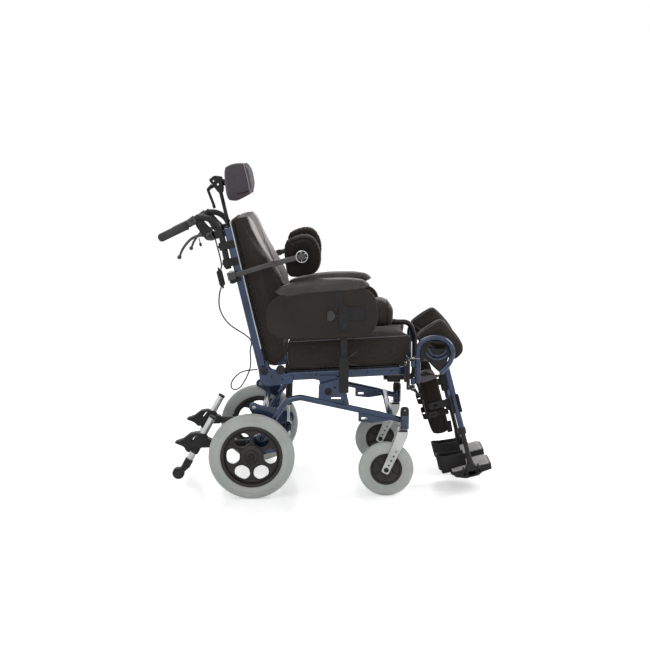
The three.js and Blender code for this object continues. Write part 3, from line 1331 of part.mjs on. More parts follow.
/** The footplate: a cornered plate with under ribs, its hinge barrel and the heel cup behind. */
function footplate(side) {
  const low = foot.axisZ - foot.plateThickness / 2;
  const high = foot.axisZ + foot.plateThickness / 2;
  const innerY = side * foot.plateInner;
  const outerY = side * foot.plateOuter;
  const flat = slab(soften([
    [foot.plateBack, Math.min(innerY, outerY)], [foot.plateFront, Math.min(innerY, outerY)],
    [foot.plateFront, Math.max(innerY, outerY)], [foot.plateBack, Math.max(innerY, outerY)],
  ], foot.plateCorner, 1), low, high);
  const ribShares = [[0.03, 0.6], [0.97, 0.6], [0.9, 0], [0.62, -1.1], [0.3, -1.1], [0.05, -0.2]];
  const ribOutline = spread(
    foot.plateBack, low, foot.plateFront - foot.plateBack, foot.ribDepth, ribShares
  );
  const ribs = [0.12, 0.88].map((share) => {
    const y = mix(innerY, outerY, share);
    return plate(ribOutline, y - foot.ribThickness / 2, y + foot.ribThickness / 2);
  });
  const half = foot.barrelLength / 2;
  const barrel = bar(
    [foot.axisX - half, side * foot.hingeIn, foot.axisZ],
    [foot.axisX + half, side * foot.hingeIn, foot.axisZ],
    foot.barrelRadius,
    10,
  );
  const tongue = box(
    foot.axisX,
    side * (foot.hingeIn + foot.plateOuter - overrun) / 2,
    foot.axisZ,
    foot.barrelLength,
    foot.hingeIn - foot.plateOuter + overrun,
    foot.plateThickness,
  );
  const eye = bore(
    [foot.axisX - half - overrun, side * foot.hingeIn, foot.axisZ],
    [foot.axisX + half + overrun, side * foot.hingeIn, foot.axisZ],
    foot.pinRadius,
    10,
  );
  const wall = sweep([
    [foot.plateBack + foot.plateCorner * 2, side * foot.heelOuter, low + foot.heelHeight / 2], [
      foot.heelBack, side * (foot.heelOuter - foot.heelWall), low + foot.heelHeight / 2
    ],
    [foot.heelBack, side * (foot.heelInner + foot.heelWall), low + foot.heelHeight / 2], [
      foot.plateBack + foot.plateCorner * 2, side * foot.heelInner, low + foot.heelHeight / 2
    ],
  ], flatBar(foot.heelHeight, foot.heelWall), foot.plateCorner, up, 4);
  const sole = slab([
    [foot.plateBack + foot.plateCorner, Math.min(side * foot.heelInner, side * foot.heelOuter)], [
      foot.plateBack + foot.plateCorner, Math.max(side * foot.heelInner, side * foot.heelOuter)
    ],
    [foot.heelBack + foot.heelWall * 2,
      Math.max(side * foot.heelInner, side * foot.heelOuter) - foot.heelWall],
    [foot.heelBack + foot.heelWall * 2,
      Math.min(side * foot.heelInner, side * foot.heelOuter) + foot.heelWall],
  ], low, low + foot.heelWall);
  return cut(join(flat, ...ribs, tongue, barrel, wall, sole), eye);
}

function buildLegrests() {
  for (const side of sides) {
    const name = side < 0 ? "right" : "left";
    add(whole, `${name}_legrest_bracket`, legrestBracket(side), blackMetal);
    add(whole, `${name}_legrest_hanger`, hanger(side), frameBlue);
    add(whole, `${name}_knee_pad`, kneePad(side), fabric);
    const legs = new THREE.Group();
    legs.position.set(legrest.kneeX, 0, legrest.kneeZ);
    legs.rotation.y = -legrest.lean;
    whole.add(legs);
    add(legs, `${name}_leg_tube`, legTube(side), frameBlue);
    add(legs, `${name}_calf_pad`, calfPad(side), fabric);
    add(legs, `${name}_foot_tube`, footTube(side), blackMetal);
    add(legs, `${name}_footplate`, footplate(side), footGrey);
  }
}

/** The back frame, upright in its own group: two tubes, cross tubes, clamps and the recline tab. */
function backFrame() {
  const parts = [];
  const tools = [];
  for (const s of sides) {
    const y = s * back.halfWidth;
    const section = roundedBox(back.tubeWidth, back.tubeDepth, back.tubeCorner, 1);
    parts.push(sweep([[back.tubeX, y, back.bottom], [back.tubeX, y, back.top]], section, back.tubeCorner));
    parts.push(bar([0, y - back.tubeWidth / 2, 0], [0, y + back.tubeWidth / 2, 0], back.tubeDepth / 2, 10));
    for (const z of [back.clampLow, back.clampHigh]) {
      const reach = back.tubeX - handle.x;
      const outline = flatBar(reach + handle.radius * 2 + back.clampWall, back.tubeWidth + back.clampWall);
      parts.push(
        slab(
          shifted(
            outline,
            handle.x - handle.radius - back.clampWall + (reach + handle.radius * 2 + back.clampWall) / 2,
            y,
          ),
          z,
          z + back.clampHeight,
        )
      );
      tools.push(
        bore([handle.x, y, z - overrun], [handle.x, y, z + back.clampHeight + overrun], handle.radius, 10)
      );
    }
    parts.push(
      bar(
        [lateral.clampX, s * lateral.plane, lateral.clampZ - lateral.clampHeight * 0.9],
        [lateral.clampX, s * lateral.plane, lateral.clampZ - lateral.clampHeight / 2 - gap],
        lateral.clampRadius * 0.8,
        10,
      )
    );
    parts.push(
      bar(
        [lateral.clampX, s * lateral.plane, lateral.clampZ - lateral.clampHeight * 0.7],
        [lateral.clampX, s * lateral.plane, lateral.clampZ + lateral.clampHeight / 2],
        lateral.pinRadius,
        10,
      )
    );
    parts.push(
      box(
        (lateral.clampX + back.tubeX) / 2,
        s * (lateral.plane + back.halfWidth) / 2,
        lateral.clampZ - lateral.clampHeight * 0.7 - gap / 2,
        Math.abs(lateral.clampX - back.tubeX) + lateral.pinRadius,
        lateral.plane - back.halfWidth,
        lateral.clampHeight * 0.4 - gap,
      )
    );
    tools.push(bore([0, y - back.tubeWidth, 0], [0, y + back.tubeWidth, 0], back.pinRadius, 10));
  }
  for (const z of [back.crossLow, back.crossMiddle, back.crossTop]) {
    parts.push(bar([back.tubeX, -back.halfWidth, z], [back.tubeX, back.halfWidth, z], back.crossRadius, 8));
  }
  const blockX = headrest.stemX;
  parts.push(box(blockX, 0, back.crossTop, back.stemBlockDepth, back.stemBlockWidth, back.stemBlockHeight));
  tools.push(
    bore(
      [headrest.stemX, 0, back.crossTop - back.stemBlockHeight],
      [headrest.stemX, 0, back.crossTop + back.stemBlockHeight],
      headrest.stemRadius,
      10,
    )
  );
  const tip = new THREE.Vector2(0, -back.tabDrop).rotateAround(new THREE.Vector2(), 0);
  const lean = back.lean;
  const end = [
    tip.x * Math.cos(lean) + tip.y * Math.sin(lean), -tip.x * Math.sin(lean) + tip.y * Math.cos(lean)
  ];
  const inner = recline.eyeWidth / 2 + recline.lugSpace;
  for (const s of sides) {
    const from = back.tabY + s * inner;
    const outline = soften([
      [end[0] - recline.eyeRadius, end[1] - recline.eyeRadius], [
        end[0] + recline.eyeRadius, end[1] - recline.eyeRadius
      ],
      [back.tubeX + recline.eyeRadius, back.crossLow], [back.tubeX - recline.eyeRadius, back.crossLow],
    ], recline.eyeRadius * 0.9, 1);
    parts.push(plate(outline, from, from + s * recline.lugThickness));
  }
  const reach = inner + recline.lugThickness;
  parts.push(
    bar([end[0], back.tabY - reach, end[1]], [end[0], back.tabY + reach, end[1]], recline.pinRadius, 10)
  );
  return cut(join(...parts), ...tools);
}

/** The back cushion: crowned, thicker towards the loins, with side wings that hold the trunk. */
function backPad() {
  const height = backCushion.top - backCushion.bottom;
  const rear = back.tubeX + back.tubeDepth / 2 + back.panelThickness + gap * 2;
  return pad(2, 8, 10, backCushion.round, (x, y, z) => {
    const rise = (z + 1) / 2;
    const depth = rise < 0.5
      ? mix(backCushion.lowDepth, backCushion.midDepth, Math.sin(rise * Math.PI))
      : mix(backCushion.midDepth, backCushion.topDepth, (rise - 0.5) * 2);
    const wingShare = Math.exp(-(((rise - 0.5) / 0.3) ** 2)) * Math.max(
      0, (Math.abs(y) - 0.55) / 0.45
    ) ** 0.8;
    const front = depth + backCushion.wing * wingShare;
    return [rear + ((x + 1) / 2) * front, y * backCushion.halfWidth, backCushion.bottom + rise * height];
  });
}

/** A push handle: a tube up from its clamps, bent back to the ribbed grip. */
function pushHandle(side) {
  const y = side * back.halfWidth;
  const slope = (handle.gripDrop) / (handle.gripEnd - handle.reach);
  const atX = (x) => handle.shoulder + overrun - (x - handle.reach) * slope;
  const way = [
    [handle.x, handle.bottom],
    [handle.x, handle.shoulder],
    [-handle.reach, atX(handle.reach)],
    [-handle.gripEnd + handle.gripRadius, atX(handle.gripEnd - handle.gripRadius)],
  ];
  const tubePiece = sideTube(way, y, handle.radius, handle.bend, 10);
  const grip = bar(
    [-handle.gripStart, y, atX(handle.gripStart)],
    [-handle.gripEnd, y, atX(handle.gripEnd)],
    handle.gripRadius,
    10,
  );
  const block = plate(
    shifted(
      roundedBox(lever.blockLength, lever.blockHeight, lever.cheek, 1),
      lever.x + lever.blockLength / 2 + lever.height,
      lever.z,
    ),
    y - lever.blockWidth / 2,
    y + lever.blockWidth / 2,
  );
  const cheeks = sides.map((s) => plate(soften([
    [lever.x - lever.height, lever.z - lever.height], [lever.x + lever.cheek * 3, lever.z - lever.height],
    [lever.x + lever.cheek * 3, lever.z + lever.height], [lever.x - lever.height, lever.z + lever.height],
  ], lever.cheek, 1), y + s * (lever.thickness / 2 + lever.play), y + s * (lever.blockWidth / 2)));
  const pin = bar(
    [lever.x, y - lever.blockWidth / 2, lever.z],
    [lever.x, y + lever.blockWidth / 2, lever.z],
    lever.pinRadius,
    10,
  );
  return join(tubePiece, grip, block, ...cheeks, pin);
}

/** A hand lever with its ball end, curving down behind its pin. */
function handLever(side) {
  const y = side * back.halfWidth;
  const shares = [[0, 0], [0.29, -0.2], [0.56, -0.08], [0.83, 0.43], [1, 1]];
  const way = shares.map(([a, b]) => [lever.x - a * lever.reach, y, lever.z - b * lever.fall]);
  const blade = sweep(
    way, flatBar(lever.thickness, lever.height), lever.height * 3, new THREE.Vector3(0, 1, 0), 2
  );
  const eye = bar(
    [lever.x, y - lever.thickness / 2, lever.z], [lever.x, y + lever.thickness / 2, lever.z],
    lever.height * 0.8, 10,
  );
  const end = way[way.length - 1];
  const ball = new THREE.SphereGeometry(lever.ballRadius, 7, 5).translate(...end);
  const hole = bore(
    [lever.x, y - lever.blockWidth, lever.z], [lever.x, y + lever.blockWidth, lever.z], lever.pinRadius, 10
  );
  return cut(join(blade, eye, ball), hole);
}

/** The headrest stem with its joint block, lock lever and ball. */
function headrestStem() {
  const stem = bar(
    [headrest.stemX, 0, headrest.stemBottom], [headrest.stemX, 0, headrest.stemTop], headrest.stemRadius, 10
  );
  const shares = [[0, 0.85], [0.44, 1], [0.85, 0.9], [0.85, 0.2], [0.4, 0], [0.44, 0.45]];
  const outline = soften(
    spread(headrest.blockX, headrest.blockZ, headrest.blockLength, headrest.blockHeight, shares),
    headrest.blockCorner,
    1,
  );
  const block = plate(outline, -headrest.blockWidth / 2, headrest.blockWidth / 2);
  const rod = sweep([
    [headrest.blockX + headrest.blockLength * 0.3, 0, headrest.blockZ + headrest.blockHeight * 0.8],
    [headrest.leverX, 0, headrest.blockZ + headrest.blockHeight * 0.6],
    [
      headrest.leverX + headrest.leverRadius * 2,
      0,
      headrest.blockZ + headrest.blockHeight * 0.6 - headrest.leverLength,
    ],
  ], ring(headrest.leverRadius, 8), headrest.leverRadius * 3, new THREE.Vector3(0, 1, 0), 2);
  const ball = new THREE.SphereGeometry(headrest.ballRadius, 8, 6).translate(
    headrest.ballX + headrest.ballRadius / 2, 0, headrest.ballZ
  );
  return join(stem, block, rod, ball);
}

/** The headrest pad: a curved pillow with a socket behind for the ball. */
function headrestPad() {
  const half = [
    (headrest.padFront - headrest.padBack - headrest.sweep) / 2,
    headrest.halfWidth,
    (headrest.padTop - headrest.padBottom) / 2,
  ];
  const middle = [
    (headrest.padBack + headrest.padFront - headrest.sweep) / 2,
    0,
    (headrest.padTop + headrest.padBottom) / 2,
  ];
  const soft = pad(3, 6, 4, headrest.round, (x, y, z) =>
    [middle[0] + x * half[0] + headrest.sweep * y * y, y * half[1], middle[2] + z * half[2]]);
  const socket = new THREE.SphereGeometry(headrest.ballRadius + headrest.socketPlay, 8, 6).translate(
    headrest.ballX + headrest.ballRadius / 2, 0, headrest.ballZ
  );
  return cut(soft, socket);
}

/** A trunk support arm: eye round its pin, flat arm and the ring disc that takes the pad. */
function lateralArm(side) {
  const y = side * lateral.plane;
  const hub = bar(
    [lateral.clampX, y, lateral.clampZ - lateral.clampHeight / 2],
    [lateral.clampX, y, lateral.clampZ + lateral.clampHeight / 2],
    lateral.clampRadius,
    10,
  );
  const way = [
    [lateral.clampX, y, lateral.clampZ],
    [lateral.armEnd * 0.75, y, lateral.clampZ + lateral.armRise],
    [lateral.armEnd, y, lateral.clampZ + lateral.armRise],
  ];
  const arm = sweep(way, flatBar(lateral.armThickness, lateral.armHeight), lateral.armHeight * 2);
  const z = lateral.clampZ + lateral.armRise;
  const disc = bar(
    [lateral.armEnd, side * (lateral.padOuter + gap * 2), z],
    [lateral.armEnd, side * (lateral.plane + lateral.discThickness), z],
    lateral.discRadius,
    10,
  );
  const hole = bore(
    [lateral.clampX, y, lateral.clampZ - lateral.clampHeight],
    [lateral.clampX, y, lateral.clampZ + lateral.clampHeight],
    lateral.pinRadius,
    10,
  );
  return cut(join(hub, arm, disc), hole);
}

/** A trunk support pad: a plump shield curving in at its front. */
function lateralPad(side) {
  const half = [lateral.padLength / 2, (lateral.padOuter - lateral.padInner) / 2, lateral.padHeight / 2];
  return pad(4, 2, 4, lateral.round, (x, y, z) => [
    lateral.padX + half[0] + x * half[0],
    side * (lateral.padInner + half[1] - x * x * lateral.discThickness * 0.5) + y * half[1],
    lateral.padZ + half[2] + z * half[2]]);
}

/** The release cable: from under the right lever block, through its junction box and down behind the tube. */
function controlCable() {
  const y = -back.halfWidth;
  const behind = back.tubeX - back.tubeDepth / 2 - cable.radius - gap;
  const line = (points) => sweep(
    points.map(([x, z]) => [x, y, z]), ring(cable.radius, cable.sides), cable.bend,
    new THREE.Vector3(0, 1, 0), 4);
  const top = [behind - cable.stand, lever.z - lever.blockHeight / 2 - gap];
  const box0 = [behind - cable.boxBack, cable.boxZ];
  const upper = [
    top, [top[0], box0[1] + cable.boxHeight * 1.4], [box0[0], box0[1] + cable.boxHeight * 0.9]
  ];
  const housing = box(
    box0[0], y, box0[1] + cable.boxHeight / 2, cable.boxLength, cable.boxWidth, cable.boxHeight
  );
  const loopShares = [[1, 0.02], [1.42, -0.1], [1.6, -0.25], [1.2, -0.42], [0, -0.62], [0.2, -0.75], [0.5, -0.93],
    [1.45, -1.1], [2.08, -1.11], [2.04, -1.03], [1.2, -0.95], [0, -0.96]];
  const lower = loopShares.map(([a, b]) => [behind - a * cable.boxBack, box0[1] + b * cable.fall]);
  return join(line(upper), housing, line(lower));
}

function buildBack() {
  const lean = new THREE.Group();
  lean.position.set(back.hingeX, 0, back.hingeZ);
  lean.rotation.y = -back.lean;
  whole.add(lean);
  add(lean, "back_frame", backFrame(), frameBlue);
  const panelX = back.tubeX + back.tubeDepth / 2 + gap;
  const panelHeight = back.panelTop - back.panelBottom;
  const panel = new THREE.ExtrudeGeometry(
    new THREE.Shape(shifted(roundedBox(panelHeight, back.panelHalfWidth * 2, back.tubeWidth, 3), 0, 0)),
    { depth: back.panelThickness, bevelEnabled: false },
  )
    .rotateY(Math.PI / 2).translate(panelX, 0, back.panelBottom + panelHeight / 2);
  add(lean, "back_panel", panel, blackPlastic);
  add(lean, "back_cushion", backPad(), fabric);
  add(lean, "headrest_stem", headrestStem(), blackMetal);
  add(lean, "headrest_pad", headrestPad(), leatherette);
  add(lean, "control_cable", controlCable(), blackPlastic);
  for (const side of sides) {
    const name = side < 0 ? "right" : "left";
    add(lean, `${name}_push_handle`, pushHandle(side), blackPlastic);
    add(lean, `${name}_hand_lever`, handLever(side), blackMetal);
    add(lean, `${name}_lateral_arm`, lateralArm(side), blackMetal);
    add(lean, `${name}_lateral_pad`, lateralPad(side), leatherette);
  }
}

buildBase();
buildWheels();
buildCasters();
buildAntiTips();
buildStruts();
buildSeat();
buildPommel();
buildArmrests();
buildLegrests();
buildBack();

// The origin goes to the floor under the middle of the whole chair.
const extent = new THREE.Box3().setFromObject(whole);
whole.position.x = -(extent.min.x + extent.max.x) / 2;

export default whole;
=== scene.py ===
"""Tilt in space wheelchair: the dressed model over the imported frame.

Sizes are millimetres counted from the floor under the rear axle, as in the part's source, and are turned to
metres in the row frame when a piece is made. The near side is the sitter's right, at negative Y.
"""

import logging
import math
from collections.abc import Callable, Sequence
from dataclasses import dataclass, field
from enum import Enum

import bpy
import numpy as np
from bpy.types import Material, Node, NodeSocket, NodeTree, Object
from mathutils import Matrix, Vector
from mathutils.bvhtree import BVHTree
from mathutils.geometry import tessellate_polygon


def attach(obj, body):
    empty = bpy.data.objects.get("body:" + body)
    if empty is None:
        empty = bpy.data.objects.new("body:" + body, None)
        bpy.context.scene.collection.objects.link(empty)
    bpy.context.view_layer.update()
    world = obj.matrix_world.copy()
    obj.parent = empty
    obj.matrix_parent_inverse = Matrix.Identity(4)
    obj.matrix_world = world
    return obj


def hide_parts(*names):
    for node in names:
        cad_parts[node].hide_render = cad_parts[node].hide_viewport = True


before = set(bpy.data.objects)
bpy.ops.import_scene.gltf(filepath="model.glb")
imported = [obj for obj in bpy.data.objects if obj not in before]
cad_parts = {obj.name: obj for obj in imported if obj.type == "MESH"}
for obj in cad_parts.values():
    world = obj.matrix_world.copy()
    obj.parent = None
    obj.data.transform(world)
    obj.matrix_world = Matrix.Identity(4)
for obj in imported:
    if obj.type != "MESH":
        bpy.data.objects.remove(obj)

logging.basicConfig(level=logging.INFO, format="%(message)s")
log = logging.getLogger("chair")

MM = 0.001
AXLE = np.array([-0.268124, 0.0, 0.0])
X_WAY, Y_WAY, Z_WAY = np.eye(3)
FULL_TURN = 2 * math.pi
# Farther, in mm, than any two places of the chair: nothing is sunk there.
FAR = 1e9
# The recline strut's plane, and the near and far faces of the lug plates on either side of a strut's eye.
RECLINE_PLANE = 70.0
SMALL_LUG, LARGE_LUG = (8.0, 13.0), (9.0, 14.0)


class Side(Enum):
    """The two sides of the chair: the sign of Y, named as the bodies are."""

    RIGHT = -1
    LEFT = 1

    @property
    def label(self) -> str:
        """The word that starts the names of this side's bodies."""
        return self.name.lower()


class Plane(Enum):
    """How a flat outline stands: which two axes it lies along, and the axis of its thickness."""

    UPRIGHT = (0, 2, 1)
    LEVEL = (0, 1, 2)
    FACING = (1, 2, 0)


@dataclass(frozen=True)
class Stand:
    """A side-plane frame that leans back about a hinge."""

    x: float = 0.0
    z: float = 0.0
    lean: float = 0.0

    def place(self, points: np.ndarray) -> np.ndarray:
        """Turns local points by the lean and moves them to the hinge.

        Args:
            points: an (n, 3) array, local X ahead of the hinge and local Z up along the leaning line.

        Returns:
            The points from the floor under the rear axle: X is x + X cos - Z sin, Z is z + X sin + Z cos.
        """
        c, s = math.cos(math.radians(self.lean)), math.sin(math.radians(self.lean))
        local = np.atleast_2d(points)
        return np.column_stack([
            self.x + local[:, 0] * c - local[:, 2] * s, local[:, 1], self.z + local[:, 0] * s + local[:, 2] * c])

    def local(self, places: np.ndarray) -> np.ndarray:
        """Places as this frame counts them: moved back from the hinge and turned back by the lean."""
        c, s = math.cos(math.radians(self.lean)), math.sin(math.radians(self.lean))
        dx, dz = places[:, 0] - self.x, places[:, 2] - self.z
        return np.column_stack([dx * c + dz * s, places[:, 1], dz * c - dx * s])


LEVEL = Stand()
SEAT = Stand(0.0, 426.0, 3.0)
BACK = Stand(44.0, 455.0, 13.1)
LEG = Stand(665.0, 520.0, 14.6)


@dataclass
class Surface:
    """A closed surface in the making: points in mm and faces that list them, seen from outside."""

    points: np.ndarray
    faces: list[list[int]] = field(default_factory=list)

    def on(self, stand: Stand) -> "Surface":
        """The surface set on a leaning frame."""
        return Surface(stand.place(self.points), self.faces)

    def moved(self, x: float = 0.0, y: float = 0.0, z: float = 0.0) -> "Surface":
        """The surface moved along the axes."""
        return Surface(self.points + np.array([x, y, z]), self.faces)

    def mirrored(self) -> "Surface":
        """The surface reflected across the middle plane, its faces still outwards."""
        return Surface(self.points * np.array([1, -1, 1]), [face[::-1] for face in self.faces])

    def to_side(self, side: Side) -> "Surface":
        """A surface drawn for the right side, on either side."""
        return self if side is Side.RIGHT else self.mirrored()


def weld(*surfaces: Surface) -> Surface:
    """Several surfaces as one piece, their points one after another.

    Args:
        surfaces: the surfaces to put together.

    Returns:
        One surface with all their faces.
    """
    starts = np.cumsum([0] + [len(s.points) for s in surfaces[:-1]])
    faces = [[i + int(start) for i in face] for s, start in zip(surfaces, starts) for face in s.faces]
    return Surface(np.vstack([s.points for s in surfaces]), faces)


def outward(surface: Surface) -> Surface:
    """Turns a closed surface's faces outwards.

    Args:
        surface: one closed surface.

    Returns:
        The surface, reversed if the sum of its face pyramids' volumes is negative.
    """
    volume = 0.0
    for count in {len(face) for face in surface.faces}:
        corners = surface.points[np.array([face for face in surface.faces if len(face) == count])]
        middle = corners.mean(axis=1)
        for k in range(count):
            slant = np.cross(corners[:, k], corners[:, (k + 1) % count])
            volume += float(np.einsum("ij,ij->i", middle, slant).sum())
    return surface if volume > 0 else Surface(surface.points, [face[::-1] for face in surface.faces])


def woven(points: np.ndarray, wrap_u: bool = False, wrap_v: bool = True) -> Surface:
    """A grid of points as four-sided faces, its open ends closed by one face each.

    Args:
        points: an (m, n, 3) grid.
        wrap_u: whether the last row joins the first.
        wrap_v: whether the last column joins the first.

    Returns:
        A closed surface, faces outwards.
    """
    m, n = points.shape[:2]
    u = np.arange(m if wrap_u else m - 1)
    v = np.arange(n if wrap_v else n - 1)
    uu, vv = np.meshgrid(u, v, indexing="ij")
    un, vn = (uu + 1) % m, (vv + 1) % n
    quads = np.stack([uu * n + vv, uu * n + vn, un * n + vn, un * n + vv], axis=-1).reshape(-1, 4).tolist()
    if not wrap_u and wrap_v:
        quads.append(list(range(n))[::-1])
        quads.append(list(range((m - 1) * n, m * n)))
    return outward(Surface(points.reshape(-1, 3), quads))


def soften(corners: Sequence[Sequence[float]], radius: float | Sequence[float], steps: int = 6) -> np.ndarray:
    """An outline with each corner turned into a short parabola.

    Args:
        corners: the outline's corners.
        radius: how far along each edge the rounding reaches, for all corners or for each.
        steps: points of each rounding.

    Returns:
        The rounded outline: at each corner (1-t)^2 start + 2t(1-t) corner + t^2 end, for t from 0 to 1.
    """
    at = np.asarray(corners, float)
    before, after = np.roll(at, 1, axis=0), np.roll(at, -1, axis=0)
    lead, tail = np.linalg.norm(before - at, axis=1), np.linalg.norm(after - at, axis=1)
    start = at + (before - at) * (np.minimum(radius, lead * 0.48) / lead)[:, None]
    end = at + (after - at) * (np.minimum(radius, tail * 0.48) / tail)[:, None]
    t = np.linspace(0, 1, steps + 1)[None, :, None]
    return ((1 - t) ** 2 * start[:, None] + 2 * t * (1 - t) * at[:, None] + t**2 * end[:, None]).reshape(-1, 2)


def rounded(width: float, height: float, radius: float, x: float = 0.0, z: float = 0.0, steps: int = 6) -> np.ndarray:
    """A rounded rectangle about (x, z)."""
    w, h = width / 2, height / 2
    return soften([[-w, -h], [w, -h], [w, h], [-w, h]], radius, steps) + np.array([x, z])


def circle(radius: float, x: float = 0.0, z: float = 0.0, count: int = 32) -> np.ndarray:
    """Points round a circle about (x, z)."""
    turn = np.linspace(0, FULL_TURN, count, endpoint=False)
    return np.column_stack([x + radius * np.cos(turn), z + radius * np.sin(turn)])


def spread(x: float, z: float, length: float, height: float, shares: Sequence[Sequence[float]]) -> np.ndarray:
    """Side view places from shares of a length and a height above a corner."""
    return np.array([x, z]) + np.asarray(shares, float) * np.array([length, height])


def area_of(loop: np.ndarray) -> float:
    """Signed area of a flat loop, positive when it runs anticlockwise."""
    x, z = loop.T
    return float((x * np.roll(z, -1) - z * np.roll(x, -1)).sum() / 2)


def anticlockwise(loop: np.ndarray) -> np.ndarray:
    """The loop, turned round if it runs clockwise."""
    return loop if area_of(loop) > 0 else loop[::-1]


def at_plane(loop: np.ndarray, y: float) -> np.ndarray:
    """A side view loop as places at y."""
    return np.column_stack([loop[:, 0], np.full(len(loop), y), loop[:, 1]])


def both_ways(rows: Sequence[Sequence[float]]) -> list[tuple[float, float]]:
    """Rows of (radius, distance) up to the middle, then the same rows mirrored back from it."""
    half = [(r, y) for r, y in rows]
    return half + [(r, -y) for r, y in half[::-1] if y]


def inset(loop: np.ndarray, amount: float) -> np.ndarray:
    """A loop drawn in towards its inside: each point moves along the mean of its two edges' normals."""
    way = np.roll(loop, -1, axis=0) - np.roll(loop, 1, axis=0)
    way /= np.linalg.norm(way, axis=1)[:, None] + 1e-9
    return loop + np.column_stack([-way[:, 1], way[:, 0]]) * amount


def plate(outline: np.ndarray, low: float, high: float, bevel: float = 1.0, holes: Sequence[np.ndarray] = (),
          plane: Plane = Plane.UPRIGHT) -> Surface:
    """A flat plate with eased edges: a four-point rim section carried round its outline and round each hole.

    Args:
        outline: the plate's loop.
        low: one end of its thickness.
        high: the other end.
        bevel: how far the edge is eased.
        holes: loops cut right through.
        plane: which way the plate faces.

    Returns:
        The closed plate.
    """
    low, high = min(low, high), max(low, high)
    loops = [anticlockwise(outline), *[anticlockwise(hole)[::-1] for hole in holes]]
    levels = [(low, bevel), (low + bevel, 0.0), (high - bevel, 0.0), (high, bevel)]
    parts, faces, start, rims = [], [], 0, ([], [])
    for loop in loops:
        n = len(loop)
        rings = [np.column_stack([inset(loop, inward) if inward else loop, np.full(n, level)])
                 for level, inward in levels]
        parts.append(np.vstack(rings))
        index = np.arange(4 * n).reshape(4, n) + start
        beside = np.roll(index, -1, axis=1)
        quads = np.stack([index[:-1], beside[:-1], beside[1:], index[1:]], axis=-1)
        faces += quads.reshape(-1, 4).tolist()
        rims[0].append((rings[0], index[0]))
        rims[1].append((rings[3], index[3]))
        start += 4 * n
    for rim, flip in zip(rims, (True, False)):
        order = np.concatenate([index for _, index in rim])
        flat = [[Vector((float(p[0]), float(p[1]), 0.0)) for p in ring] for ring, _ in rim]
        for tri in tessellate_polygon(flat):
            a, b, c = (np.vstack([ring for ring, _ in rim])[i] for i in tri)
            turn = (b[0] - a[0]) * (c[1] - a[1]) - (b[1] - a[1]) * (c[0] - a[0])
            corners = [int(order[i]) for i in tri]
            faces.append(corners[::-1] if (turn > 0) == flip else corners)
    points = np.zeros((start, 3))
    points[:, list(plane.value)] = np.vstack(parts)
    return outward(Surface(points, faces))


def lug_pair(outline: np.ndarray, reach: tuple[float, float], middle: float = 0.0) -> list[Surface]:
    """Two like lug plates on either side of a plane, from and to the distances given."""
    return [plate(outline, middle + s * reach[0], middle + s * reach[1], 0.8) for s in (-1, 1)]


def bent(corners: Sequence[Sequence[float]], bend: float, steps: int = 10) -> np.ndarray:
    """A way of straight runs joined by round bends.

    Args:
        corners: the places the way turns at, as (x, y, z).
        bend: the bends' radius.
        steps: points for a quarter turn.

    Returns:
        The way's points: each bend is the arc that touches both runs, centre + spoke turned by its angle.
    """
    at = [np.asarray(p, float) for p in corners]
    way = [at[0]]
    for before, here, after in zip(at[:-2], at[1:-1], at[2:]):
        a, b = before - here, after - here
        la, lb = np.linalg.norm(a), np.linalg.norm(b)
        a, b = a / la, b / lb
        turn = math.pi - math.acos(float(np.clip(a @ b, -1, 1)))
        if turn < 0.01:
            way.append(here)
            continue
        reach = min(bend * math.tan(turn / 2), la * 0.49, lb * 0.49)
        radius = reach / math.tan(turn / 2)
        inward = (a + b) / np.linalg.norm(a + b)
        centre = here + inward * math.hypot(radius, reach)
        spoke = here + a * reach - centre
        t = np.linspace(0, turn, max(3, round(turn / (math.pi / 2) * steps)) + 1)[:, None]
        way.extend(centre + spoke * np.cos(t) + (-a) * radius * np.sin(t))
    way.append(at[-1])
    return np.array(way)


def flowing(corners: Sequence[Sequence[float]], count: int = 60) -> np.ndarray:
    """A smooth way through places: cubic pieces whose slope at a place is half the step between its neighbours.

    Args:
        corners: the places it passes.
        count: points of the whole way.

    Returns:
        The way's points.
    """
    at = np.asarray(corners, float)
    padded = np.vstack([2 * at[0] - at[1], at, 2 * at[-1] - at[-2]])
    s = np.linspace(0, len(at) - 1, count)
    i = np.minimum(s.astype(int), len(at) - 2)
    t = (s - i)[:, None]
    a, b, c, d = padded[i], padded[i + 1], padded[i + 2], padded[i + 3]
    return 0.5 * (2 * b + (c - a) * t + (2 * a - 5 * b + 4 * c - d) * t**2 + (3 * b - a - 3 * c + d) * t**3)


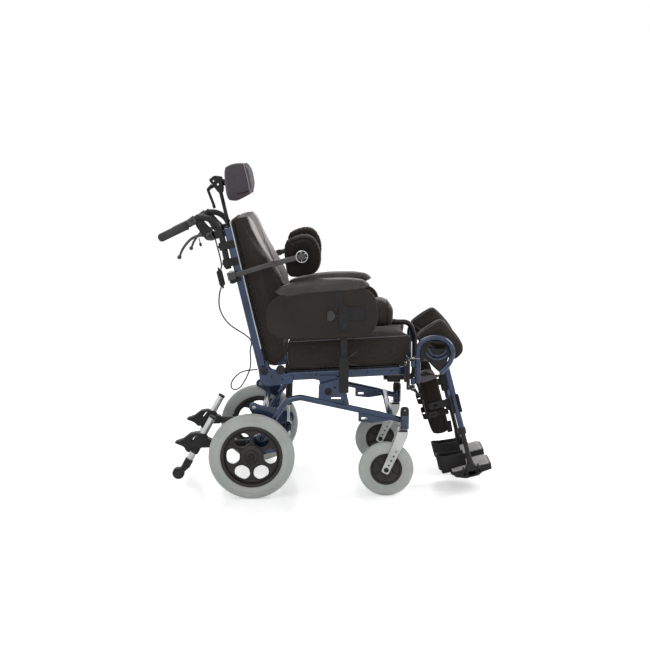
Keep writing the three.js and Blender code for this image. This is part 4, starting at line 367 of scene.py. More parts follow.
def carried(way: np.ndarray, section: np.ndarray, across: np.ndarray = Y_WAY, scale: np.ndarray | float = 1.0,
            ease: float = 0.0) -> Surface:
    """A closed section carried along a way.

    Args:
        way: the (m, 3) points it follows.
        section: the (n, 2) section; its first number lies along the across direction.
        across: the direction that the section keeps to.
        scale: one factor for each point of the way, or one for all.
        ease: how far the two ends are rounded off.

    Returns:
        The closed surface: point + side * s * section x + lift * s * section y.
    """
    ahead = np.gradient(way, axis=0)
    if ease:
        first, last = ahead[0] / np.linalg.norm(ahead[0]), ahead[-1] / np.linalg.norm(ahead[-1])
        size = np.abs(section).max()
        way = np.vstack([way[0], way[0] + first * ease * 0.3, way[0] + first * ease, way[1:-1],
                         way[-1] - last * ease, way[-1] - last * ease * 0.3, way[-1]])
        full = np.broadcast_to(np.asarray(scale, float), (len(ahead),))
        rim = np.array([1 - ease / size, 1 - 0.3 * ease / size, 1.0])
        scale = np.concatenate([full[0] * rim, full[1:-1], full[-1] * rim[::-1]])
        ahead = np.vstack([ahead[0], ahead[0], ahead[0], ahead[1:-1], ahead[-1], ahead[-1], ahead[-1]])
    ahead = ahead / np.linalg.norm(ahead, axis=1)[:, None]
    side = across - (ahead @ across)[:, None] * ahead
    side /= np.linalg.norm(side, axis=1)[:, None]
    lift = np.cross(ahead, side)
    size = np.broadcast_to(np.asarray(scale, float), (len(way),))[:, None, None]
    grid = way[:, None] + size * (side[:, None] * section[None, :, :1] + lift[:, None] * section[None, :, 1:])
    return woven(grid)


def tube(way: np.ndarray, radius: float, sides: int = 24, across: np.ndarray = Y_WAY, scale: np.ndarray | float = 1.0,
         ease: float = 1.0) -> Surface:
    """A round tube along a way, its ends eased."""
    return carried(way, circle(radius, count=sides), across, scale, ease)


def rod(start: Sequence[float], end: Sequence[float], radius: float, sides: int = 28, ease: float = 1.0) -> Surface:
    """A straight round rod between two places."""
    way = np.linspace(start, end, 3)
    ahead = np.abs(way[-1] - way[0])
    return tube(way, radius, sides, np.eye(3)[int(ahead.argmin())], ease=ease)


def turned(profile: Sequence[Sequence[float]], centre: Sequence[float] = (0, 0, 0), axis: np.ndarray = Y_WAY,
           sides: int = 64, ring: bool = False) -> Surface:
    """A profile turned round an axis.

    Args:
        profile: rows of (radius, distance along the axis).
        centre: a place on the axis.
        axis: the axis.
        sides: steps of the turn.
        ring: whether the profile closes on itself, as a tyre's does; otherwise it starts and ends at flat faces.

    Returns:
        The closed surface: centre + r (cos a, sin a) + distance along the axis.
    """
    rows = np.asarray(profile, float)
    first = np.cross(axis, Z_WAY if abs(axis[2]) < 0.9 else X_WAY)
    first /= np.linalg.norm(first)
    second = np.cross(axis, first)
    a = np.linspace(0, FULL_TURN, sides, endpoint=False)
    spoke = first[None] * np.cos(a)[:, None] + second[None] * np.sin(a)[:, None]
    grid = np.asarray(centre, float) + rows[:, None, :1] * spoke[None] + rows[:, None, 1:] * axis
    return woven(grid, wrap_u=ring)


def woven_loop(way: np.ndarray, radius: float, sides: int = 10) -> Surface:
    """A closed round cord along a loop of places.

    Args:
        way: the (m, 3) loop.
        radius: the cord's radius.
        sides: steps round it.

    Returns:
        The surface: place + radius (normal cos a + binormal sin a), the normal square to the loop's heading.
    """
    ahead = np.roll(way, -1, axis=0) - np.roll(way, 1, axis=0)
    ahead /= np.linalg.norm(ahead, axis=1)[:, None]
    out = way - way.mean(axis=0)
    out -= np.einsum("ij,ij->i", out, ahead)[:, None] * ahead
    out /= np.linalg.norm(out, axis=1)[:, None]
    side = np.cross(ahead, out)
    a = np.linspace(0, FULL_TURN, sides, endpoint=False)
    grid = way[:, None] + radius * (out[:, None] * np.cos(a)[None, :, None] + side[:, None]
                                    * np.sin(a)[None, :, None])
    return woven(grid, wrap_u=True)


def button_bolt(centre: Sequence[float], axis: np.ndarray, radius: float, height: float) -> Surface:
    """A domed bolt head with a socket: a low dome, then a narrow pit back down its middle."""
    r, h = radius, height
    rows = [[r, 0], [r, h * 0.25], [r * 0.94, h * 0.55], [r * 0.72, h * 0.9], [r * 0.5, h], [r * 0.42, h * 0.96],
            [r * 0.38, h * 0.35], [r * 0.02, h * 0.3]]
    return turned(rows, centre, axis, 24)


def hex_nut(centre: Sequence[float], axis: np.ndarray, radius: float, height: float) -> Surface:
    """A six-sided nut with a chamfered face."""
    rows = [[radius, 0], [radius, height * 0.82], [radius * 0.86, height], [radius * 0.4, height],
            [radius * 0.36, height * 0.7], [radius * 0.02, height * 0.7]]
    return turned(rows, centre, axis, 6)


def padding(form: Callable[..., np.ndarray], round_share: float, count: int = 22) -> Surface:
    """A stuffed form: a unit box's six grids, drawn towards a ball, carried to their real places.

    Args:
        form: takes the soft unit places and the box's own, each from -1 to 1, and gives places in mm.
        round_share: 0 keeps the box, 1 gives the ball.
        count: steps along each edge of a face.

    Returns:
        The closed surface.
    """
    t = np.linspace(-1, 1, count + 1)
    a, b = (g.ravel() for g in np.meshgrid(t, t, indexing="ij"))
    one = np.ones_like(a)
    faces = [(one, a, b), (-one, b, a), (a, -one, b), (b, one, a), (a, b, -one), (b, a, one)]
    unit = np.vstack([np.column_stack(f) for f in faces])
    index = np.arange((count + 1) ** 2).reshape(count + 1, count + 1)
    quad = np.stack([index[:-1, :-1], index[1:, :-1], index[1:, 1:], index[:-1, 1:]], axis=-1).reshape(-1, 4)
    quads = np.vstack([quad + k * (count + 1) ** 2 for k in range(6)])
    unique, inverse = np.unique(np.round(unit, 6), axis=0, return_inverse=True)
    u, v, w = unique.T
    ball = np.stack([u * np.sqrt(1 - (v * v + w * w) / 2 + v * v * w * w / 3),
                     v * np.sqrt(1 - (u * u + w * w) / 2 + u * u * w * w / 3),
                     w * np.sqrt(1 - (u * u + v * v) / 2 + u * u * v * v / 3)])
    soft = unique.T * (1 - round_share) + ball * round_share
    return outward(Surface(form(*soft, u, v, w), inverse.ravel()[quads].tolist()))


def pillow(outline: np.ndarray, low: float, high: float, edge: float, dome: float = 3.0, rows: int = 7,
           roll: float = 0.0) -> Surface:
    """A flat cushion: an outline with soft rims and slightly domed faces.

    Args:
        outline: the loop in the side view.
        low: one end of its thickness along Y.
        high: the other end.
        edge: the rim's radius.
        dome: how far each face swells at its middle: dome * (1 - share^2) for rings at a share of the outline.
        rows: rings of each face.
        roll: the share of the outline that the rim takes up, in place of the rim's radius, when it isn't 0.

    Returns:
        The closed surface.
    """
    middle = outline.mean(axis=0)
    plan = anticlockwise(outline)

    def rim(share: float) -> np.ndarray:
        """The outline drawn in by a share of the rim."""
        return middle + (plan - middle) * (1 - roll * share) if roll else inset(plan, edge * share)

    core = rim(1.0)
    grid = []
    for share in np.linspace(0.03, 1, rows)[:-1]:
        grid.append(at_plane(middle + (core - middle) * share, low - dome * (1 - share * share)))
    for turn in np.linspace(0, math.pi / 2, 6):
        grid.append(at_plane(rim(1 - math.sin(turn)), low + edge * (1 - math.cos(turn))))
    mirror = [np.column_stack([g[:, 0], low + high - g[:, 1], g[:, 2]]) for g in grid[::-1]]
    return woven(np.array(grid + mirror))


def mix(a: float, b: float, t: np.ndarray | float) -> np.ndarray | float:
    """The value a share t of the way from a to b."""
    return a + (b - a) * t


def smoothstep(low: float, high: float, x: np.ndarray) -> np.ndarray:
    """0 below low, 1 above high, and 3t^2 - 2t^3 between them."""
    t = np.clip((x - low) / (high - low), 0, 1)
    return t * t * (3 - 2 * t)


# Finishes.


def linear(code: str) -> tuple[float, float, float, float]:
    """An sRGB hex colour as linear red, green, blue and alpha."""
    values = np.array([int(code[i:i + 2], 16) for i in (1, 3, 5)]) / 255
    low = values / 12.92
    high = ((values + 0.055) / 1.055) ** 2.4
    return (*(float(v) for v in np.where(values <= 0.04045, low, high)), 1.0)


def node(tree: NodeTree, kind: str, inputs: dict | None = None, **attributes: object) -> Node:
    """Adds a node with its settings and links.

    Args:
        tree: the tree it goes into.
        kind: the node's type.
        inputs: for each input, by name or place, a value or the socket it is linked to.
        attributes: the node's own settings.

    Returns:
        The node.
    """
    made = tree.nodes.new(kind)
    for name, value in attributes.items():
        setattr(made, name, value)
    for name, value in (inputs or {}).items():
        if isinstance(value, NodeSocket):
            tree.links.new(value, made.inputs[name])
        else:
            made.inputs[name].default_value = value
    return made


def noise(tree: NodeTree, place: NodeSocket, scale: float, detail: float, **more: float) -> NodeSocket:
    """A cloudy pattern from 0 to 1 with a scale in lumps to a metre."""
    return node(tree, "ShaderNodeTexNoise", {"Vector": place, "Scale": scale, "Detail": detail,
                                             **more}).outputs["Fac"]


@dataclass(frozen=True)
class Finish:
    """What every finish has: its name, a slot name, which is not used, two colours that it wanders between, and its
    gloss.
    """

    name: str
    slot: str
    colour: str
    deep: str
    roughness: float
    metallic: float = 0.0
    ior: float = 1.5
    patch: float = 60.0
    specular: float = 0.5

    def paint(self, tree: NodeTree, place: NodeSocket, shader: Node) -> None:
        """Links this finish's patterns into the shader."""
        self.tint(tree, place, shader)

    def tint(self, tree: NodeTree, place: NodeSocket, shader: Node,
             share: NodeSocket | None = None) -> Node:
        """Colours the shader between the two colours by a broad noise, or by a given share.

        Args:
            tree: the material's tree.
            place: the coordinates.
            shader: the surface shader.
            share: a pattern to use in place of the noise.

        Returns:
            The colour ramp.
        """
        if share is None:
            share = noise(tree, place, 1000 / self.patch, 5.0)
        ramp = node(tree, "ShaderNodeValToRGB", {"Fac": share})
        ramp.color_ramp.elements[0].position = 0.34
        ramp.color_ramp.elements[0].color = linear(self.deep)
        ramp.color_ramp.elements[1].position = 0.68
        ramp.color_ramp.elements[1].color = linear(self.colour)
        tree.links.new(ramp.outputs["Color"], shader.inputs["Base Color"])
        return ramp

    def gloss(self, tree: NodeTree, share: NodeSocket, shader: Node, swing: float) -> None:
        """Lets the roughness wander by a swing either way with a pattern from 0 to 1."""
        swung = node(tree, "ShaderNodeMapRange", {
            "Value": share, "To Min": max(0.02, self.roughness - swing), "To Max": min(1.0, self.roughness + swing)})
        tree.links.new(swung.outputs["Result"], shader.inputs["Roughness"])

    def relief(self, tree: NodeTree, height: NodeSocket, shader: Node, depth: float,
               strength: float = 1.0, under: Node | None = None) -> Node:
        """Raises the surface by a pattern, depth in mm, over an earlier relief."""
        inputs = {"Height": height, "Distance": depth * MM, "Strength": strength}
        if under is not None:
            inputs["Normal"] = under.outputs["Normal"]
        bump = node(tree, "ShaderNodeBump", inputs)
        tree.links.new(bump.outputs["Normal"], shader.inputs["Normal"])
        return bump

    def material(self) -> Material:
        """The material, made once and kept by its name."""
        found = bpy.data.materials.get(self.name)
        if found:
            return found
        made = bpy.data.materials.new(self.name)
        made.use_nodes = True
        tree = made.node_tree
        shader = tree.nodes["Principled BSDF"]
        settings = {"Base Color": linear(self.colour), "Metallic": self.metallic, "Roughness": self.roughness,
                    "IOR": self.ior, "Specular IOR Level": self.specular}
        for name, value in settings.items():
            shader.inputs[name].default_value = value
        place = node(tree, "ShaderNodeTexCoord").outputs["Object"]
        self.paint(tree, place, shader)
        made.diffuse_color = linear(self.colour)
        return made


@dataclass(frozen=True)
class PowderCoat(Finish):
    """Steel with baked powder paint: a faint orange peel, metal flake under a clear coat, a few dull scuffs."""

    coat: float = 0.6
    peel: float = 2.4

    def paint(self, tree: NodeTree, place: NodeSocket, shader: Node) -> None:
        """Flake in the colour, scuffs in the gloss, orange peel in the relief."""
        flake = noise(tree, place, 900.0, 2.0)
        cloud = noise(tree, place, 1000 / self.patch, 4.0)
        share = node(tree, "ShaderNodeMix", {0: 0.35, 2: cloud, 3: flake})
        self.tint(tree, place, shader, share.outputs[0])
        self.gloss(tree, cloud, shader, 0.08)
        peel = noise(tree, place, 1000 / self.peel, 1.0)
        self.relief(tree, peel, shader, 0.12, 0.5)
        shader.inputs["Coat Weight"].default_value = self.coat
        shader.inputs["Coat Roughness"].default_value = 0.12


@dataclass(frozen=True)
class DrawnMetal(Finish):
    """Bare metal with the fine lines its drawing or brushing left along one axis, under a satin anodising."""

    along: tuple[float, float, float] = (1.0, 1.0, 0.06)
    lines: float = 1.0

    def paint(self, tree: NodeTree, place: NodeSocket, shader: Node) -> None:
        """Lines stretched along one axis in gloss and relief, broad smudges in the colour."""
        run = node(tree, "ShaderNodeMapping", {"Vector": place, "Scale": self.along})
        streak = noise(tree, run.outputs["Vector"], 1000 / self.lines, 3.0)
        self.tint(tree, place, shader)
        self.gloss(tree, streak, shader, 0.12)
        self.relief(tree, streak, shader, 0.05, 0.5)
        shader.inputs["Anisotropic"].default_value = 0.35


@dataclass(frozen=True)
class MouldedPlastic(Finish):
    """Injection moulded plastic: a spark-eroded grain that scatters highlights, its gloss wandering a little."""

    grain: float = 1.4
    depth: float = 0.12

    def paint(self, tree: NodeTree, place: NodeSocket, shader: Node) -> None:
        """Small cells raised as grain, and a broad noise in colour and gloss."""
        cells = node(tree, "ShaderNodeTexVoronoi", {"Vector": place, "Scale": 1000 / self.grain})
        cloud = noise(tree, place, 1000 / self.patch, 4.0)
        self.tint(tree, place, shader, cloud)
        self.gloss(tree, cloud, shader, 0.1)
        self.relief(tree, cells.outputs["Distance"], shader, self.depth, 0.6)


@dataclass(frozen=True)
class CastTyre(Finish):
    """Cast grey polyurethane: dull and speckled with dust."""

    def paint(self, tree: NodeTree, place: NodeSocket, shader: Node) -> None:
        """Fine dust specks over broad patches, and a faint cast skin."""
        dust = noise(tree, place, 420.0, 6.0, Roughness=0.7)
        cloud = noise(tree, place, 1000 / self.patch, 5.0)
        share = node(tree, "ShaderNodeMix", {0: 0.4, 2: cloud, 3: dust})
        self.tint(tree, place, shader, share.outputs[0])
        self.gloss(tree, dust, shader, 0.1)
        self.relief(tree, dust, shader, 0.15, 0.5)


@dataclass(frozen=True)
class KnittedMesh(Finish):
    """Spacer knit over foam: rows of small eyelets that read as a soft, dull grain with a pale sheen at the edges.

    The eyelets of such a cloth are 2 to 3 mm apart and are drawn at the pitch given.
    """

    pitch: float = 3.0
    eyelet: float = 0.5
    sheen: float = 0.6
    crease: float = 46.0
    # The pale grey that painted sheen and painted light on lit faces mix the cloth's colour towards.
    worn: str = "#C6BFBF"

    def paint(self, tree: NodeTree, place: NodeSocket, shader: Node) -> None:
        """Eyelets are painted darker, as painted shade in the holes, and sink; stitches between them lift, broad
        creases wander under both.
        """
        cells = node(tree, "ShaderNodeTexVoronoi", {"Vector": place, "Scale": 1000 / self.pitch, "Randomness": 0.25})
        eyes = node(tree, "ShaderNodeMapRange", {"Value": cells.outputs["Distance"], "From Min": 0.12,
                                                 "From Max": self.eyelet})
        cloud = noise(tree, place, 1000 / self.patch, 6.0)
        # The eyelets' darker colour is painted shade in the holes.
        share = node(tree, "ShaderNodeMix", {0: 0.5, 2: cloud, 3: eyes.outputs["Result"]})
        ramp = self.tint(tree, place, shader, share.outputs[0])
        # The 'pale' attribute mixes the colour towards that grey: painted sheen and painted light where faces turn to
        # the lamps.
        pale = node(tree, "ShaderNodeAttribute", attribute_name="pale")
        skin = node(tree, "ShaderNodeMix", {0: pale.outputs["Fac"], 6: ramp.outputs["Color"], 7: linear(self.worn)},
                    data_type="RGBA")
        tree.links.new(skin.outputs[2], shader.inputs["Base Color"])
        creases = noise(tree, place, 1000 / self.crease, 3.0, Distortion=0.6)
        folds = self.relief(tree, creases, shader, 3.0, 0.5)
        self.relief(tree, eyes.outputs["Result"], shader, 0.35, 0.7, folds)
        self.gloss(tree, cloud, shader, 0.05)
        shader.inputs["Sheen Weight"].default_value = self.sheen
        shader.inputs["Sheen Roughness"].default_value = 0.3
        shader.inputs["Sheen Tint"].default_value = linear("#D8D0CE")


@dataclass(frozen=True)
class SkinnedFoam(Finish):
    """Foam with its own moulded skin: a pebbled, leather-like grain with a satin gloss."""

    pebble: float = 2.2

    def paint(self, tree: NodeTree, place: NodeSocket, shader: Node) -> None:
        """Pebbles with sunk borders, and a gloss that wanders a little."""
        cells = node(tree, "ShaderNodeTexVoronoi", {"Vector": place, "Scale": 1000 / self.pebble},
                     feature="DISTANCE_TO_EDGE")
        rise = node(tree, "ShaderNodeMapRange", {"Value": cells.outputs["Distance"], "From Max": 0.22})
        cloud = noise(tree, place, 1000 / self.patch, 5.0)
        self.tint(tree, place, shader, cloud)
        self.gloss(tree, cloud, shader, 0.12)
        self.relief(tree, rise.outputs["Result"], shader, 0.18, 0.6)


@dataclass(frozen=True)
class Webbing(Finish):
    """Woven nylon tape: ribs across its run that catch the light in fine lines."""

    rib: float = 2.0
    along: tuple[float, float, float] = (1.0, 1.0, 1.0)

    def paint(self, tree: NodeTree, place: NodeSocket, shader: Node) -> None:
        """Ribs as waves along the tape, broken up a little."""
        run = node(tree, "ShaderNodeMapping", {"Vector": place, "Scale": self.along})
        ribs = node(tree, "ShaderNodeTexWave", {
            "Vector": run.outputs["Vector"], "Scale": 1000 / self.rib / (2 * math.pi), "Distortion": 0.4},
                    bands_direction="Z")
        self.tint(tree, place, shader, ribs.outputs["Fac"])
        self.relief(tree, ribs.outputs["Fac"], shader, 0.3, 0.6)


# Mild steel tube, powder coated in metallic navy: deep blue with pale glints along the tubes.
NAVY_STEEL = PowderCoat("powder_coated_navy_steel", "frame_blue", "#2D4569", "#18273F", 0.27, 0.55, coat=0.8)
# Mild steel, powder coated black: brackets and posts, a dull satin.
BLACK_STEEL = PowderCoat("powder_coated_black_steel", "black_metal", "#262426", "#171618", 0.46, 0.1, coat=0.15,
                         specular=0.3)
# Flat aluminium bar and tube, satin anodised: pale, softly streaked.
SATIN_ALUMINIUM = DrawnMetal("satin_anodised_aluminium", "bare_aluminium", "#D4D6D4", "#B4B7B5", 0.34, 1.0,
                             patch=80.0)
# Steel rod, chromed: the bright lines of the struts and pins.
CHROMED_STEEL = DrawnMetal("chromed_steel", "polished_rod", "#DCDCDA", "#C4C5C6", 0.14, 1.0, along=(1.0, 1.0, 0.3))
# Zinc plated steel: bolts and nuts, slightly yellow and dull.
ZINC_STEEL = DrawnMetal("zinc_plated_steel", "polished_rod", "#B4B3AF", "#85847F", 0.32, 1.0, patch=12.0,
                        along=(1.0, 1.0, 1.0))
# Steel, black oxide: most of the bolts, hardly brighter than what they hold.
DARK_BOLT = DrawnMetal("black_oxide_steel", "black_metal", "#4A494A", "#2B2A2C", 0.4, 0.8, patch=12.0,
                       along=(1.0, 1.0, 1.0))
# Zinc die casting, tumbled: handle clamps, mid grey.
CAST_GREY = DrawnMetal("tumbled_zinc_casting", "black_plastic", "#605F60", "#403F42", 0.42, 0.9, patch=18.0,
                       along=(1.0, 1.0, 1.0))
# Aluminium alloy, painted dark grey: hand levers and the trunk supports' arms.
GREY_ALLOY = PowderCoat("painted_grey_alloy", "black_metal", "#5C5A5A", "#403E3F", 0.36, 0.4, coat=0.2, specular=0.4)
# Cast polyurethane tyre, light grey.
GREY_TYRE = CastTyre("cast_grey_polyurethane", "tyre_grey", "#BEC2BE", "#A6AAA7", 0.78, ior=1.48, patch=70.0)
# Glass filled nylon, moulded: wheel centres and rollers, warm black.
RIM_NYLON = MouldedPlastic("moulded_black_nylon", "rim_black", "#2D2A26", "#1C1A17", 0.42, ior=1.53, specular=0.4)
# ABS, moulded with a fine grain: housings, clamps, pedals.
BLACK_ABS = MouldedPlastic("moulded_black_abs", "black_plastic", "#252324", "#161516", 0.5, ior=1.53, specular=0.3)
# ABS sheet, pressed: side panels, slightly brown and dull.
PANEL_ABS = MouldedPlastic("grained_panel_abs", "black_plastic", "#342E2A", "#29241F", 0.58, ior=1.53, patch=120.0,
                           specular=0.2, grain=2.2)
# Styrene rubber, moulded: hand grips and the armrests' knobs.
GRIP_RUBBER = MouldedPlastic("moulded_grip_rubber", "black_plastic", "#403E3E", "#2C2A2B", 0.6, ior=1.52,
                             specular=0.4, grain=1.8)
# Polyester spacer knit over foam: seat, back, pommel and knee pads.
SPACER_KNIT = KnittedMesh("black_polyester_spacer_knit", "fabric_black", "#3B3633", "#28241F", 0.92, ior=1.45,
                          specular=0.15)
# Brushed knit, nearly black: trunk and calf pads.
DARK_KNIT = KnittedMesh("brushed_black_knit", "fabric_black", "#272320", "#161412", 0.95, ior=1.45, specular=0.12,
                        sheen=0.55)
# Coated stretch knit over foam: the headrest, smoother and a touch violet.
STRETCH_KNIT = KnittedMesh("coated_stretch_knit", "soft_grey", "#554F54", "#3B363B", 0.78, ior=1.45, specular=0.25,
                           pitch=1.8, sheen=0.4, crease=70.0)
# Self-skinned polyurethane foam: arm pads.
ARM_SKIN = SkinnedFoam("self_skinned_polyurethane", "soft_grey", "#47423F", "#322E2B", 0.46, ior=1.5, patch=90.0,
                       specular=0.4)
# Polyester binding tape: piping along the seams, paler than the cloth.
PIPING = Webbing("polyester_piping", "soft_grey", "#6E6A6B", "#4C484A", 0.8, rib=1.6)
# Woven polyester piping, pale grey: round the headrest's front.
PALE_PIPING = Webbing("polyester_piping_pale", "soft_grey", "#A39D9D", "#7E7879", 0.8, rib=1.6)
# Nylon webbing: straps of the calf pads, and the dark cords of pommel and headrest.
STRAP = Webbing("woven_nylon_strap", "fabric_black", "#272423", "#161413", 0.75, specular=0.2, rib=2.2)
# Polypropylene footplate, grey, with a pebbled anti-slip top.
FOOT_GREY = SkinnedFoam("pebbled_grey_polypropylene", "footplate_grey", "#B2B0AF", "#969493", 0.62, pebble=4.0)
# PVC sheath of the release cable.
CABLE_PVC = MouldedPlastic("extruded_pvc_sheath", "black_plastic", "#2B2B2C", "#1E1E1F", 0.4, grain=1.0, depth=0.04)


def make_object(name: str, surface: Surface, crease: float = 38.0) -> Object:
    """A surface as a mesh object at the origin, in metres, smooth but for edges sharper than the crease angle.

    Args:
        name: the piece's name.
        surface: its points and faces.
        crease: the angle in degrees.

    Returns:
        The object, in the scene.
    """
    mesh = bpy.data.meshes.new(name)
    mesh.from_pydata((surface.points * MM + AXLE).tolist(), [], surface.faces)
    mesh.update()
    mesh.shade_smooth()
    mesh.set_sharp_from_angle(angle=math.radians(crease))
    made = bpy.data.objects.new(name, mesh)
    bpy.context.scene.collection.objects.link(made)
    return made


class Assembly:
    """A sub-assembly: turns surfaces into finished pieces that ride on a body."""

    def add(self, name: str, surface: Surface, body: str, finish: Finish, nodes: Sequence[str] = (),
            crease: float = 38.0) -> Object:
        """Makes a piece, dresses it and lets it ride.

        Args:
            name: the piece's name.
            surface: its surface.
            body: the body it rides on.
            finish: its finish.
            nodes: the CAD nodes it stands for.
            crease: the angle past which an edge stays sharp.

        Returns:
            The piece.
        """
        made = make_object(name, surface, crease)
        return self.dress(made, body, finish, nodes)

    def add_rows(self, side: Side, stand: Stand, rows: Sequence[tuple]) -> None:
        """Makes one side's pieces.

        Args:
            side: the side.
            stand: the frame that the surfaces are drawn on, for the right side.
            rows: name, surface, body, finish and CAD nodes of each, with a star in place of the side's word.
        """
        for name, surface, body, finish, *nodes in rows:
            name, body, *nodes = (word.replace("*", side.label) for word in (name, body, *nodes))
            self.add(name, surface.on(stand).to_side(side), body, finish, nodes)

    def dress(self, made: Object, body: str, finish: Finish, nodes: Sequence[str] = ()) -> Object:
        """Gives an object its finish, body and nodes, and reports it."""
        made.data.materials.clear()
        made.data.materials.append(finish.material())
        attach(made, body)
        if nodes:
            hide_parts(*nodes)
        log.info("%s: %d points, on %s", made.name, len(made.data.vertices), body)
        return made


def points_of(made: Object) -> np.ndarray:
    """A mesh object's points as an (n, 3) array in metres."""
    flat = np.empty(len(made.data.vertices) * 3, np.float32)
    made.data.vertices.foreach_get("co", flat)
    return flat.reshape(-1, 3).astype(float)


def normals_of(made: Object) -> np.ndarray:
    """A mesh object's point normals as an (n, 3) array."""
    flat = np.empty(len(made.data.vertices) * 3, np.float32)
    made.data.vertex_normals.foreach_get("vector", flat)
    return flat.reshape(-1, 3).astype(float)


def set_points(made: Object, points: np.ndarray) -> None:
    """Writes an (n, 3) array in metres into a mesh object."""
    made.data.vertices.foreach_set("co", points.astype(np.float32).ravel())
    made.data.update()


def places_of(made: Object) -> np.ndarray:
    """A mesh object's points in mm from the floor under the rear axle."""
    return (points_of(made) - AXLE) / MM


def set_places(made: Object, places: np.ndarray) -> None:
    """Writes places in mm from the floor under the rear axle into a mesh object."""
    set_points(made, places * MM + AXLE)


def swap_side(made: Object, side: Side) -> None:
    """Carries a piece made for the right over to its side."""
    if side is Side.LEFT:
        set_points(made, points_of(made) * np.array([1, -1, 1]))
        made.data.flip_normals()


def apply_modifiers(made: Object) -> None:
    """Replaces an object's mesh by what its modifiers make of it, and clears them."""
    graph = bpy.context.evaluated_depsgraph_get()
    fresh = bpy.data.meshes.new_from_object(made.evaluated_get(graph))
    made.modifiers.clear()
    made.data = fresh


@dataclass
class Upholstery:
    """How a stuffed piece is puffed: its remesh's voxel, the pressure, and the cap on each point's move."""

    voxel: float = 5.0
    pressure: float = 4.0
    cap: float = 10.0
    frames: int = 20

    def stuffed(self, name: str, surface: Surface) -> Object:
        """Makes a piece, remeshes it, blows it up as cloth, caps each point's move and smooths it.

        Args:
            name: the piece's name.
            surface: its closed surface.

        Returns:
            The piece.
        """
        made = make_object(name, surface)
        remesh = made.modifiers.new("voxels", "REMESH")
        remesh.mode = "VOXEL"
        remesh.voxel_size = self.voxel * MM
        apply_modifiers(made)
        rest = points_of(made)
        cloth = made.modifiers.new("stuffing", "CLOTH")
        cloth.settings.use_pressure = True
        cloth.settings.uniform_pressure_force = self.pressure
        cloth.settings.effector_weights.gravity = 0.0
        cloth.settings.quality = 5
        cloth.point_cache.frame_start = 1
        cloth.point_cache.frame_end = self.frames
        for step in range(1, self.frames + 1):
            bpy.context.scene.frame_set(step)
        graph = bpy.context.evaluated_depsgraph_get()
        flat = np.empty(len(rest) * 3, np.float32)
        made.evaluated_get(graph).data.vertices.foreach_get("co", flat)
        made.modifiers.clear()
        bpy.context.scene.frame_set(1)
        move = flat.reshape(-1, 3) - rest
        length = np.linalg.norm(move, axis=1)[:, None]
        cap = self.cap * MM
        set_points(made, rest + move * (cap * np.tanh(length / cap) / np.maximum(length, 1e-9)))
        made.data.shade_smooth()
        return made


def channel(made: Object, distance: np.ndarray, width: float, depth: float) -> None:
    """Sinks a sewn channel into a piece.

    Args:
        made: the piece.
        distance: each point's distance from the seam, in mm.
        width: the channel's half width in mm.
        depth: how far it sinks at the seam, in mm: depth * exp(-(distance / width)^2) against the normal.
    """
    sink = depth * MM * np.exp(-((distance / width) ** 2))
    set_points(made, points_of(made) - normals_of(made) * sink[:, None])


def on_skin(made: Object, origins: np.ndarray, ways: np.ndarray, lift: float = 0.0) -> np.ndarray:
    """Where rays from outside meet a piece's skin, in mm from the rear axle.

    Args:
        made: the piece.
        origins: (n, 3) ray starts, in mm.
        ways: (n, 3) ray directions.
        lift: how far back along the ray the place is moved.

    Returns:
        The places hit, in order; rays that miss are left out.
    """
    mesh = made.data
    tree = BVHTree.FromPolygons([v.co for v in mesh.vertices], [list(p.vertices) for p in mesh.polygons])
    found = []
    for origin, way in zip(origins * MM + AXLE, ways):
        hit = tree.ray_cast(Vector(origin), Vector(way))[0]
        if hit is not None:
            found.append((np.array(hit) - AXLE) / MM - way / np.linalg.norm(way) * lift)
    return np.array(found)


def seam_places(made: Object, places: np.ndarray, hearts: np.ndarray, lift: float) -> np.ndarray:
    """Where a seam drawn inside a piece shows on its skin: rays come back along heart to place."""
    ways = places - hearts
    return on_skin(made, hearts + ways * 3.0, -ways, lift)


def near_way(points: np.ndarray, way: np.ndarray) -> np.ndarray:
    """Distance of each point from the nearest place of a way."""
    best = np.full(len(points), FAR)
    for place in way:
        best = np.minimum(best, np.linalg.norm(points - place, axis=1))
    return best


def sewn(made: Object, places: np.ndarray, hearts: np.ndarray, lift: float, width: float, depth: float) -> np.ndarray:
    """Sews a seam: sinks a channel where it shows on a piece's skin.

    Args:
        made: the piece.
        places: the seam as drawn, in mm.
        hearts: for each of its places, the place inside that it is seen from.
        lift: how far above the skin the found places lie.
        width: the channel's half width.
        depth: how far it sinks.

    Returns:
        The seam's places on the skin as it was before.
    """
    found = seam_places(made, places, hearts, lift)
    channel(made, near_way(places_of(made), found), width, depth)
    return found


def pale_skin(made: Object, share: np.ndarray) -> None:
    """Paints light on the cloth: marks how far each point is drawn towards the knit's painted light colour, from 0 to
    1, as the attribute that the knit reads.
    """
    made.data.attributes.new("pale", "FLOAT", "POINT").data.foreach_set("value", share.astype(np.float32))


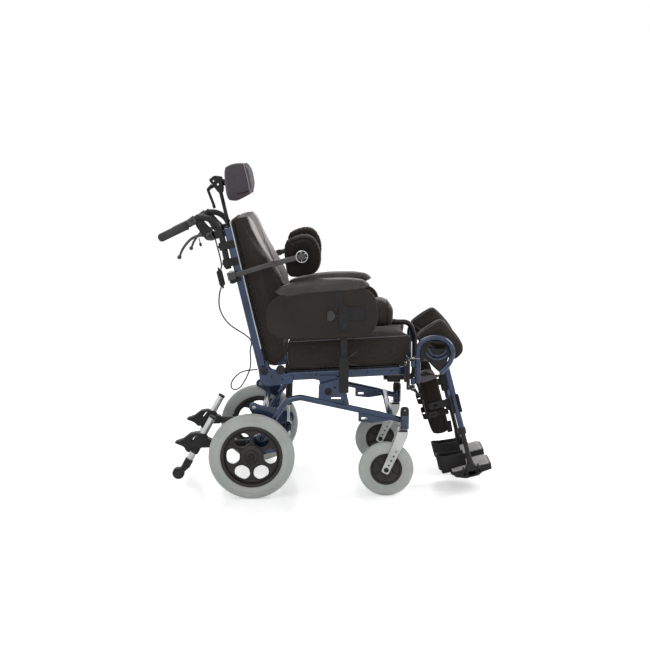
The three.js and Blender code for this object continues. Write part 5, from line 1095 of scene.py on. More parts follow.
@dataclass
class Studio(Assembly):
    """The floor, the soft light and the camera at the photograph's angle."""

    eye: tuple[float, float, float] = (-0.00392, -4.664, 1.25809)
    pitch: float = 8.127
    lens: float = 69.112
    dome: float = 0.56
    floor_glow: float = 0.42

    def camera(self) -> None:
        """A level camera without roll, pitched down."""
        data = bpy.data.cameras.new("camera")
        data.lens = self.lens
        data.sensor_width = 36.0
        data.sensor_fit = "HORIZONTAL"
        made = bpy.data.objects.new("camera", data)
        made.location = self.eye
        made.rotation_euler = (math.radians(90 - self.pitch), 0.0, 0.0)
        bpy.context.scene.collection.objects.link(made)
        bpy.context.scene.camera = made

    def floor(self) -> None:
        """A flat, pale floor with a soft sheen, which glows a little to the camera as the white sky does."""
        mesh = bpy.data.meshes.new("floor")
        half = 30.0
        mesh.from_pydata([(-half, -half, 0), (half, -half, 0), (half, half, 0), (-half, half, 0)], [], [(0, 1, 2, 3)])
        made = bpy.data.objects.new("floor", mesh)
        bpy.context.scene.collection.objects.link(made)
        paint = bpy.data.materials.new("pale_floor")
        paint.use_nodes = True
        tree = paint.node_tree
        tree.nodes.remove(tree.nodes["Principled BSDF"])
        dull = node(tree, "ShaderNodeBsdfDiffuse", {"Color": (0.97, 0.97, 0.975, 1.0)})
        shine = node(tree, "ShaderNodeBsdfGlossy", {"Color": (0.97, 0.97, 0.975, 1.0), "Roughness": 0.16})
        both = node(tree, "ShaderNodeMixShader", {0: 0.17, 1: dull.outputs[0], 2: shine.outputs[0]})
        rays = node(tree, "ShaderNodeLightPath")
        glow = node(tree, "ShaderNodeMath", {0: rays.outputs["Is Camera Ray"], 1: self.floor_glow},
                    operation="MULTIPLY")
        pale = node(tree, "ShaderNodeEmission", {"Color": (1.0, 1.0, 1.0, 1.0), "Strength": glow.outputs[0]})
        whole = node(tree, "ShaderNodeAddShader", {0: both.outputs[0], 1: pale.outputs[0]})
        tree.links.new(whole.outputs[0], tree.nodes["Material Output"].inputs["Surface"])
        mesh.materials.append(paint)

    def light(self) -> None:
        """A dim dome that looks white to the camera and in reflections, and three broad lamps."""
        world = bpy.data.worlds.new("studio")
        bpy.context.scene.world = world
        world.use_nodes = True
        tree = world.node_tree
        tree.nodes.clear()
        rays = node(tree, "ShaderNodeLightPath")
        seen = rays.outputs["Is Camera Ray"]
        for ray in ("Is Glossy Ray", "Is Transmission Ray"):
            seen = node(tree, "ShaderNodeMath", {0: seen, 1: rays.outputs[ray]}, operation="MAXIMUM").outputs[0]
        level = node(tree, "ShaderNodeMapRange", {"Value": seen, "To Min": self.dome, "To Max": 1.0})
        sky = node(tree, "ShaderNodeBackground", {"Color": (1.0, 1.0, 1.0, 1.0), "Strength": level.outputs["Result"]})
        end = node(tree, "ShaderNodeOutputWorld", {"Surface": sky.outputs[0]})
        end.is_active_output = True
        lamps = [((-1.2, -2.8, 3.2), 2.4, 22.0), ((3.2, 0.6, 2.6), 1.8, 60.0), ((-0.4, 2.6, 3.2), 2.4, 34.0)]
        for number, (spot, size, power) in enumerate(lamps):
            data = bpy.data.lights.new(f"softbox_{number}", "AREA")
            data.shape = "SQUARE"
            data.size = size
            data.energy = power
            lamp = bpy.data.objects.new(data.name, data)
            lamp.location = spot
            lamp.rotation_euler = (Vector((0, 0, 0.5)) - Vector(spot)).to_track_quat("-Z", "Y").to_euler()
            bpy.context.scene.collection.objects.link(lamp)
        bpy.context.scene.view_settings.view_transform = "Standard"

    def build(self) -> None:
        """Camera, floor and light."""
        self.camera()
        self.floor()
        self.light()


@dataclass
class ReleaseCable(Assembly):
    """The release cable behind the right back tube, with its junction box."""

    radius: float = 2.5
    behind: float = -23.9
    plane: float = -200.0
    top: float = 502.6
    box_z: float = 335.0
    box: tuple[float, float, float] = (20.0, 18.0, 55.0)
    stand: float = 36.0
    box_back: float = 50.0
    fall: float = 340.0
    loop: tuple[tuple[float, float], ...] = (
        (1, 0.02), (1.42, -0.1), (1.6, -0.25), (1.2, -0.42), (0, -0.62), (0.2, -0.75), (0.5, -0.93), (1.45, -1.1),
        (2.08, -1.11), (2.04, -1.03), (1.2, -0.95), (0, -0.96))

    def run(self, name: str, places: list[tuple[float, float]], nodes: Sequence[str] = ()) -> None:
        """One length of cable through side view places of the back.

        Args:
            name: the piece's name.
            places: its turns, as (ahead, up) in the back's frame.
            nodes: the CAD nodes it stands for.
        """
        way = BACK.place(flowing([(x, self.plane, z) for x, z in places], 40))
        made = self.add(name, tube(way, self.radius, 12, ease=0.0), "back", CABLE_PVC, nodes)

    def build(self) -> None:
        """Upper run, junction box and lower loop."""
        bx = self.behind - self.box_back
        ax = self.behind - self.stand
        length, width, height = self.box
        upper = [(ax, self.top), (ax, self.box_z + height * 1.4), (bx, self.box_z + height * 0.9)]
        lower = [(self.behind - a * self.box_back, self.box_z + b * self.fall) for a, b in self.loop]
        self.run("release_cable_upper", upper, ["control_cable"])
        self.run("release_cable_lower", lower)
        middle = self.box_z + height / 2
        shell = plate(rounded(length, height, 5, bx, middle), self.plane - width / 2, self.plane + width / 2, 2.0)
        lid = plate(rounded(length - 5, height * 0.55, 3, bx, middle), self.plane - width / 2 - 1.2,
                    self.plane - width / 2 + 1, 0.5)
        necks = [turned([[4.2, 0], [4.2, 5], [3.4, 6], [3.4, 12]], (bx, self.plane, z), way * Z_WAY, 20)
                 for z, way in ((self.box_z + height - 1, 1), (self.box_z + 1, -1))]
        self.add("cable_junction_box", weld(shell, lid, *necks).on(BACK), "back", BLACK_ABS)


@dataclass
class BaseFrame(Assembly):
    """The lower frame: two arched tubes, the plates welded to them, cross tubes, caster sleeves and axle stubs."""

    half_width: float = 232.0
    tube_radius: float = 11.0
    bend: float = 45.0
    plate_thickness: float = 8.0
    pivot: tuple[float, float] = (276.0, 383.0)
    sleeve_x: float = 552.0
    sleeve_plane: float = 245.0

    def side_plates(self) -> list[Surface]:
        """The axle plate, tilt tower, strut lug and front flange of the right side."""
        y, thin = -self.half_width, self.plate_thickness / 2
        axle = [[0.015, 0.138], [0.077, 0.481], [0.462, 0.606], [0.769, 0.95], [0.92, 0.92], [0.8, 0.56], [1.28, 0.5],
                [1.32, 0.263], [0.538, 0.138], [0.385, 0], [0.138, 0]]
        axle = soften(spread(-30, 128, 130, 160, axle), 16, 6)
        tower = [[0.018, 0.762], [0.795, 1], [1, 0.05], [0.96, -0.06], [0.2, 0.2], [0, 0.24]]
        tower = soften(spread(240, 330, 112, 105, tower), 8, 6)
        lug = [[0, 0.73], [0.18, 0.986], [0.45, 0.811], [0.97, 0.703], [0.818, 0], [0.491, 0.203], [0.182, 0.486]]
        lug = soften(spread(-14, 270, 110, 74, lug), 16, 8)
        flange = [[0, 0.84], [0, 0.04], [0.4, -0.06], [0.846, 0.12], [1.11, 0.28], [0.654, 0.6]]
        flange = soften(spread(385, 270, 130, 50, flange), 4, 4)
        return [
            plate(circle(17.5, 6.8, 324, 40), y - thin - 0.4, y + thin + 0.4, 1.4, [circle(7, 6.8, 324, 24)]),
            plate(axle, y - thin, y + thin, 1.6),
            plate(tower, y - 5, y + 5, 1.6, [rounded(36, 7, 3.5, self.pivot[0] + 28, 358)]),
            plate(lug, y - thin, y + thin, 1.6, [circle(7, 6.8, 324, 24)]),
            plate(flange, y - thin, y + thin, 1.4, [rounded(22, 8, 2.6, 407, 284)]),
        ]

    def tubes(self) -> Surface:
        """The right arched tube with the weld beads at its ends."""
        shares = [[0.058, 0.25], [0.167, 0.65], [0.261, 0.98], [0.36, 1.03], [0.654, 0.875], [0.955, 0.715],
                  [1.13, 0.6]]
        way = spread(0, 155, 486, 200, shares)
        return tube(bent([(x, -self.half_width, z) for x, z in way], self.bend, 14), self.tube_radius, 28)

    def build(self) -> None:
        """Both sides, the cross tubes, the strut foot and the fasteners."""
        right = weld(self.tubes(), *self.side_plates())
        h = self.half_width
        crosses = [rod((x, -h, z), (x, h, z), 11, 28) for x, z in ((40, 294), (8, 183), (121, 184), (500, 292))]
        clevis = soften([(113, 184), (135, 184), (135, 223), (113, 223)], 10, 6)
        lugs = lug_pair(clevis, LARGE_LUG)
        self.add("base_tubes_and_plates", weld(right, right.mirrored(), *crosses, *lugs), "base", NAVY_STEEL,
                 ["base_frame"])
        px, pz = self.pivot
        bolts, dark, sleeves = [rod((124, -14, 212), (124, 14, 212), 5, 20)], [], []
        for side in Side:
            s = side.value
            out = s * Y_WAY
            sleeves.append(turned([[8.6, 249], [15, 249], [16, 250.5], [16, 296.5], [15, 298], [8.6, 298]],
                                  (self.sleeve_x, s * self.sleeve_plane, 0), Z_WAY, 40, ring=True))
            dark.append(turned([[24, 0], [24, 3], [22, 5], [13, 6], [13, 12], [9, 13]], (px, s * 226, pz), out, 40))
            dark.append(button_bolt((px, s * 237, pz), out, 13, 7))
            bolts.append(hex_nut((6.8, s * (h + 4), 324), out, 8, 4))
            bolts.append(rod((0, s * h, 155), (0, s * 304, 155), 8, 28))
            dark.append(button_bolt((52, s * (h + 4), 196), out, 7, 4))
            dark.append(button_bolt((300, s * (h + 5), 398), out, 4, 2))
            dark.append(button_bolt((330, s * (h + 5), 345), out, 4, 2))
        self.add("caster_sleeves", weld(*sleeves), "base", NAVY_STEEL)
        self.add("tilt_pivot_washers", weld(*dark), "base", BLACK_ABS)
        self.add("base_bolts", weld(*bolts), "base", ZINC_STEEL)


@dataclass
class Wheels(Assembly):
    """The rear wheels: grey tyres on spoked nylon centres."""

    radius: float = 155.0
    seat: float = 111.6
    width: float = 48.0
    plane: float = 280.0
    spokes: int = 6
    inner: float = 45.0
    outer: float = 90.0

    def tyre(self) -> Surface:
        """A tyre turned from its section: bulging walls with two fine rings, and a shallow grooved tread."""
        r, w, h = self.seat + 0.4, self.width, self.radius - self.seat - 0.4
        half = [(0.0, 0.36), (0.02, 0.41), (0.1, 0.462), (0.22, 0.495), (0.38, 0.5), (0.5, 0.492), (0.53, 0.468),
                (0.56, 0.486), (0.7, 0.46), (0.74, 0.43), (0.77, 0.435), (0.84, 0.395), (0.87, 0.37), (0.89, 0.372),
                (0.95, 0.3), (0.985, 0.2), (0.975, 0.17), (0.975, 0.15), (1.0, 0.13), (1.0, 0.0)]
        return turned(both_ways([(r + a * h, -b * w) for a, b in half]), sides=112, ring=True)

    def windows(self) -> list[np.ndarray]:
        """Rounded windows between the spokes."""
        found = []
        for i in range(self.spokes):
            middle = (i + 0.5) / self.spokes * FULL_TURN
            corners = []
            spots = [(self.inner, -12), (self.inner, 12), (58, 24), (74, 31), (self.outer, 22), (self.outer + 1, 0),
                     (self.outer, -22), (74, -31), (58, -24)]
            for radius, reach in spots:
                angle = middle + reach / radius
                corners.append([math.cos(angle) * radius, math.sin(angle) * radius])
            found.append(soften(corners, 9, 5))
        return found

    def centre(self) -> Surface:
        """Barrel with rolled lips, web with windows, ribbed spokes and a stepped hub."""
        barrel = turned([(99.5, -14), (101, -17), (105, -18), (110, -18), (111.6, -16.5), (111.6, 16.5), (110, 18),
                         (105, 18), (101, 17), (99.5, 14), (97, 8), (96.5, 0), (97, -8)], sides=112, ring=True)
        disc = plate(circle(98, count=112), -6, 6, 2.4, [*self.windows(), circle(8.4, count=32)])
        parts = [barrel, disc]
        for hole in self.windows():
            loop = inset(anticlockwise(hole), -2.2)
            parts += [woven_loop(at_plane(loop, s * 6.0), 1.7, 8) for s in (-1, 1)]
        for i in range(self.spokes):
            a = i / self.spokes * FULL_TURN
            way = np.array([[math.cos(a) * r, 0, math.sin(a) * r] for r in (30, 50, 70, 90, 97)])
            parts.append(carried(way, rounded(19, 4, 1.8), Y_WAY, np.array([1.0, 0.88, 0.8, 0.84, 0.95]), 1.0))
        hub = both_ways([(8.4, -20), (18, -20), (19, -19), (19, -15), (21, -13.4), (24, -13.4), (26, -15),
                         (31, -14.4), (33, -12.6), (35, -12.6), (38, -12), (40, -10.5)])
        parts.append(turned(hub, sides=64, ring=True))
        return weld(*parts)

    def build(self) -> None:
        """Both wheels with their axle caps."""
        tyre, centre = self.tyre(), self.centre()
        for side in Side:
            place = {"y": side.value * self.plane, "z": self.radius}
            body = f"{side.label}_rear_wheel"
            self.add(f"{side.label}_wheel_tyre", tyre.moved(**place), body, GREY_TYRE, [f"{side.label}_rear_tyre"])
            stopped = centre.on(Stand(lean=30.0)) if side is Side.RIGHT else centre
            self.add(f"{side.label}_wheel_centre", stopped.moved(**place), body, RIM_NYLON,
                     [f"{side.label}_rear_rim"])
            cap = turned([(12, 0), (12, 3), (11, 4.6), (8, 5.2), (7.4, 4.4), (0.2, 4.4)],
                         (0, side.value * 300.4, self.radius), side.value * Y_WAY, 40)
            self.add(f"{side.label}_axle_cap", cap, "base", BLACK_ABS)


@dataclass
class Casters(Assembly):
    """The front wheels in their drilled aluminium forks."""

    radius: float = 100.0
    seat: float = 57.6
    width: float = 32.0
    plane: float = 245.0
    x: float = 486.0
    trail: float = 66.0

    def tyre(self) -> Surface:
        """A narrow tyre with round shoulders and a faint wall ring."""
        r, w, h = self.seat + 0.4, self.width, self.radius - self.seat - 0.4
        half = [(0.0, 0.38), (0.03, 0.43), (0.16, 0.48), (0.3, 0.5), (0.5, 0.488), (0.53, 0.47), (0.56, 0.478),
                (0.74, 0.43), (0.86, 0.35), (0.95, 0.23), (0.99, 0.12), (1.0, 0.0)]
        return turned(both_ways([(r + a * h, -b * w) for a, b in half]), sides=96, ring=True)

    def centre(self) -> Surface:
        """A closed dish with six raised ribs, a rolled rim and a hub."""
        rows = [(6.4, -19), (13, -19), (14, -18), (14, -9), (18, -5), (30, -4), (44, -4.4), (49, -7), (50.5, -11),
                (53, -13), (56.5, -13), (57.6, -12)]
        parts = [turned(both_ways(rows), sides=96, ring=True)]
        for i in range(6):
            a = (i + 0.5) / 6 * FULL_TURN
            for s in (-1, 1):
                way = np.array([[math.cos(a) * r, s * 6.5, math.sin(a) * r] for r in (12, 24, 38, 51)])
                parts.append(carried(way, rounded(8, 4.4, 1.4), Y_WAY, np.array([1.2, 1.0, 1.0, 1.25])))
        return weld(*parts)

    def fork(self) -> tuple[Surface, Surface, Surface]:
        """The fork about its stem: aluminium cheeks and crown, dark bolts and cap, bright stem."""
        axle, knee = np.array([-self.trail, self.radius]), np.array([-10.5, 206.0])
        way = (knee - axle) / np.linalg.norm(knee - axle)
        across = np.array([way[1], -way[0]])
        half, top = 14.0, 248.6
        outline = [axle - way * half + across * half, (10, 222), (12, top), (-23, top), (-33, 220),
                   axle - way * half - across * half]
        holes = [circle(3.2, *(axle + way * 19 * (i + 1)), 20) for i in range(4)]
        cheek = soften(outline, 7.5, 6)
        cheeks = [plate(cheek, s * 20, s * 24, 0.7, holes) for s in (-1, 1)]
        crown = carried(np.array([[-7, -24, top - 4], [-7, 0, top - 4], [-7, 24, top - 4]]), rounded(36, 8, 3), X_WAY,
                        ease=1.5)
        washer = turned([(8.4, 0), (16, 0), (16, 1.6), (8.4, 1.6)], (0, 0, top - 1.2), Z_WAY, 36, ring=True)
        cap = turned([(16, 0), (16, 15), (15.2, 22), (12.6, 27), (8, 29.2), (0.3, 29.6)], (0, 0, 298.4), Z_WAY, 40)
        stud = button_bolt((0, -13.4, 317), -Y_WAY, 4, 2.2)
        pin = rod((axle[0], -24, axle[1]), (axle[0], 24, axle[1]), 6, 24)
        head = [(9, 0), (9, 2.6), (7.6, 4), (4, 4.1), (3.6, 3), (0.2, 3)]
        heads = [turned(head, (axle[0], s * 24, axle[1]), s * Y_WAY, 32) for s in (-1, 1)]
        bright = weld(rod((0, 0, 240), (0, 0, 300), 8, 28), washer, pin, stud)
        return weld(*cheeks, crown), weld(cap, *heads), bright

    def build(self) -> None:
        """Both casters."""
        tyre, centre = self.tyre(), self.centre()
        cheeks, dark, bright = self.fork()
        for side in Side:
            s, name = side.value, side.label
            place = {"x": self.x, "y": s * self.plane, "z": self.radius}
            stem = {"x": self.x + self.trail, "y": s * self.plane}
            self.add(f"{name}_front_tyre", tyre.moved(**place), f"{name}_caster_wheel", GREY_TYRE,
                     [f"{name}_caster_tyre"])
            self.add(f"{name}_front_centre", centre.moved(**place), f"{name}_caster_wheel", RIM_NYLON,
                     [f"{name}_caster_rim"])
            self.add(f"{name}_fork_cheeks", cheeks.moved(**stem), f"{name}_caster_fork", SATIN_ALUMINIUM,
                     [f"{name}_caster_fork"])
            self.add(f"{name}_fork_cap_and_bolts", dark.to_side(side).moved(**stem), f"{name}_caster_fork", BLACK_ABS)
            self.add(f"{name}_fork_stem", bright.to_side(side).moved(**stem), f"{name}_caster_fork", CHROMED_STEEL)


@dataclass
class AntiTips(Assembly):
    """The two anti-tip legs behind the rear wheels, with their clamps, pedals and rollers."""

    plane: float = 200.0
    socket_z: float = 183.0
    top: tuple[float, float] = (-147.0, 278.0)
    foot: tuple[float, float] = (-247.0, 98.0)
    roller: tuple[float, float] = (-274.0, 72.0)

    def clamp(self) -> Surface:
        """The moulded clamp with its pedal step, ribbed along the pedal."""
        outline = soften([(-286, 190), (-256, 200), (-228, 222), (-204, 226), (-171, 220), (-166, 205), (-149, 198),
                          (-150, 171), (-219, 169), (-238, 159), (-256, 176), (-280, 185)], 5, 6)
        slit = [(-202, 217), (-206, 219), (-224, 195), (-220, 193)]
        x0, z0 = self.top
        x1, z1 = self.foot
        body = plate(outline, -19, 19, 2.4, [soften(slit, 2, 4)])
        share = (z0 - 186) / (z0 - z1)
        cx = x0 + (x1 - x0) * share
        collar_way = np.array([[cx + 14, 0, 186 + 25], [cx, 0, 186], [cx - 20, 0, 186 - 36]])
        collar = tube(collar_way, 17, 32, ease=1.5)
        ribs = [rod((-274 + 8 * i, -17, 193.6 + 2.6 * i), (-274 + 8 * i, 17, 193.6 + 2.6 * i), 1.6, 10)
                for i in range(3)]
        return weld(body, collar, *ribs)

    def build(self) -> None:
        """Both legs."""
        x0, z0 = self.top
        x1, z1 = self.foot
        rx, rz = self.roller
        run = np.array([x1 - x0, z1 - z0]) / math.hypot(x1 - x0, z1 - z0)
        foot, axle = np.array(self.foot), np.array(self.roller)
        start = foot - run * 30
        z = self.socket_z
        receiver = weld(self.clamp(), rod((-151, 0, z), (8, 0, z), 14, 32), rod((8, -19, z), (8, 19, z), 15.5, 36))
        leg = rod((x0, 0, z0), (x1, 0, z1), 12.5, 36)
        across = np.array([run[1], -run[0]]) * 12
        cheek = soften([foot + across, axle + across * 0.7 + run * 6, axle - across * 0.7 + run * 6, foot - across,
                        start - across, start + across], 4, 5)
        dark = weld(rod((start[0], 0, start[1]), (x1, 0, z1), 15, 36),
                    *[plate(cheek, s * 12.4, s * 16.4, 0.8) for s in (-1, 1)],
                    turned([(14, 0), (14, 5), (12.5, 7), (0.3, 7)], (x0, 0, z0), -run[0] * X_WAY - run[1] * Z_WAY,
                           36))
        pin = weld(rod((rx, -16.4, rz), (rx, 16.4, rz), 4, 20),
                   *[button_bolt((rx, s * 16.2, rz), s * Y_WAY, 6, 3) for s in (-1, 1)],
                   *[button_bolt((-168, s * 18.8, 200), s * Y_WAY, 5, 3) for s in (-1, 1)])
        roll = turned(both_ways([(4.5, -12), (10, -12), (11, -9), (17, -9), (18.6, -12), (20.5, -11), (22, -7)]),
                      (rx, 0, rz), sides=56, ring=True)
        for side in Side:
            name, body = side.label, f"{side.label}_anti_tip"
            rows = [("clamp", receiver, "base", BLACK_ABS, f"{body}_receiver"),
                    ("tube", leg, body, SATIN_ALUMINIUM, f"{body}_leg"), ("shoe", dark, body, BLACK_ABS),
                    ("pins", pin, body, DARK_BOLT),
                    ("roller", roll, f"{body}_roller", RIM_NYLON, f"{body}_roller")]
            for word, form, rides, finish, *nodes in rows:
                self.add(f"{name}_tip_{word}", form.moved(y=side.value * self.plane), rides, finish, nodes)


@dataclass
class GasStrut(Assembly):
    """A gas strut in a side plane: cylinder from its head eye, rod from its foot eye."""

    name: str = "tilt_strut"
    head: tuple[float, float] = (130.0, 409.0)
    foot: tuple[float, float] = (124.0, 212.0)
    y: float = 0.0
    cylinder: float = 13.0
    bore: float = 5.4
    eye: float = 11.0
    eye_width: float = 14.0
    length: float = 107.0
    rod_tip: float = 24.0

    def build(self) -> None:
        """Cylinder with crimped ends and eye, rod with eye."""
        start, end = np.array(self.head), np.array(self.foot)
        reach = float(np.linalg.norm(end - start))
        way = (end - start) / reach
        axis = np.array([way[0], 0.0, way[1]])
        first = self.eye * 1.4
        r = self.cylinder
        rows = [(r * 0.5, first - 6), (r * 0.5, first - 1), (r * 0.86, first), (r, first + 2),
                (r, first + self.length - 10), (r * 0.93, first + self.length - 8),
                (r * 0.93, first + self.length - 6), (r, first + self.length - 4), (r, first + self.length - 2),
                (r * 0.9, first + self.length), (self.bore + 0.5, first + self.length)]
        place = (start[0], self.y, start[1])
        barrel = turned(rows, place, axis, 40)
        half = self.eye_width / 2

        def ring(at: np.ndarray, hole: float) -> Surface:
            """An eye round its pin."""
            return turned([(hole, -half), (self.eye, -half), (self.eye, half), (hole, half)], (at[0], self.y, at[1]),
                          Y_WAY, 36, ring=True)

        neck = turned([(self.eye * 0.55, 4), (self.eye * 0.55, first)], place, axis, 24)
        body = f"{self.name}_cylinder"
        self.add(f"{self.name}_barrel", weld(barrel, ring(start, 6.8), neck), body, BLACK_STEEL, [body])
        thin, tip = self.bore - 0.4, self.eye * 0.6
        rows = [(thin, first + self.length - self.rod_tip), (thin, reach - 9), (tip, reach - 8), (tip, reach - 3)]
        shaft = turned(rows, place, axis, 28)
        self.add(f"{self.name}_shaft", weld(shaft, ring(end, 6.8)), f"{self.name}_rod", CHROMED_STEEL,
                 [f"{self.name}_rod"])


@dataclass
class SeatFrame(Assembly):
    """The seat rails with their gussets, lugs, cross tubes, sockets, and the pan that carries the cushion."""

    half_width: float = 200.0
    rail: tuple[float, float] = (22.0, 30.0)
    rail_back: float = 76.0
    rail_front: float = 552.0

    def line(self, x: float) -> float:
        """Height of the seat line over a place along the chair."""
        return SEAT.z + x * math.tan(math.radians(SEAT.lean))

    def side(self) -> Surface:
        """The right rail, gusset, lug and weld patches."""
        y = -self.half_width
        way = np.array([[x, y, self.line(x)] for x in (self.rail_back, 300, self.rail_front)])
        rail = carried(way, rounded(*self.rail, 6), Y_WAY, ease=0.8)
        gusset = [[0, 1], [0.06, 0.14], [0.292, 0], [0.985, 0.171], [0.985, 0.6], [0.6, 0.771], [0.32, 1]]
        gusset = soften(spread(22, 398, 130, 70, gusset), 12, 6)
        lug = soften([(252, 363.8), (300, 363.8), (312, self.line(276)), (240, self.line(276))], 16, 6)
        patch = plate(rounded(39, 18, 4, 126, self.line(126)), y - 12.2, y - 10.5, 0.5)
        return weld(rail, plate(gusset, y - 11.4, y - 17.4, 1.2), plate(lug, y - 7, y - 23.8, 1.2), patch)

    def build(self) -> None:
        """Rails, crosses, head plates, receiver, sockets, pan and bolts."""
        right = self.side()
        h = self.half_width
        crosses = [rod((x, -h, self.line(x)), (x, h, self.line(x)), 10, 28) for x in (130, 332, 528)]
        heads = [plate(rounded(52, 60, 6, s * 226, 449), 549.6, 557.6, 1.2, plane=Plane.FACING) for s in (-1, 1)]
        tilt = soften([(119, 398), (141, 398), (141, self.line(130)), (119, self.line(130))], 10, 5)
        foot = (332.0, self.line(332) - 42)
        rec = soften([(323, foot[1] - 9), (341, foot[1] - 9), (341, self.line(332)), (323, self.line(332))], 8, 5)
        lugs = lug_pair(tilt, LARGE_LUG) + lug_pair(rec, SMALL_LUG, RECLINE_PLANE)
        self.add("seat_rails_and_gussets", weld(right, right.mirrored(), *crosses, *lugs), "seat", NAVY_STEEL,
                 ["seat_frame"])
        dark, bolts = [*heads], []
        for s in (-1, 1):
            socket = plate(rounded(34, 22, 5, 332, s * 257), 384, 512, 1.2, [rounded(25, 13, 2, 332, s * 257)],
                           Plane.LEVEL)
            dark += [socket, plate(rounded(28, 44, 3, 332, s * 229), 441, 453, 1.0, plane=Plane.LEVEL)]
            dark.append(turned([(15, 0), (15, 3), (12, 5), (8, 5.5), (8, 9), (6, 10)], (BACK.x, s * 217, BACK.z),
                               s * Y_WAY, 40))
            dark.append(button_bolt((BACK.x, s * 226, BACK.z), s * Y_WAY, 9, 4))
            dark.append(plate(soften([(92, 430), (116, 431), (112, 470), (98, 470)], 4, 4), s * 211.4, s * 216, 0.8))
            dark.append(turned([(7, 0), (15, 1), (16.5, 4), (16.5, 11), (14, 14), (0.3, 14.6)], (104, s * 216, 461),
                               s * Y_WAY, 40))
            bolts.append(rod((BACK.x, s * 182, BACK.z), (BACK.x, s * 222, BACK.z), 7, 24))
            dark += [button_bolt((x, s * 211, self.line(x) + 2), s * Y_WAY, 3.5, 2) for x in (232, 418, 505)]
            dark += [button_bolt((x, s * 217.2, z), s * Y_WAY, 3.5, 2) for x, z in ((70, 432), (110, 424))]
        receiver = plate(rounded(34, 32, 5, 0, 392), 500, 550, 1.2, [circle(10.6, 0, 392, 28)], Plane.FACING)
        hanger = plate(rounded(20, self.line(528) - 392, 3, 528, (self.line(528) + 392) / 2), -10, 10, 1.0)
        dark += [receiver, hanger]
        self.add("seat_sockets", weld(*dark), "seat", BLACK_STEEL)
        bolts += [rod((130, -14, 409), (130, 14, 409), 4.2, 20), rod((332, 57, foot[1]), (332, 83, foot[1]), 4.5, 20),
                  button_bolt((540, 0, 375.8), -Z_WAY, 6, 5)]
        self.add("seat_bolts", weld(*bolts), "seat", ZINC_STEEL)
        pan = plate(rounded(420, 410, 14, 328, 0), 15.4, 20.4, 1.0, plane=Plane.LEVEL).on(SEAT)
        self.add("cushion_board", pan, "seat", BLACK_ABS, ["seat_pan"])


@dataclass
class SeatCushion(Assembly):
    """The contoured seat cushion: a crowned form with a piped top seam and side pockets."""

    back: float = 128.0
    length: float = 448.0
    width: float = 430.0
    height: float = 112.0
    floor: float = 20.8
    shrink: float = 4.5

    def form(self) -> Surface:
        """Box drawn towards a ball: sides pulled in between corners, top crowned, dished and rolled at the front."""
        half, s = self.length / 2, self.shrink

        def shape(x, y, z, u, v, w):
            """Places from the soft and the plain unit box."""
            top = (z + 1) / 2
            crown = top * (14 * (1 - x * x) * (1 - y * y) - 12 * np.exp(-y * y * 6) * (1 - x * x))
            thigh = top * 8 * np.exp(-(((np.abs(y) - 0.5) / 0.25) ** 2)) * smoothstep(-0.2, 0.8, x)
            nose = -top * np.maximum(0, x - 0.8) * self.height * 0.25
            tuck = -30 * (1 - top) ** 1.4 * smoothstep(0.3, 1.0, x)
            tuck += smoothstep(0.5, 0.95, np.abs(y)) * (20 * smoothstep(0.3, 1.0, x) - 8 * smoothstep(0.3, 1.0, -x))
            return np.column_stack([self.back + half + x * (half - s) + tuck, y * (self.width / 2 - s),
                                    self.floor + 1 + top * (self.height - s + 2) + crown + thigh + nose])

        return padding(shape, 0.085, 44).on(SEAT)

    def build(self) -> None:
        """The cushion, its channels and its piping."""
        made = Upholstery(6.0, 4.0, 7.0).stuffed("seat_upholstery", self.form())
        seam = self.floor + self.height * 0.93
        ahead, y, up = SEAT.local(places_of(made)).T
        middle = self.back + self.length / 2
        wall = smoothstep(0.8, 0.93, np.maximum(np.abs(y) / (self.width / 2),
                                                np.abs(ahead - middle) / (self.length / 2)))
        channel(made, np.where(wall > 0.5, np.abs(up - seam), FAR), 5.0, 3.0)
        self.keep_off_board(made)
        self.dress(made, "seat", SPACER_KNIT, ["seat_cushion"])
        turn = np.linspace(0, FULL_TURN, 160, endpoint=False)
        origin = np.column_stack([middle + 400 * np.cos(turn), 400 * np.sin(turn), np.full(160, seam)])
        way = np.column_stack([-np.cos(turn), -np.sin(turn), np.zeros(160)])
        start = SEAT.place(origin)
        rim = on_skin(made, start, SEAT.place(origin + way) - start, 0.6)
        self.add("seat_piping", woven_loop(rim, 2.0), "seat", PIPING)
        tongue = np.array([(386, 78), (362, 64), (349, 49), (353, 36), (378, 27), (431, 22), (505, 20), (550, 26),
                           (572, 50), (583, 88)], float)
        tongue = flowing([(x, 0, z) for x, z in tongue], 70)
        for side in Side:
            heart, place = (SEAT.place(tongue + side.value * y * Y_WAY) for y in (120.0, 200.0))
            found = seam_places(made, place, heart, 0.5)
            self.add(f"{side.label}_seat_flap_seam", tube(found, 1.3, 8, Y_WAY), "seat", PIPING)

    def keep_off_board(self, made: Object) -> None:
        """Flattens the underside where it rests on the board."""
        ahead, y, up = SEAT.local(places_of(made)).T
        set_places(made, SEAT.place(np.column_stack([ahead, y, np.maximum(up, self.floor)])))


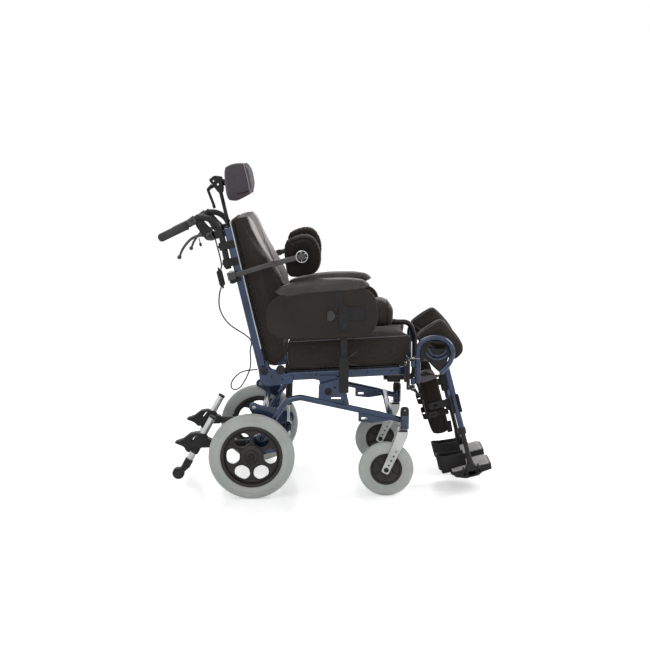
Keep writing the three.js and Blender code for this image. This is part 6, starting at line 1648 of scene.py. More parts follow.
@dataclass
class BackSupport(Assembly):
    """The reclining back: tubes, crosses, clamps, shell panel and its cushion."""

    half_width: float = 200.0
    socket_x: float = -30.0
    socket_plane: float = 236.0
    tube_x: float = -6.0
    bottom: float = -16.0
    top: float = 531.0

    def build_frame(self) -> None:
        """Both tubes with hinge bosses, cross tubes, the recline tabs and the handle clamps."""
        blue, dark, bolts = [], [], []
        for s in (-1, 1):
            y = s * self.half_width
            way = np.array([[self.tube_x, y, z] for z in (self.bottom, 260, self.top)])
            blue.append(carried(way, rounded(22, 30, 7), Y_WAY, ease=1.5))
            blue.append(turned(both_ways([(7.5, -11), (15, -11)]), (0, y, 0), Y_WAY, 36, ring=True))
            for z in (396, 458):
                dark.append(plate(rounded(60, 28, 6, -23, y), z, z + 28, 1.6, [circle(11.4, -38, y, 28)],
                                  Plane.LEVEL))
                bolts.append(button_bolt((-14, y + s * 14, z + 14), s * Y_WAY, 5.5, 3.5))
                bolts.append(button_bolt((-53, y, z + 14), -X_WAY, 5.5, 3.5))
            x, across = self.socket_x, s * self.socket_plane
            dark.append(rod((x, across, 338.8), (x, across, 349.6), 12.8, 32))
            dark.append(plate(rounded(30, 36, 4, -18, s * 218), 339, 349.6, 1.0, plane=Plane.LEVEL))
            bolts.append(rod((x, across, 344), (x, across, 379.5), 6, 24))
            bolts.append(button_bolt((x, across, 378.5), Z_WAY, 8, 4))
        lean = math.radians(BACK.lean)
        end = (-50 * math.sin(lean), -50 * math.cos(lean))
        blue += lug_pair(circle(15, *end, 36), SMALL_LUG, RECLINE_PLANE)
        for z in (62, 300, 506):
            blue.append(rod((self.tube_x, -self.half_width, z), (self.tube_x, self.half_width, z), 9, 28))
        tab = soften([(end[0] - 9, end[1] - 9), (end[0] + 9, end[1] - 9), (3, 62), (-15, 62)], 8, 5)
        blue += lug_pair(tab, SMALL_LUG, RECLINE_PLANE)
        bolts.append(rod((end[0], 57, end[1]), (end[0], 83, end[1]), 4.5, 20))
        stem = Headrest.stem_x
        dark.append(plate(rounded(30, 34, 5, stem, 0), 484, 528, 1.4, [circle(7.5, stem, 0, 28)], Plane.LEVEL))
        dark.append(turned([(4, 0), (11, 3), (12, 8), (11, 14), (6, 16)], (-32, 0, 506), -X_WAY, 32))
        self.add("back_tubes", weld(*blue).on(BACK), "back", NAVY_STEEL, ["back_frame"])
        self.add("back_clamps", weld(*dark).on(BACK), "back", BLACK_ABS)
        self.add("back_bolts", weld(*bolts).on(BACK), "back", DARK_BOLT)
        # Painted highlight: bright aluminium strips along the tubes' front edges stand in for the highlight there.
        strips = [plate(rounded(4.6, 26, 1.6, 7.0, s * 203), 80, 552, 0.6, plane=Plane.LEVEL) for s in (-1, 1)]
        self.add("back_edge_strips", weld(*strips).on(BACK), "back", SATIN_ALUMINIUM)
        panel = plate(rounded(392, 530, 24, 0, 291), 9.4, 15.4, 1.4, plane=Plane.FACING)
        self.add("back_shell_panel", panel.on(BACK), "back", BLACK_ABS, ["back_panel"])

    def cushion(self) -> None:
        """The cushion: thicker at the loins, with wings that hold the trunk, sewn across and along its wings."""
        rear, low, high, half = 15.8, 14.0, 568.0, 208.0

        def shape(x, y, z, u, v, w):
            """Places from the soft and the plain unit box."""
            rise = (z + 1) / 2
            depth = np.where(rise < 0.5, mix(74, 92, np.sin(rise * math.pi)), mix(92, 62, (rise - 0.5) * 2))
            hold = np.exp(-(((rise - 0.5) / 0.3) ** 2)) * (np.maximum(0, (np.abs(y) - 0.55) / 0.45) ** 0.8)
            front = depth + 54 * hold - 8
            run = (x + 1) / 2
            drop = 20 * (1 - smoothstep(0.0, 0.1, rise)) * (1 - smoothstep(0.25, 0.95, run))
            return np.column_stack([rear + 1 + run * front, y * (half - 5 - 3 * (1 - smoothstep(0.0, 0.1, rise))),
                                    low + 3 + rise * (high - low - 4) - drop])

        made = Upholstery(6.0, 4.0, 8.0).stuffed("back_upholstery", padding(shape, 0.085, 44).on(BACK))
        ahead, y, up = BACK.local(places_of(made)).T
        front = ahead > 45
        for z in (150, 300, 440):
            channel(made, np.where(front & (np.abs(y) < 130), np.abs(up - z), FAR), 7.0, 4.0)
        channel(made, np.where(front, np.abs(np.abs(y) - 132), FAR), 6.0, 4.0)
        ahead, y, up = BACK.local(places_of(made)).T
        set_places(made, BACK.place(np.column_stack([np.maximum(ahead, rear), y, up])))
        # Painted sheen and light: the wings' forward faces are made paler, most at the top and less on the middle
        # panel.
        lean = math.radians(BACK.lean)
        facing = normals_of(made) @ np.array([math.cos(lean), 0.0, math.sin(lean)])
        wing = 0.25 + 0.75 * smoothstep(122, 132, np.abs(y))
        paler = np.interp(up, [0, 120, 250, 330, 430, 560], [0.08, 0.1, 0.16, 0.38, 0.85, 1.0])
        pale_skin(made, wing * smoothstep(0.3, 0.8, facing) * paler)
        self.dress(made, "back", SPACER_KNIT, ["back_cushion"])

    def build(self) -> None:
        """Frame and cushion."""
        self.build_frame()
        self.cushion()


@dataclass
class Pommel(Assembly):
    """The pommel between the thighs: a padded wedge on a bent bar."""

    bar_x: float = 486.0
    bar_z: float = 392.0
    bar_length: float = 126.0
    bar_height: float = 214.0
    back: float = 398.0
    length: float = 117.0
    low: float = 588.0
    height: float = 116.0
    back_half: float = 44.0
    front_half: float = 62.0

    def build(self) -> None:
        """Bar, wedge and its piping."""
        shares = [(0, 0), (0.905, 0), (0.93, 0.2), (0.93, 0.72), (0.79, 0.99), (0.05, 0.99)]
        way = spread(self.bar_x, self.bar_z, self.bar_length, self.bar_height, shares)
        self.add("pommel_post", tube(bent([(x, 0, z) for x, z in way], 34, 10), 10, 24), "pommel", BLACK_STEEL,
                 ["pommel_bar"])

        def shape(x, y, z, u, v, w):
            """Places from the soft and the plain unit box: wider ahead, sloping down behind."""
            run, rise = (x + 1) / 2, (z + 1) / 2
            half = mix(self.back_half, self.front_half, run) * (1 - 0.1 * rise) - 3
            slope = run * 8 * (1 - rise) - (1 - run) ** 2 * rise * 30
            nose = smoothstep(0.45, 1.0, rise) * smoothstep(0.5, 1.0, run)
            return np.column_stack([self.back + run * (self.length + 6) - 15 * nose, y * half,
                                    self.low - 1 + rise * (self.height + 1) + slope - 13 * nose])

        made = Upholstery(4.0, 4.0, 7.0).stuffed("pommel_upholstery", padding(shape, 0.32, 30))
        heart = np.array([self.back + self.length * 0.84, 0, self.low + self.height * 0.5])
        ring = circle(40, count=90)
        place = heart + np.column_stack([np.zeros(90), ring])
        loop = sewn(made, place, np.tile(heart, (90, 1)), 0.4, 4.0, 2.0)
        # The cloth is made a little paler all over, its own tone, and paler still on upward faces: painted light from
        # above.
        pale_skin(made, 0.05 + 0.18 * smoothstep(0.3, 0.9, normals_of(made)[:, 2]))
        self.dress(made, "pommel", SPACER_KNIT, ["pommel_pad"])
        self.add("pommel_piping", woven_loop(loop, 0.9, 8), "pommel", STRAP)


@dataclass
class Armrests(Assembly):
    """Height adjustable arms: post, rounded side panel with its knob and plain plate, and leaf-shaped pad."""

    plane: float = 257.0
    post_x: float = 332.0
    panel: tuple[float, float, float, float] = (56.0, 577.0, 399.0, 176.0)
    panel_inner: float = 263.6
    panel_outer: float = 277.6
    pad_x: float = 85.0
    pad_length: float = 338.0
    slope: float = 0.1
    left_drop: float = 30.0
    left_forward: float = 24.0

    def panel_shell(self, side: Side) -> tuple[Surface, Surface, Surface]:
        """Panel with its rolled rim, the dark fittings on it, and its knob and rivets, drawn for the right side."""
        corner = (0.985, 1.09) if side is Side.RIGHT else (1.0, 0.98)
        outline = soften(spread(*self.panel, [(0, 0.0), (1, 0.06), corner, (0, 0.9)]), 82, 22)
        y0, y1 = -self.panel_inner, -self.panel_outer
        board = plate(outline, y0, y1, 3.2)
        # A dark cover under the arm pad, over the post's channel: partly a real cover, its darker colour painted
        # shade under the pad and in the channel.
        shaded_post_cover = plate(rounded(31, 62, 4, 315.5, 720), y1 - 1.6, y1 + 1, 1.0)
        bracket = plate(rounded(36, 92, 5, 331, 657), y1 - 3.2, y1 + 1, 1.2)
        badge = plate(rounded(66, 50, 5, 374, 672), y1 - 3.0, y1 + 1, 1.0)
        bend = np.linspace(-2.1, 2.1, 24)
        rim = [(281 + 19 * math.cos(a), 665 + 19 * math.sin(a)) for a in bend]
        knob = plate(np.array(rim), y1 - 12, y1 + 1, 2.2)
        stalk = rod((300, y1 - 4, 665), (314, y1 - 4, 665), 4, 16)
        rivets = [button_bolt((x, y1 - 3, z), -Y_WAY, 2.4, 1.2) for x, z in ((345, 691), (345, 653))]
        rivets += [button_bolt((331, y1 - 3.2, z), -Y_WAY, 4.2, 2.4) for z in (630, 684)]
        return board, weld(shaded_post_cover, bracket, badge, stalk), weld(knob, *rivets)

    def pad_form(self) -> Surface:
        """The arm pad of the right side: pointed behind, thickest ahead of the middle, blunt in front."""
        runs = np.array([0.0, 0.06, 0.14, 0.3, 0.55, 0.8, 0.93, 1.0])
        under = np.array([741.0, 731, 729, 740, 748, 754, 758, 761])
        over = np.array([752.0, 767, 776, 787, 795, 797, 792, 783])
        half = np.array([14.0, 20, 25, 29, 30, 30, 29, 27])

        def shape(x, y, z, u, v, w):
            """Places from the soft unit box, by the run along the pad."""
            run, rise = (x + 1) / 2, (z + 1) / 2
            low, high, wide = (np.interp(run, runs, row) for row in (under, over, half))
            return np.column_stack([self.pad_x + run * self.pad_length, y * wide - self.plane, mix(low, high, rise)])

        return padding(shape, 0.34, 34)

    def wrinkle(self, made: Object) -> None:
        """Slanted wrinkles along the lower outer edge: waves along x - 1.3 z, strongest low and near the ends."""
        at = places_of(made)
        under = np.interp(at[:, 0] - self.pad_x, [0, 47, 186, 338], [732, 729, 748, 764])
        low = np.exp(-(((at[:, 2] - under - 12) / 11) ** 2))
        ends = 0.35 + 0.65 * (np.exp(-(((at[:, 0] - 150) / 55) ** 2)) + np.exp(-(((at[:, 0] - 385) / 50) ** 2)))
        wave = np.sin((at[:, 0] - 1.3 * at[:, 2]) / 3.4 + 1.5 * np.sin(at[:, 0] / 37))
        side = np.clip(np.abs(at[:, 1] + self.plane) / 26, 0, 1) ** 2
        move = 1.1 * low * ends * wave * side * MM
        set_points(made, points_of(made) + normals_of(made) * move[:, None])

    def build(self) -> None:
        """Both arms; the left one stands lower and further forward, as it was set."""
        y = -self.plane
        post = plate(rounded(24, 12, 2.5, self.post_x, y), 398, 749.6, 1.2, plane=Plane.LEVEL)
        holes = [button_bolt((self.post_x, y - 5.6, z), -Y_WAY, 3.4, 1.0) for z in np.arange(412, 576, 18)]
        for side in Side:
            drop, ahead = (-self.left_drop, self.left_forward) if side is Side.LEFT else (0.0, 0.0)
            name, body = side.label, f"{side.label}_armrest"
            board, dark, bright = self.panel_shell(side)
            self.add_rows(side, Stand(z=drop), [
                ("*_arm_post", post, body, BLACK_STEEL, "*_armrest_post"),
                ("*_arm_post_stops", weld(*holes), body, DARK_BOLT)])
            self.add_rows(side, Stand(ahead, drop), [
                ("*_arm_board", board, body, PANEL_ABS, "*_side_panel"), ("*_arm_fittings", dark, body, BLACK_ABS),
                ("*_arm_knob", bright, body, GRIP_RUBBER)])
            made = Upholstery(3.5, 3.0, 4.0).stuffed(f"{name}_arm_cushion", self.pad_form())
            self.wrinkle(made)
            along = np.linspace(96, 412, 120)
            heights = np.interp(along, [96, 180, 300, 412], [748, 757, 771, 772])
            heart = np.column_stack([along, np.full(120, y), heights])
            sewn(made, heart - 20.0 * Y_WAY, heart, 0.2, 3.0, 1.2)
            set_places(made, places_of(made) + np.array([ahead, 0, drop + ahead * self.slope]))
            swap_side(made, side)
            self.dress(made, body, ARM_SKIN, [f"{name}_armrest_pad"])


@dataclass
class Legrests(Assembly):
    """Elevating legrests: bracket, hooked hanger, knee pad, leg tube, calf pad, foot tube and footplate."""

    plane: float = 238.0
    leg_plane: float = 214.0
    foot_x: float = 22.0
    foot_z: float = -462.0

    def bracket(self) -> tuple[Surface, Surface]:
        """The hinge bracket on the seat: upright, two ears, catch, and its bright pins."""
        y = -self.plane
        upright = plate(rounded(12, 22, 2.5, 564, y), 391, 507, 1.4, plane=Plane.LEVEL)
        ears = [plate(rounded(31, 14, 6.8, 573.5, y), z - 4.5, z + 4.5, 1.2, plane=Plane.LEVEL) for z in (402, 500)]
        catch = plate(soften([(570, 397), (590, 397), (601, 380), (596, 372), (585, 384), (572, 388)], 3, 4), y - 3,
                      y + 3, 1.0)
        knob = turned([(3, 0), (6.5, 2), (7, 6), (6, 9), (3, 10)], (597, y - 3, 376), -Y_WAY, 20)
        pins = [rod((582, y, a), (582, y, a + 30), 5, 20) for a in (396, 478)]
        pins += [button_bolt((582, y, 504.4), Z_WAY, 7.5, 4), hex_nut((582, y, 397.6), -Z_WAY, 7, 5)]
        pins += [button_bolt((566, y - 10.6, z), -Y_WAY, 3, 2) for z in (404, 500)]
        pins.append(rod((568, y - 9, 505), (606, y - 9, 505), 1.4, 12))
        return weld(upright, *ears, catch, knob), weld(*pins)

    def hanger(self) -> tuple[Surface, Surface, Surface]:
        """The hooked tube with its ribs in blue, the mechanism's web in black, and bright bolts."""
        y = -self.plane
        way = [(600, 416), (599, 480), (599, 535), (610, 562), (634, 576), (662, 580), (690, 574), (711, 558),
               (722, 535), (721, 512), (712, 488), (697, 468), (679, 451)]
        hook = tube(flowing([(x, y, z) for x, z in way], 80), 9.4, 26)
        sleeve = weld(*[turned([(5.3, a), (8.2, a), (9, a + 1), (9, a + 20), (8.2, a + 21), (5.3, a + 21)],
                               (582, y, 0), Z_WAY, 28, ring=True)
                        for a in (411, 474)])
        tabs = [plate(rounded(18, 9, 2, 591, y), z - 4, z + 4, 0.8, plane=Plane.LEVEL) for z in (424, 482)]
        ribs = []
        for radius, first, last, width in ((33, 192, 338, 6), (46, 206, 318, 7)):
            turn = np.radians(np.linspace(first, last, 24))
            arc = np.column_stack([668 + radius * np.cos(turn), np.full(24, y - 5.0), 548 + radius * np.sin(turn)])
            ribs.append(carried(arc, rounded(8, width, 2.6), Y_WAY, ease=1.0))
        pin = rod((LEG.x, y, LEG.z), (LEG.x, -226, LEG.z), 15, 32)
        stub = rod((646, y, 574), (646, -200.6, 574), 7, 20)
        outline = soften([(604, 487), (604, 544), (634, 570), (690, 567), (714, 525), (701, 488), (676, 455),
                          (664, 464), (646, 482), (628, 505), (616, 500)], 10, 5)
        void = soften([(626, 556), (640, 562), (694, 556), (704, 546), (684, 538), (652, 540), (634, 544)], 5, 4)
        web = plate(outline, y + 4, y - 2, 0.8, [void])
        post = weld(web, rod((LEG.x, y - 6, LEG.z), (LEG.x, y + 4, LEG.z), 11, 24),
                    plate(soften([(620, 540), (634, 556), (652, 512), (640, 500)], 4, 4), y + 2, y - 7, 1.0))
        bolts = weld(button_bolt((LEG.x, y - 6, LEG.z), -Y_WAY, 4, 2),
                     button_bolt((629, y - 7, 545), -Y_WAY, 2.4, 1.6),
                     rod((LEG.x, -238, LEG.z), (LEG.x, -203.4, LEG.z), 7.7, 24))
        return weld(hook, sleeve, *tabs, *ribs, pin, stub), post, bolts

    def knee_pad(self, name: str, side: Side) -> None:
        """The padded rhomboid beside the knee, piped round both rims."""
        outline = soften(spread(590, 484, 180, 156, [(0, 0.603), (0.144, 0.75), (0.472, 1), (0.578, 0.987),
                                                     (0.972, 0.455), (1, 0.301), (0.972, 0.179), (0.794, 0)]), 24, 9)
        made = Upholstery(4.0, 4.0, 6.0).stuffed(f"{name}_knee_cushion",
                                                 pillow(inset(anticlockwise(outline), 2), -197.5, -142.5, 16, 1.0))
        middle = outline.mean(axis=0)
        loop = soften(middle + (outline - middle) * 0.96, 2, 1)[::2]
        body = f"{name}_legrest_hanger"
        for level, word in ((-190.0, "outer"), (-150.0, "inner")):
            heart, place = (at_plane(middle + (loop - middle) * share, level) for share in (0.5, 0.8))
            found = sewn(made, place, heart, 0.3, 3.0, 1.4)
            self.add(f"{name}_knee_piping_{word}", woven_loop(found, 1.5, 8).to_side(side), body, PIPING)
        swap_side(made, side)
        self.dress(made, body, SPACER_KNIT, [f"{name}_knee_pad"])

    def leg(self) -> tuple[Surface, Surface, Surface]:
        """The leg tube in blue, its eye, clamp, collar and slotted arm in black, and bright bolts."""
        y = -self.leg_plane
        pipe = tube(bent([(0, y, 0), (24, y, -44), (24, y, -292)], 26, 10), 11, 26)
        eye = turned(both_ways([(8.2, -11), (16, -11), (17, -10)]), (0, y, 0), Y_WAY, 36, ring=True)
        clamp = plate(soften([(7, -232), (41, -232), (41, -166), (7, -166)], 4, 5), y - 7, y + 13, 1.6)
        cheeks = [plate(soften([(a, -232), (b, -232), (b, -166), (a, -166)], 2.5, 4), y - 13, y + 2, 1.4)
                  for a, b in ((6, 13), (35, 42))]
        arm = plate(soften([(-72, -203), (24, -203), (24, -177), (-72, -177)], 9, 6), -195.4, -200.4, 0.8,
                    [rounded(24, 9, 4.4, -52, -190)])
        bridge = plate(rounded(18, 26, 2, 15, -190), -200, y + 4, 0.8)
        collar = turned([(8.9, -290), (12.6, -290), (14, -292), (14, -312), (12.6, -314), (8.9, -314)], (24, y, 0),
                        Z_WAY, 32, ring=True)
        lock = plate(soften([(10, -292), (24, -292), (24, -312), (5, -308)], 3, 4), y - 8, y + 8, 1.2)
        bolts = [button_bolt((x, -200.2, -190), -Y_WAY, r, 2.6) for x, r in ((-22, 5), (-4, 4))]
        bolts += [button_bolt((9.5, y - 12.8, z), -Y_WAY, 2.4, 1.4) for z in (-176, -222)]
        return weld(pipe, eye), weld(clamp, *cheeks, arm, bridge, collar, lock), weld(*bolts)

    def calf_pad(self, name: str, side: Side) -> None:
        """The calf pad with its folded top strap, the strap round it, rear tabs and hanging tab."""
        def shape(x, y, z, u, v, w):
            """Places from the soft and the plain unit box, hollowed in front where the calf lies."""
            hollow = np.where(x > 0, -12 * (1 - y * y) * x, 0)
            return np.column_stack([-47 + x * 34 + hollow, -135.5 + y * 56, -187 + z * 121])

        body = f"{name}_calf_pad"
        made = Upholstery(4.0, 4.0, 6.0).stuffed(f"{name}_calf_cushion", padding(shape, 0.26, 30).on(LEG))
        loop = rounded(98, 122, 16, -50, -135.5, 8)
        loop[:, 0] = np.minimum(loop[:, 0], -8.5)
        straps = [plate(inset(anticlockwise(loop), -2.2), -233, -211, 0.8, [loop], Plane.LEVEL)]
        straps += [plate(rounded(10, 62, 3, -84, -135.5), z - 7, z + 7, 1.0, plane=Plane.LEVEL) for z in (-132, -158)]
        tab = plate(soften([(-28, -300), (-9, -300), (-6, -258), (-26, -258)], 3, 4), -196, -199, 0.8)
        fold = plate(soften([(-78, -72), (-12, -82), (-12, -92), (-60, -98), (-79, -96)], 4, 4), -187, -196.6, 1.6)
        buckle = plate(rounded(30, 22, 4, -64, -221), -195.6, -199.5, 1.0, [rounded(18, 6, 2, -64, -221)])
        pivot = rod((-59, -185, -190), (-59, -201.5, -190), 5.8, 20)
        swap_side(made, side)
        self.dress(made, body, DARK_KNIT, [body])
        self.add_rows(side, LEG, [
            ("*_calf_straps", weld(*straps, tab), body, STRAP), ("*_calf_fold", fold, body, PIPING),
            ("*_calf_buckle", weld(buckle, pivot), body, BLACK_ABS)])

    def foot_tube(self) -> tuple[Surface, Surface]:
        """The sliding tube with its hinge block of three upright lugs, and the bright hinge pin."""
        y, x, z = -self.leg_plane, self.foot_x, self.foot_z
        inner = rod((24, y, -158), (24, y, -444), 8.5, 28)
        flare = turned([(8.6, -396), (10.5, -410), (12, -424), (12.5, -446), (8, -448)], (24, y, 0), Z_WAY, 28)
        block = plate(soften([(0, -471), (44, -471), (44, -445), (34, -428), (14, -428), (0, -445)], 5, 5), -203,
                      -226, 1.6)
        wide = plate(rounded((23.4 + 8) * 2, 18, 3, x, z), -203, -226, 1.2)
        outline = soften([(-226, -471), (-183.5, -471), (-183.5, -460), (-187, -453.6), (-198, -452.2),
                          (-203.5, -446), (-209, -436), (-226, -438)], [6, 6, 3, 3, 2, 2, 3, 6], 5)
        lugs = [plate(outline, x + s * 23.4, x + s * 31.4, 1.2, plane=Plane.FACING) for s in (-1, 1)]
        ribs = [plate(soften([(-226.5, -470), (-214, -470), (-214, -430), (-226.5, -440)], 3, 4), a, a + 5, 0.8,
                      plane=Plane.FACING) for a in (4, 34)]
        pin = weld(rod((x - 32, -192, z), (x + 32, -192, z), 5, 20),
                   *[button_bolt((x + s * 31.4, -192, z), s * X_WAY, 7, 3) for s in (-1, 1)],
                   button_bolt((24, -225.8, -452), -Y_WAY, 5.5, 3), button_bolt((24, y - 8.2, -360), -Y_WAY, 3, 1.6),
                   button_bolt((24, y - 8.2, -382), -Y_WAY, 3, 1.6))
        return weld(inner, flare, block, wide, *lugs, *ribs), pin

    def footplate(self) -> tuple[Surface, Surface]:
        """The black tray with its skirt, tongue, barrel and heel cup, and the grey anti-slip mat."""
        x, z = self.foot_x, self.foot_z
        tray = plate(rounded(153, 143, 20, 24.5, -109.5, 8), z - 6, z + 5, 1.6, plane=Plane.LEVEL)
        skirt_line = soften([(-48, -458), (98, -458), (99, -478), (62, -481), (46, -490), (-2, -490), (-40, -476)], 6,
                            5)
        skirts = [plate(skirt_line, y, y + 6, 1.0) for y in (-180.6, -44.6)]
        ribs = [plate(soften([(-44, -462), (94, -462), (60, -476), (-30, -474)], 4, 4), y, y + 4, 0.8)
                for y in (-146, -112, -78)]
        nose = plate(rounded(108, 17, 3, -109.5, -470), 92, 98, 1.0, plane=Plane.FACING)
        barrel = turned(both_ways([(5.3, -23), (8.2, -23), (9, -22)]), (x, -192, z), X_WAY, 28, ring=True)
        tongue = plate(rounded(44, 14, 2, x, -183.5), z - 5, z + 5, 0.8, plane=Plane.LEVEL)
        plan = bent([(14, -126, 0), (-62, -128, 0), (-88, -122, 0), (-88, -76, 0), (-62, -70, 0), (14, -72, 0)], 20,
                    10)
        wall = carried(plan + np.array([0, 0, z + 25]), rounded(62, 4, 1.8), Z_WAY)
        reach = np.clip((-8 - wall.points[:, 0]) / 80, 0, 1)
        high = wall.points[:, 2] > z + 25
        wall.points[:, 2] += np.where(high, 12 * reach**2 - 4 * (1 - reach), 16 * reach**3)
        sole = plate(soften([(-20, -70), (-82, -74), (-82, -122), (-20, -127)], 12, 5), z - 6, z - 2, 0.6,
                     plane=Plane.LEVEL)
        mat = plate(rounded(141, 131, 16, 24.5, -109.5, 8), z + 4, z + 8.2, 1.2, plane=Plane.LEVEL)
        lips = [plate(rounded(120, 3.2, 1.5, 24.5, -109.5 + k * 13), z + 7.2, z + 8.9, 0.6, plane=Plane.LEVEL)
                for k in range(-4, 5)]
        return weld(tray, *skirts, *ribs, nose, barrel, tongue, wall, sole), weld(mat, *lips)

    def build(self) -> None:
        """Both legrests."""
        bracket, pins = self.bracket()
        hook, web, bolts = self.hanger()
        pipe, clamp, screws = self.leg()
        slide, hinge = self.foot_tube()
        tray, mat = self.footplate()
        for side in Side:
            self.add_rows(side, LEVEL, [
                ("*_hinge_bracket", bracket, "seat", BLACK_STEEL, "*_legrest_bracket"),
                ("*_hinge_pins", pins, "seat", ZINC_STEEL),
                ("*_hook_tube", hook, "*_legrest_hanger", NAVY_STEEL, "*_legrest_hanger"),
                ("*_hook_web", web, "*_legrest_hanger", BLACK_ABS),
                ("*_hook_bolts", bolts, "*_legrest_hanger", DARK_BOLT)])
            self.knee_pad(side.label, side)
            self.add_rows(side, LEG, [
                ("*_leg_pipe", pipe, "*_leg", NAVY_STEEL, "*_leg_tube"), ("*_leg_clamp", clamp, "*_leg", BLACK_ABS),
                ("*_leg_screws", screws, "*_leg", DARK_BOLT)])
            self.calf_pad(side.label, side)
            self.add_rows(side, LEG, [
                ("*_foot_slide", slide, "*_foot_tube", BLACK_STEEL, "*_foot_tube"),
                ("*_foot_hinge_pin", hinge, "*_foot_tube", DARK_BOLT),
                ("*_foot_tray", tray, "*_footplate", BLACK_ABS, "*_footplate"),
                ("*_foot_mat", mat, "*_footplate", FOOT_GREY)])


@dataclass
class PushHandles(Assembly):
    """The push handles with ribbed grips, clamps and lever housings, and the hand levers."""

    half_width: float = 200.0
    radius: float = 11.0
    pivot: tuple[float, float] = (-75.0, 518.0)

    def grip(self) -> Surface:
        """The ribbed rubber grip from its collar to its rounded end."""
        start, end = np.array([-146.0, 574.0]), np.array([-254.0, 550.0])
        reach = float(np.linalg.norm(end - start))
        axis = np.array([(end - start)[0] / reach, 0, (end - start)[1] / reach])
        rows = [(11.2, 0), (16, 0), (17, 1.5), (17, 5), (16, 7), (14.2, 8)]
        along = np.linspace(9, reach - 9, 150)
        rows += [(float(14.8 + 0.8 * abs(math.sin(a * math.pi / 5.0)) ** 0.5), float(a)) for a in along]
        rows += [(15.2, reach - 8), (14.2, reach - 3.5), (12, reach), (8.6, reach + 2.6), (4.6, reach + 4),
                 (0.3, reach + 4.4)]
        return turned(rows, (start[0], -self.half_width, start[1]), axis, 40)

    def build(self) -> None:
        """Both handles and levers."""
        y = -self.half_width
        way = flowing([(-39, y, 393), (-37, y, 450), (-35, y, 510), (-39, y, 542), (-52, y, 566), (-74, y, 583),
                       (-102, y, 590), (-126, y, 584), (-147, y, 573.5), (-190, y, 564), (-240, y, 552.6)], 90)
        pipe = tube(way, self.radius, 28)
        plug = turned([(11, 0), (11, 3), (9, 5), (0.3, 5.4)], (-39, y, 393.4), -Z_WAY, 28)
        clamp = carried(np.array([(-142, y, 576), (-128, y, 583), (-112, y, 590)]), rounded(29, 28, 9), Y_WAY,
                        ease=2.0)
        strap = carried(np.array([(-104, y, 590), (-97, y, 591)]), circle(13.5, count=28), Y_WAY, ease=1.2)
        housing = plate(soften([(-112, 580), (-88, 582), (-72, 552), (-58, 531), (-58, 505), (-84, 503), (-92, 508),
                                (-104, 534), (-116, 566)], 8, 6), y - 11, y + 11, 2.4)
        bridge = plate(soften([(-70, 532), (-34, 532), (-26, 520), (-34, 503), (-62, 503)], 6, 5), y - 13, y + 13,
                       2.0)
        cheeks = [plate(soften([(-88, 530), (-58, 534), (-56, 503), (-70, 500), (-90, 506)], 5, 5), y + s * 6,
                        y + s * 13, 1.0) for s in (-1, 1)]
        barrel = turned([(5.5, 0), (6, 1), (6, 10), (4.4, 11), (4.4, 20), (3, 21)], (-34, y, 510),
                        np.array([0.25, 0, -0.97]), 20)
        levers = weld(*cheeks, clamp, barrel)
        px, pz = self.pivot
        bolts = weld(button_bolt((px, y - 13, pz), -Y_WAY, 6, 3), button_bolt((px, y + 13, pz), Y_WAY, 6, 3),
                     rod((px, y - 12, pz), (px, y + 12, pz), 4, 16),
                     button_bolt((-124, y - 15, 586), -Y_WAY, 4.5, 3),
                     button_bolt((-92, y - 11, 560), -Y_WAY, 3.5, 2))
        shares = [(0, 0), (0.29, -0.2), (0.56, -0.08), (0.83, 0.43), (1, 1)]
        line = [(px - a * 126, y, pz - b * 49) for a, b in shares]
        blade = carried(flowing(line, 40), rounded(8, 10, 3), Y_WAY, np.linspace(1.15, 0.8, 40), 1.0)
        ball = turned(both_ways([(0.3, -8), (4, -7), (6.9, -4), (8, 0)]), (-201, y, 469), Y_WAY, 28)
        eye = turned(both_ways([(4.3, -4), (8.4, -4), (8.8, -3)]), (px, y, pz), Y_WAY, 28, ring=True)
        hanger = turned([(1.6, 0), (1.6, 16), (4.2, 19), (5, 24), (4.2, 29), (1, 31)], (-116, y, 520), -Z_WAY, 18)
        for side in Side:
            self.add_rows(side, BACK, [
                ("*_handle_tube", weld(pipe, plug), "*_push_handle", BLACK_STEEL, "*_push_handle"),
                ("*_handle_housing", weld(housing, bridge, strap, hanger), "*_push_handle", BLACK_ABS),
                ("*_handle_clamp", levers, "*_push_handle", CAST_GREY),
                ("*_handle_bolts", bolts, "*_push_handle", DARK_BOLT),
                ("*_handle_grip", self.grip(), "*_push_handle", GRIP_RUBBER),
                ("*_brake_lever", weld(blade, ball, eye), "*_hand_lever", GREY_ALLOY, "*_hand_lever")])


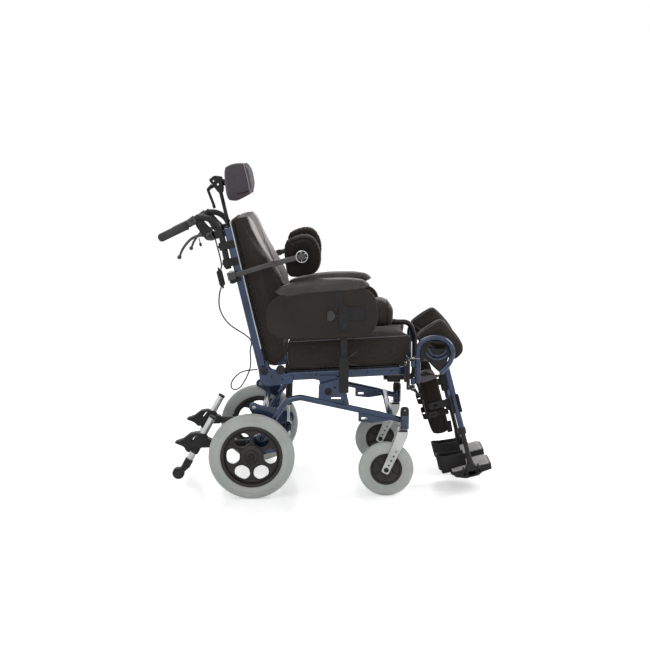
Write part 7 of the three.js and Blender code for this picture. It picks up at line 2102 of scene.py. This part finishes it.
@dataclass
class Headrest(Assembly):
    """The headrest: stem, drilled joint block with its cranked lock lever, and a curved pillow."""

    stem_x: float = -19.0
    rear: float = 12.0
    depth: float = 71.0
    sweep: float = 34.0
    half_width: float = 122.0
    low: float = 616.0
    high: float = 751.0

    def build(self) -> None:
        """Stem, block, lever, pillow, its piping and its folds."""
        stem = rod((self.stem_x, 0, 440), (self.stem_x, 0, 664), 7, 26)
        outline = soften([(-51, 712), (-28, 723), (0, 713), (-2, 694), (-4, 668), (-12, 652), (-26, 656), (-40, 686)],
                         7, 6)
        block = plate(outline, -17, 17, 1.8, [circle(3.6, -35, 704, 18), circle(4.4, -22, 688, 18)])
        arm = rod((-4, 0, 696), (5, 0, 692), 9, 24)
        crank = tube(bent([(-30, 0, 686), (-64, 0, 680), (-55, 0, 614)], 8, 8), 5.2, 18)
        elbow = rod((-64, 0, 676), (-44, 0, 690), 6.6, 22)
        bead = turned([(3, 0), (5.6, 3), (6, 9), (5.4, 14), (2, 16)], (-57, 0, 620), np.array([0.15, 0, -0.99]), 20)
        ball = turned(both_ways([(0.3, -9), (5, -8), (8, -4.5), (9, 0)]), (4, 0, 686), X_WAY, 28)
        collar = turned([(7.2, 440), (9.5, 441), (9.5, 446), (7.2, 447)], (self.stem_x, 0, 92), Z_WAY, 24)
        self.add("headrest_stem_and_block", weld(stem, block, arm, crank, elbow, bead, ball, collar).on(BACK),
                 "headrest_stem", BLACK_STEEL, ["headrest_stem"])
        bolts = [button_bolt((x, -17, z), -Y_WAY, r, 2.5) for x, z, r in ((-12, 706, 4), (-12, 668, 3.4))]
        self.add("headrest_bolts", weld(*bolts).on(BACK), "headrest_stem", DARK_BOLT)
        half = self.depth / 2
        tall = (self.high - self.low) / 2
        middle = (self.rear + half, (self.low + self.high) / 2)

        def shape(x, y, z, u, v, w):
            """Places from the soft and the plain unit box: flat behind, round in front, swept forward at its ends."""
            ahead = smoothstep(-0.2, 1.0, x)
            run = (x + 1) / 2
            front = 2 * half + 4 + self.sweep * y * y - 14 * np.abs(z) ** 3
            lean = 0.15 * z * tall * (1 - 0.6 * run)
            return np.column_stack([self.rear + 2 + run * (front - 4) + lean,
                                    y * (self.half_width - 2) * (1 - 0.04 * ahead),
                                    middle[1] + z * (tall + 1) * (1 - np.where(z > 0, 0.09, 0.05) * ahead ** 2)])

        made = Upholstery(4.0, 4.0, 7.0).stuffed("headrest_upholstery", padding(shape, 0.3, 30).on(BACK))
        turn = np.linspace(0, FULL_TURN, 120, endpoint=False)
        cos, sin = np.cos(turn), np.sin(turn)
        across = np.sign(cos) * np.abs(cos) ** 0.7 * self.half_width
        up = np.sign(sin) * np.abs(sin) ** 0.7 * tall
        ahead = self.rear + 2 * half * 0.8 + self.sweep * 0.84 * (across / self.half_width) ** 2
        deep = self.rear + half + self.sweep * 0.5 * (across / self.half_width) ** 2
        heart = BACK.place(np.column_stack([deep, across * 0.5, middle[1] + up * 0.5]))
        place = BACK.place(np.column_stack([ahead, across * 0.94, middle[1] + up * 0.94]))
        loop = sewn(made, place, heart, 0.4, 3.4, 1.6)
        low = []
        for s in (-1, 1):
            hx = middle[0] + self.sweep * 0.8 + half * np.linspace(-0.75, 0.3, 24)
            inner = BACK.place(np.column_stack([hx * 0.4 + middle[0] * 0.6, np.full(24, s * 60.0),
                                                np.full(24, self.low + 30.0)]))
            outer = BACK.place(np.column_stack([hx, np.full(24, s * 90.0), np.full(24, self.low + 26.0)]))
            low.append(sewn(made, outer, inner, 0.0, 3.0, 1.8))
        # Painted light: the cloth's forward faces are made paler, as lit from the front.
        pale_skin(made, 0.12 * smoothstep(0.35, 0.9, normals_of(made)[:, 0]))
        self.dress(made, "headrest_pad", STRETCH_KNIT, ["headrest_pad"])
        self.add("headrest_piping", woven_loop(loop, 1.9, 8), "headrest_pad", PALE_PIPING)
        self.add("headrest_folds", weld(*[tube(way, 1.3, 8) for way in low]), "headrest_pad", STRAP)


@dataclass
class TrunkSupports(Assembly):
    """The trunk supports: a bar from its clamp to a bright ring, and a plump gathered pad."""

    plane: float = 236.0
    clamp: tuple[float, float] = (-30.0, 364.0)
    ring_x: float = 229.0
    ring_z: float = 375.0

    def pad(self, name: str, side: Side) -> None:
        """The pad: a rolled, gathered rim round a flat middle, with a piped seam near its front."""
        body = f"{name}_trunk_support"
        outline = [(160, 330), (168, 308), (200, 301), (262, 300), (284, 320), (297, 350), (301, 385), (294, 420),
                   (278, 443), (250, 453), (214, 451), (184, 442), (172, 418), (164, 376)]
        plan = anticlockwise(soften(outline, 16, 6))
        made = Upholstery(3.2, 4.0, 5.0).stuffed(f"{name}_trunk_cushion",
                                                 pillow(inset(plan, 1.5), -219.6, -186.5, 16, -1.5, 7, 0.36).on(BACK))
        middle = plan.mean(axis=0)
        x, _, z = BACK.local(places_of(made)).T
        angle = np.arctan2(z - middle[1], x - middle[0])
        far = np.hypot(x - middle[0], z - middle[1])
        rim = smoothstep(38, 56, far) * smoothstep(-0.9, 0.1, np.sin(angle))
        gathers = np.sin(angle * 38 + 2.4 * np.sin(angle * 7)) * 1.2 + 0.6 * np.sin(angle * 61 + 1.3)
        set_points(made, points_of(made) + normals_of(made) * (0.75 * rim * gathers * MM)[:, None])
        loop = middle + (plan - middle) * 0.74
        inner, outer = (BACK.place(at_plane(loop, y)) for y in (-204.0, -212.0))
        sewn(made, outer, inner, 0.3, 4.0, 1.6)
        edge = middle + (plan - middle) * 0.93
        edge = edge[(edge[:, 0] > 214) & (edge[:, 1] > 318)]
        edge = edge[np.argsort(np.arctan2(edge[:, 1] - middle[1], edge[:, 0] - middle[0]))]
        inner, outer = BACK.place(at_plane(edge - (4, 2), -205.0)), BACK.place(at_plane(edge, -213.0))
        trim = seam_places(made, outer, inner, 0.3)
        swap_side(made, side)
        # Painted light: the cloth's upward faces, the rolled top, are made paler, as lit from above.
        pale_skin(made, 0.13 * smoothstep(0.1, 0.9, normals_of(made)[:, 2]))
        self.dress(made, body, DARK_KNIT, [f"{name}_lateral_pad"])
        self.add(f"{name}_trunk_piping", tube(trim, 1.5, 10, Y_WAY).to_side(side), body, PIPING)

    def build(self) -> None:
        """Both supports."""
        y = -self.plane
        cx, cz = self.clamp
        hub = turned(both_ways([(6.3, -14), (15, -14), (16, -13)]), (cx, y, cz), Z_WAY, 36, ring=True)
        way = flowing([(cx, y, cz + 1), (10, y, 366), (80, y, 370.5), (128, y, 372.5), (200, y, 374.5),
                       (self.ring_x, y, self.ring_z)], 40)
        arm = carried(way, rounded(10, 20, 4.4), Y_WAY, np.concatenate([np.full(18, 0.9),
                np.linspace(0.9, 1.06, 22)]), 1.0)
        joint = plate(soften([(118, 361), (136, 361), (136, 384), (118, 384)], 4, 5), y - 6.6, y + 6.6, 1.2)
        hub_end = turned([(0.3, -4), (11, -4), (13.4, -2.5), (14, 6), (11, 8.6), (0.3, 9)],
                         (self.ring_x, y, self.ring_z), -Y_WAY, 32)
        boss = turned([(0.3, 0), (17, 0), (17, 13.4), (0.3, 13.4)], (self.ring_x, -222.6, self.ring_z), -Y_WAY, 36)
        chrome = turned([(19.4, -3), (20.6, -4), (21.8, -3), (22.2, 0), (21.8, 3.4), (19.4, 4), (18.6, 0)],
                        (self.ring_x, -241, self.ring_z), -Y_WAY, 56, ring=True)
        spokes = [rod((self.ring_x + 9 * c, -241, self.ring_z + 9 * s),
                      (self.ring_x + 20 * c, -241, self.ring_z + 20 * s), 1.7, 10)
                  for c, s in ((0, 1), (0.87, -0.5), (0.87, 0.5), (-0.3, -0.95))]
        knob = turned([(6, 0), (11, 2), (12, 8), (10, 12), (5, 14)], (cx, y, cz - 14), -Z_WAY, 28)
        bolt = button_bolt((cx, y, cz + 14), Z_WAY, 9, 4)
        for side in Side:
            self.add_rows(side, BACK, [
                ("*_trunk_boss", weld(boss, knob), "*_trunk_support", BLACK_ABS),
                ("*_trunk_arm", weld(hub, arm, joint, hub_end), "*_trunk_support", GREY_ALLOY, "*_lateral_arm"),
                ("*_trunk_ring", weld(chrome, *spokes, bolt), "*_trunk_support", CHROMED_STEEL)])
            self.pad(side.label, side)


def main() -> None:
    """Builds the chair, piece by piece, and the studio round it."""
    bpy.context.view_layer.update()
    recline = GasStrut(name="recline_strut", head=(332.0, 401.4), foot=(44.0, 405.0), y=RECLINE_PLANE, cylinder=11.0,
                       eye=9.0, eye_width=12.0, length=150.0, rod_tip=30.0)
    for assembly in (Studio(), ReleaseCable(), BaseFrame(), Wheels(), Casters(), AntiTips(), GasStrut(), recline,
                     SeatFrame(), SeatCushion(), BackSupport(), Pommel(), Armrests(), Legrests(), PushHandles(),
                     Headrest(), TrunkSupports()):
        assembly.build()


if __name__ == "__main__":
    main()
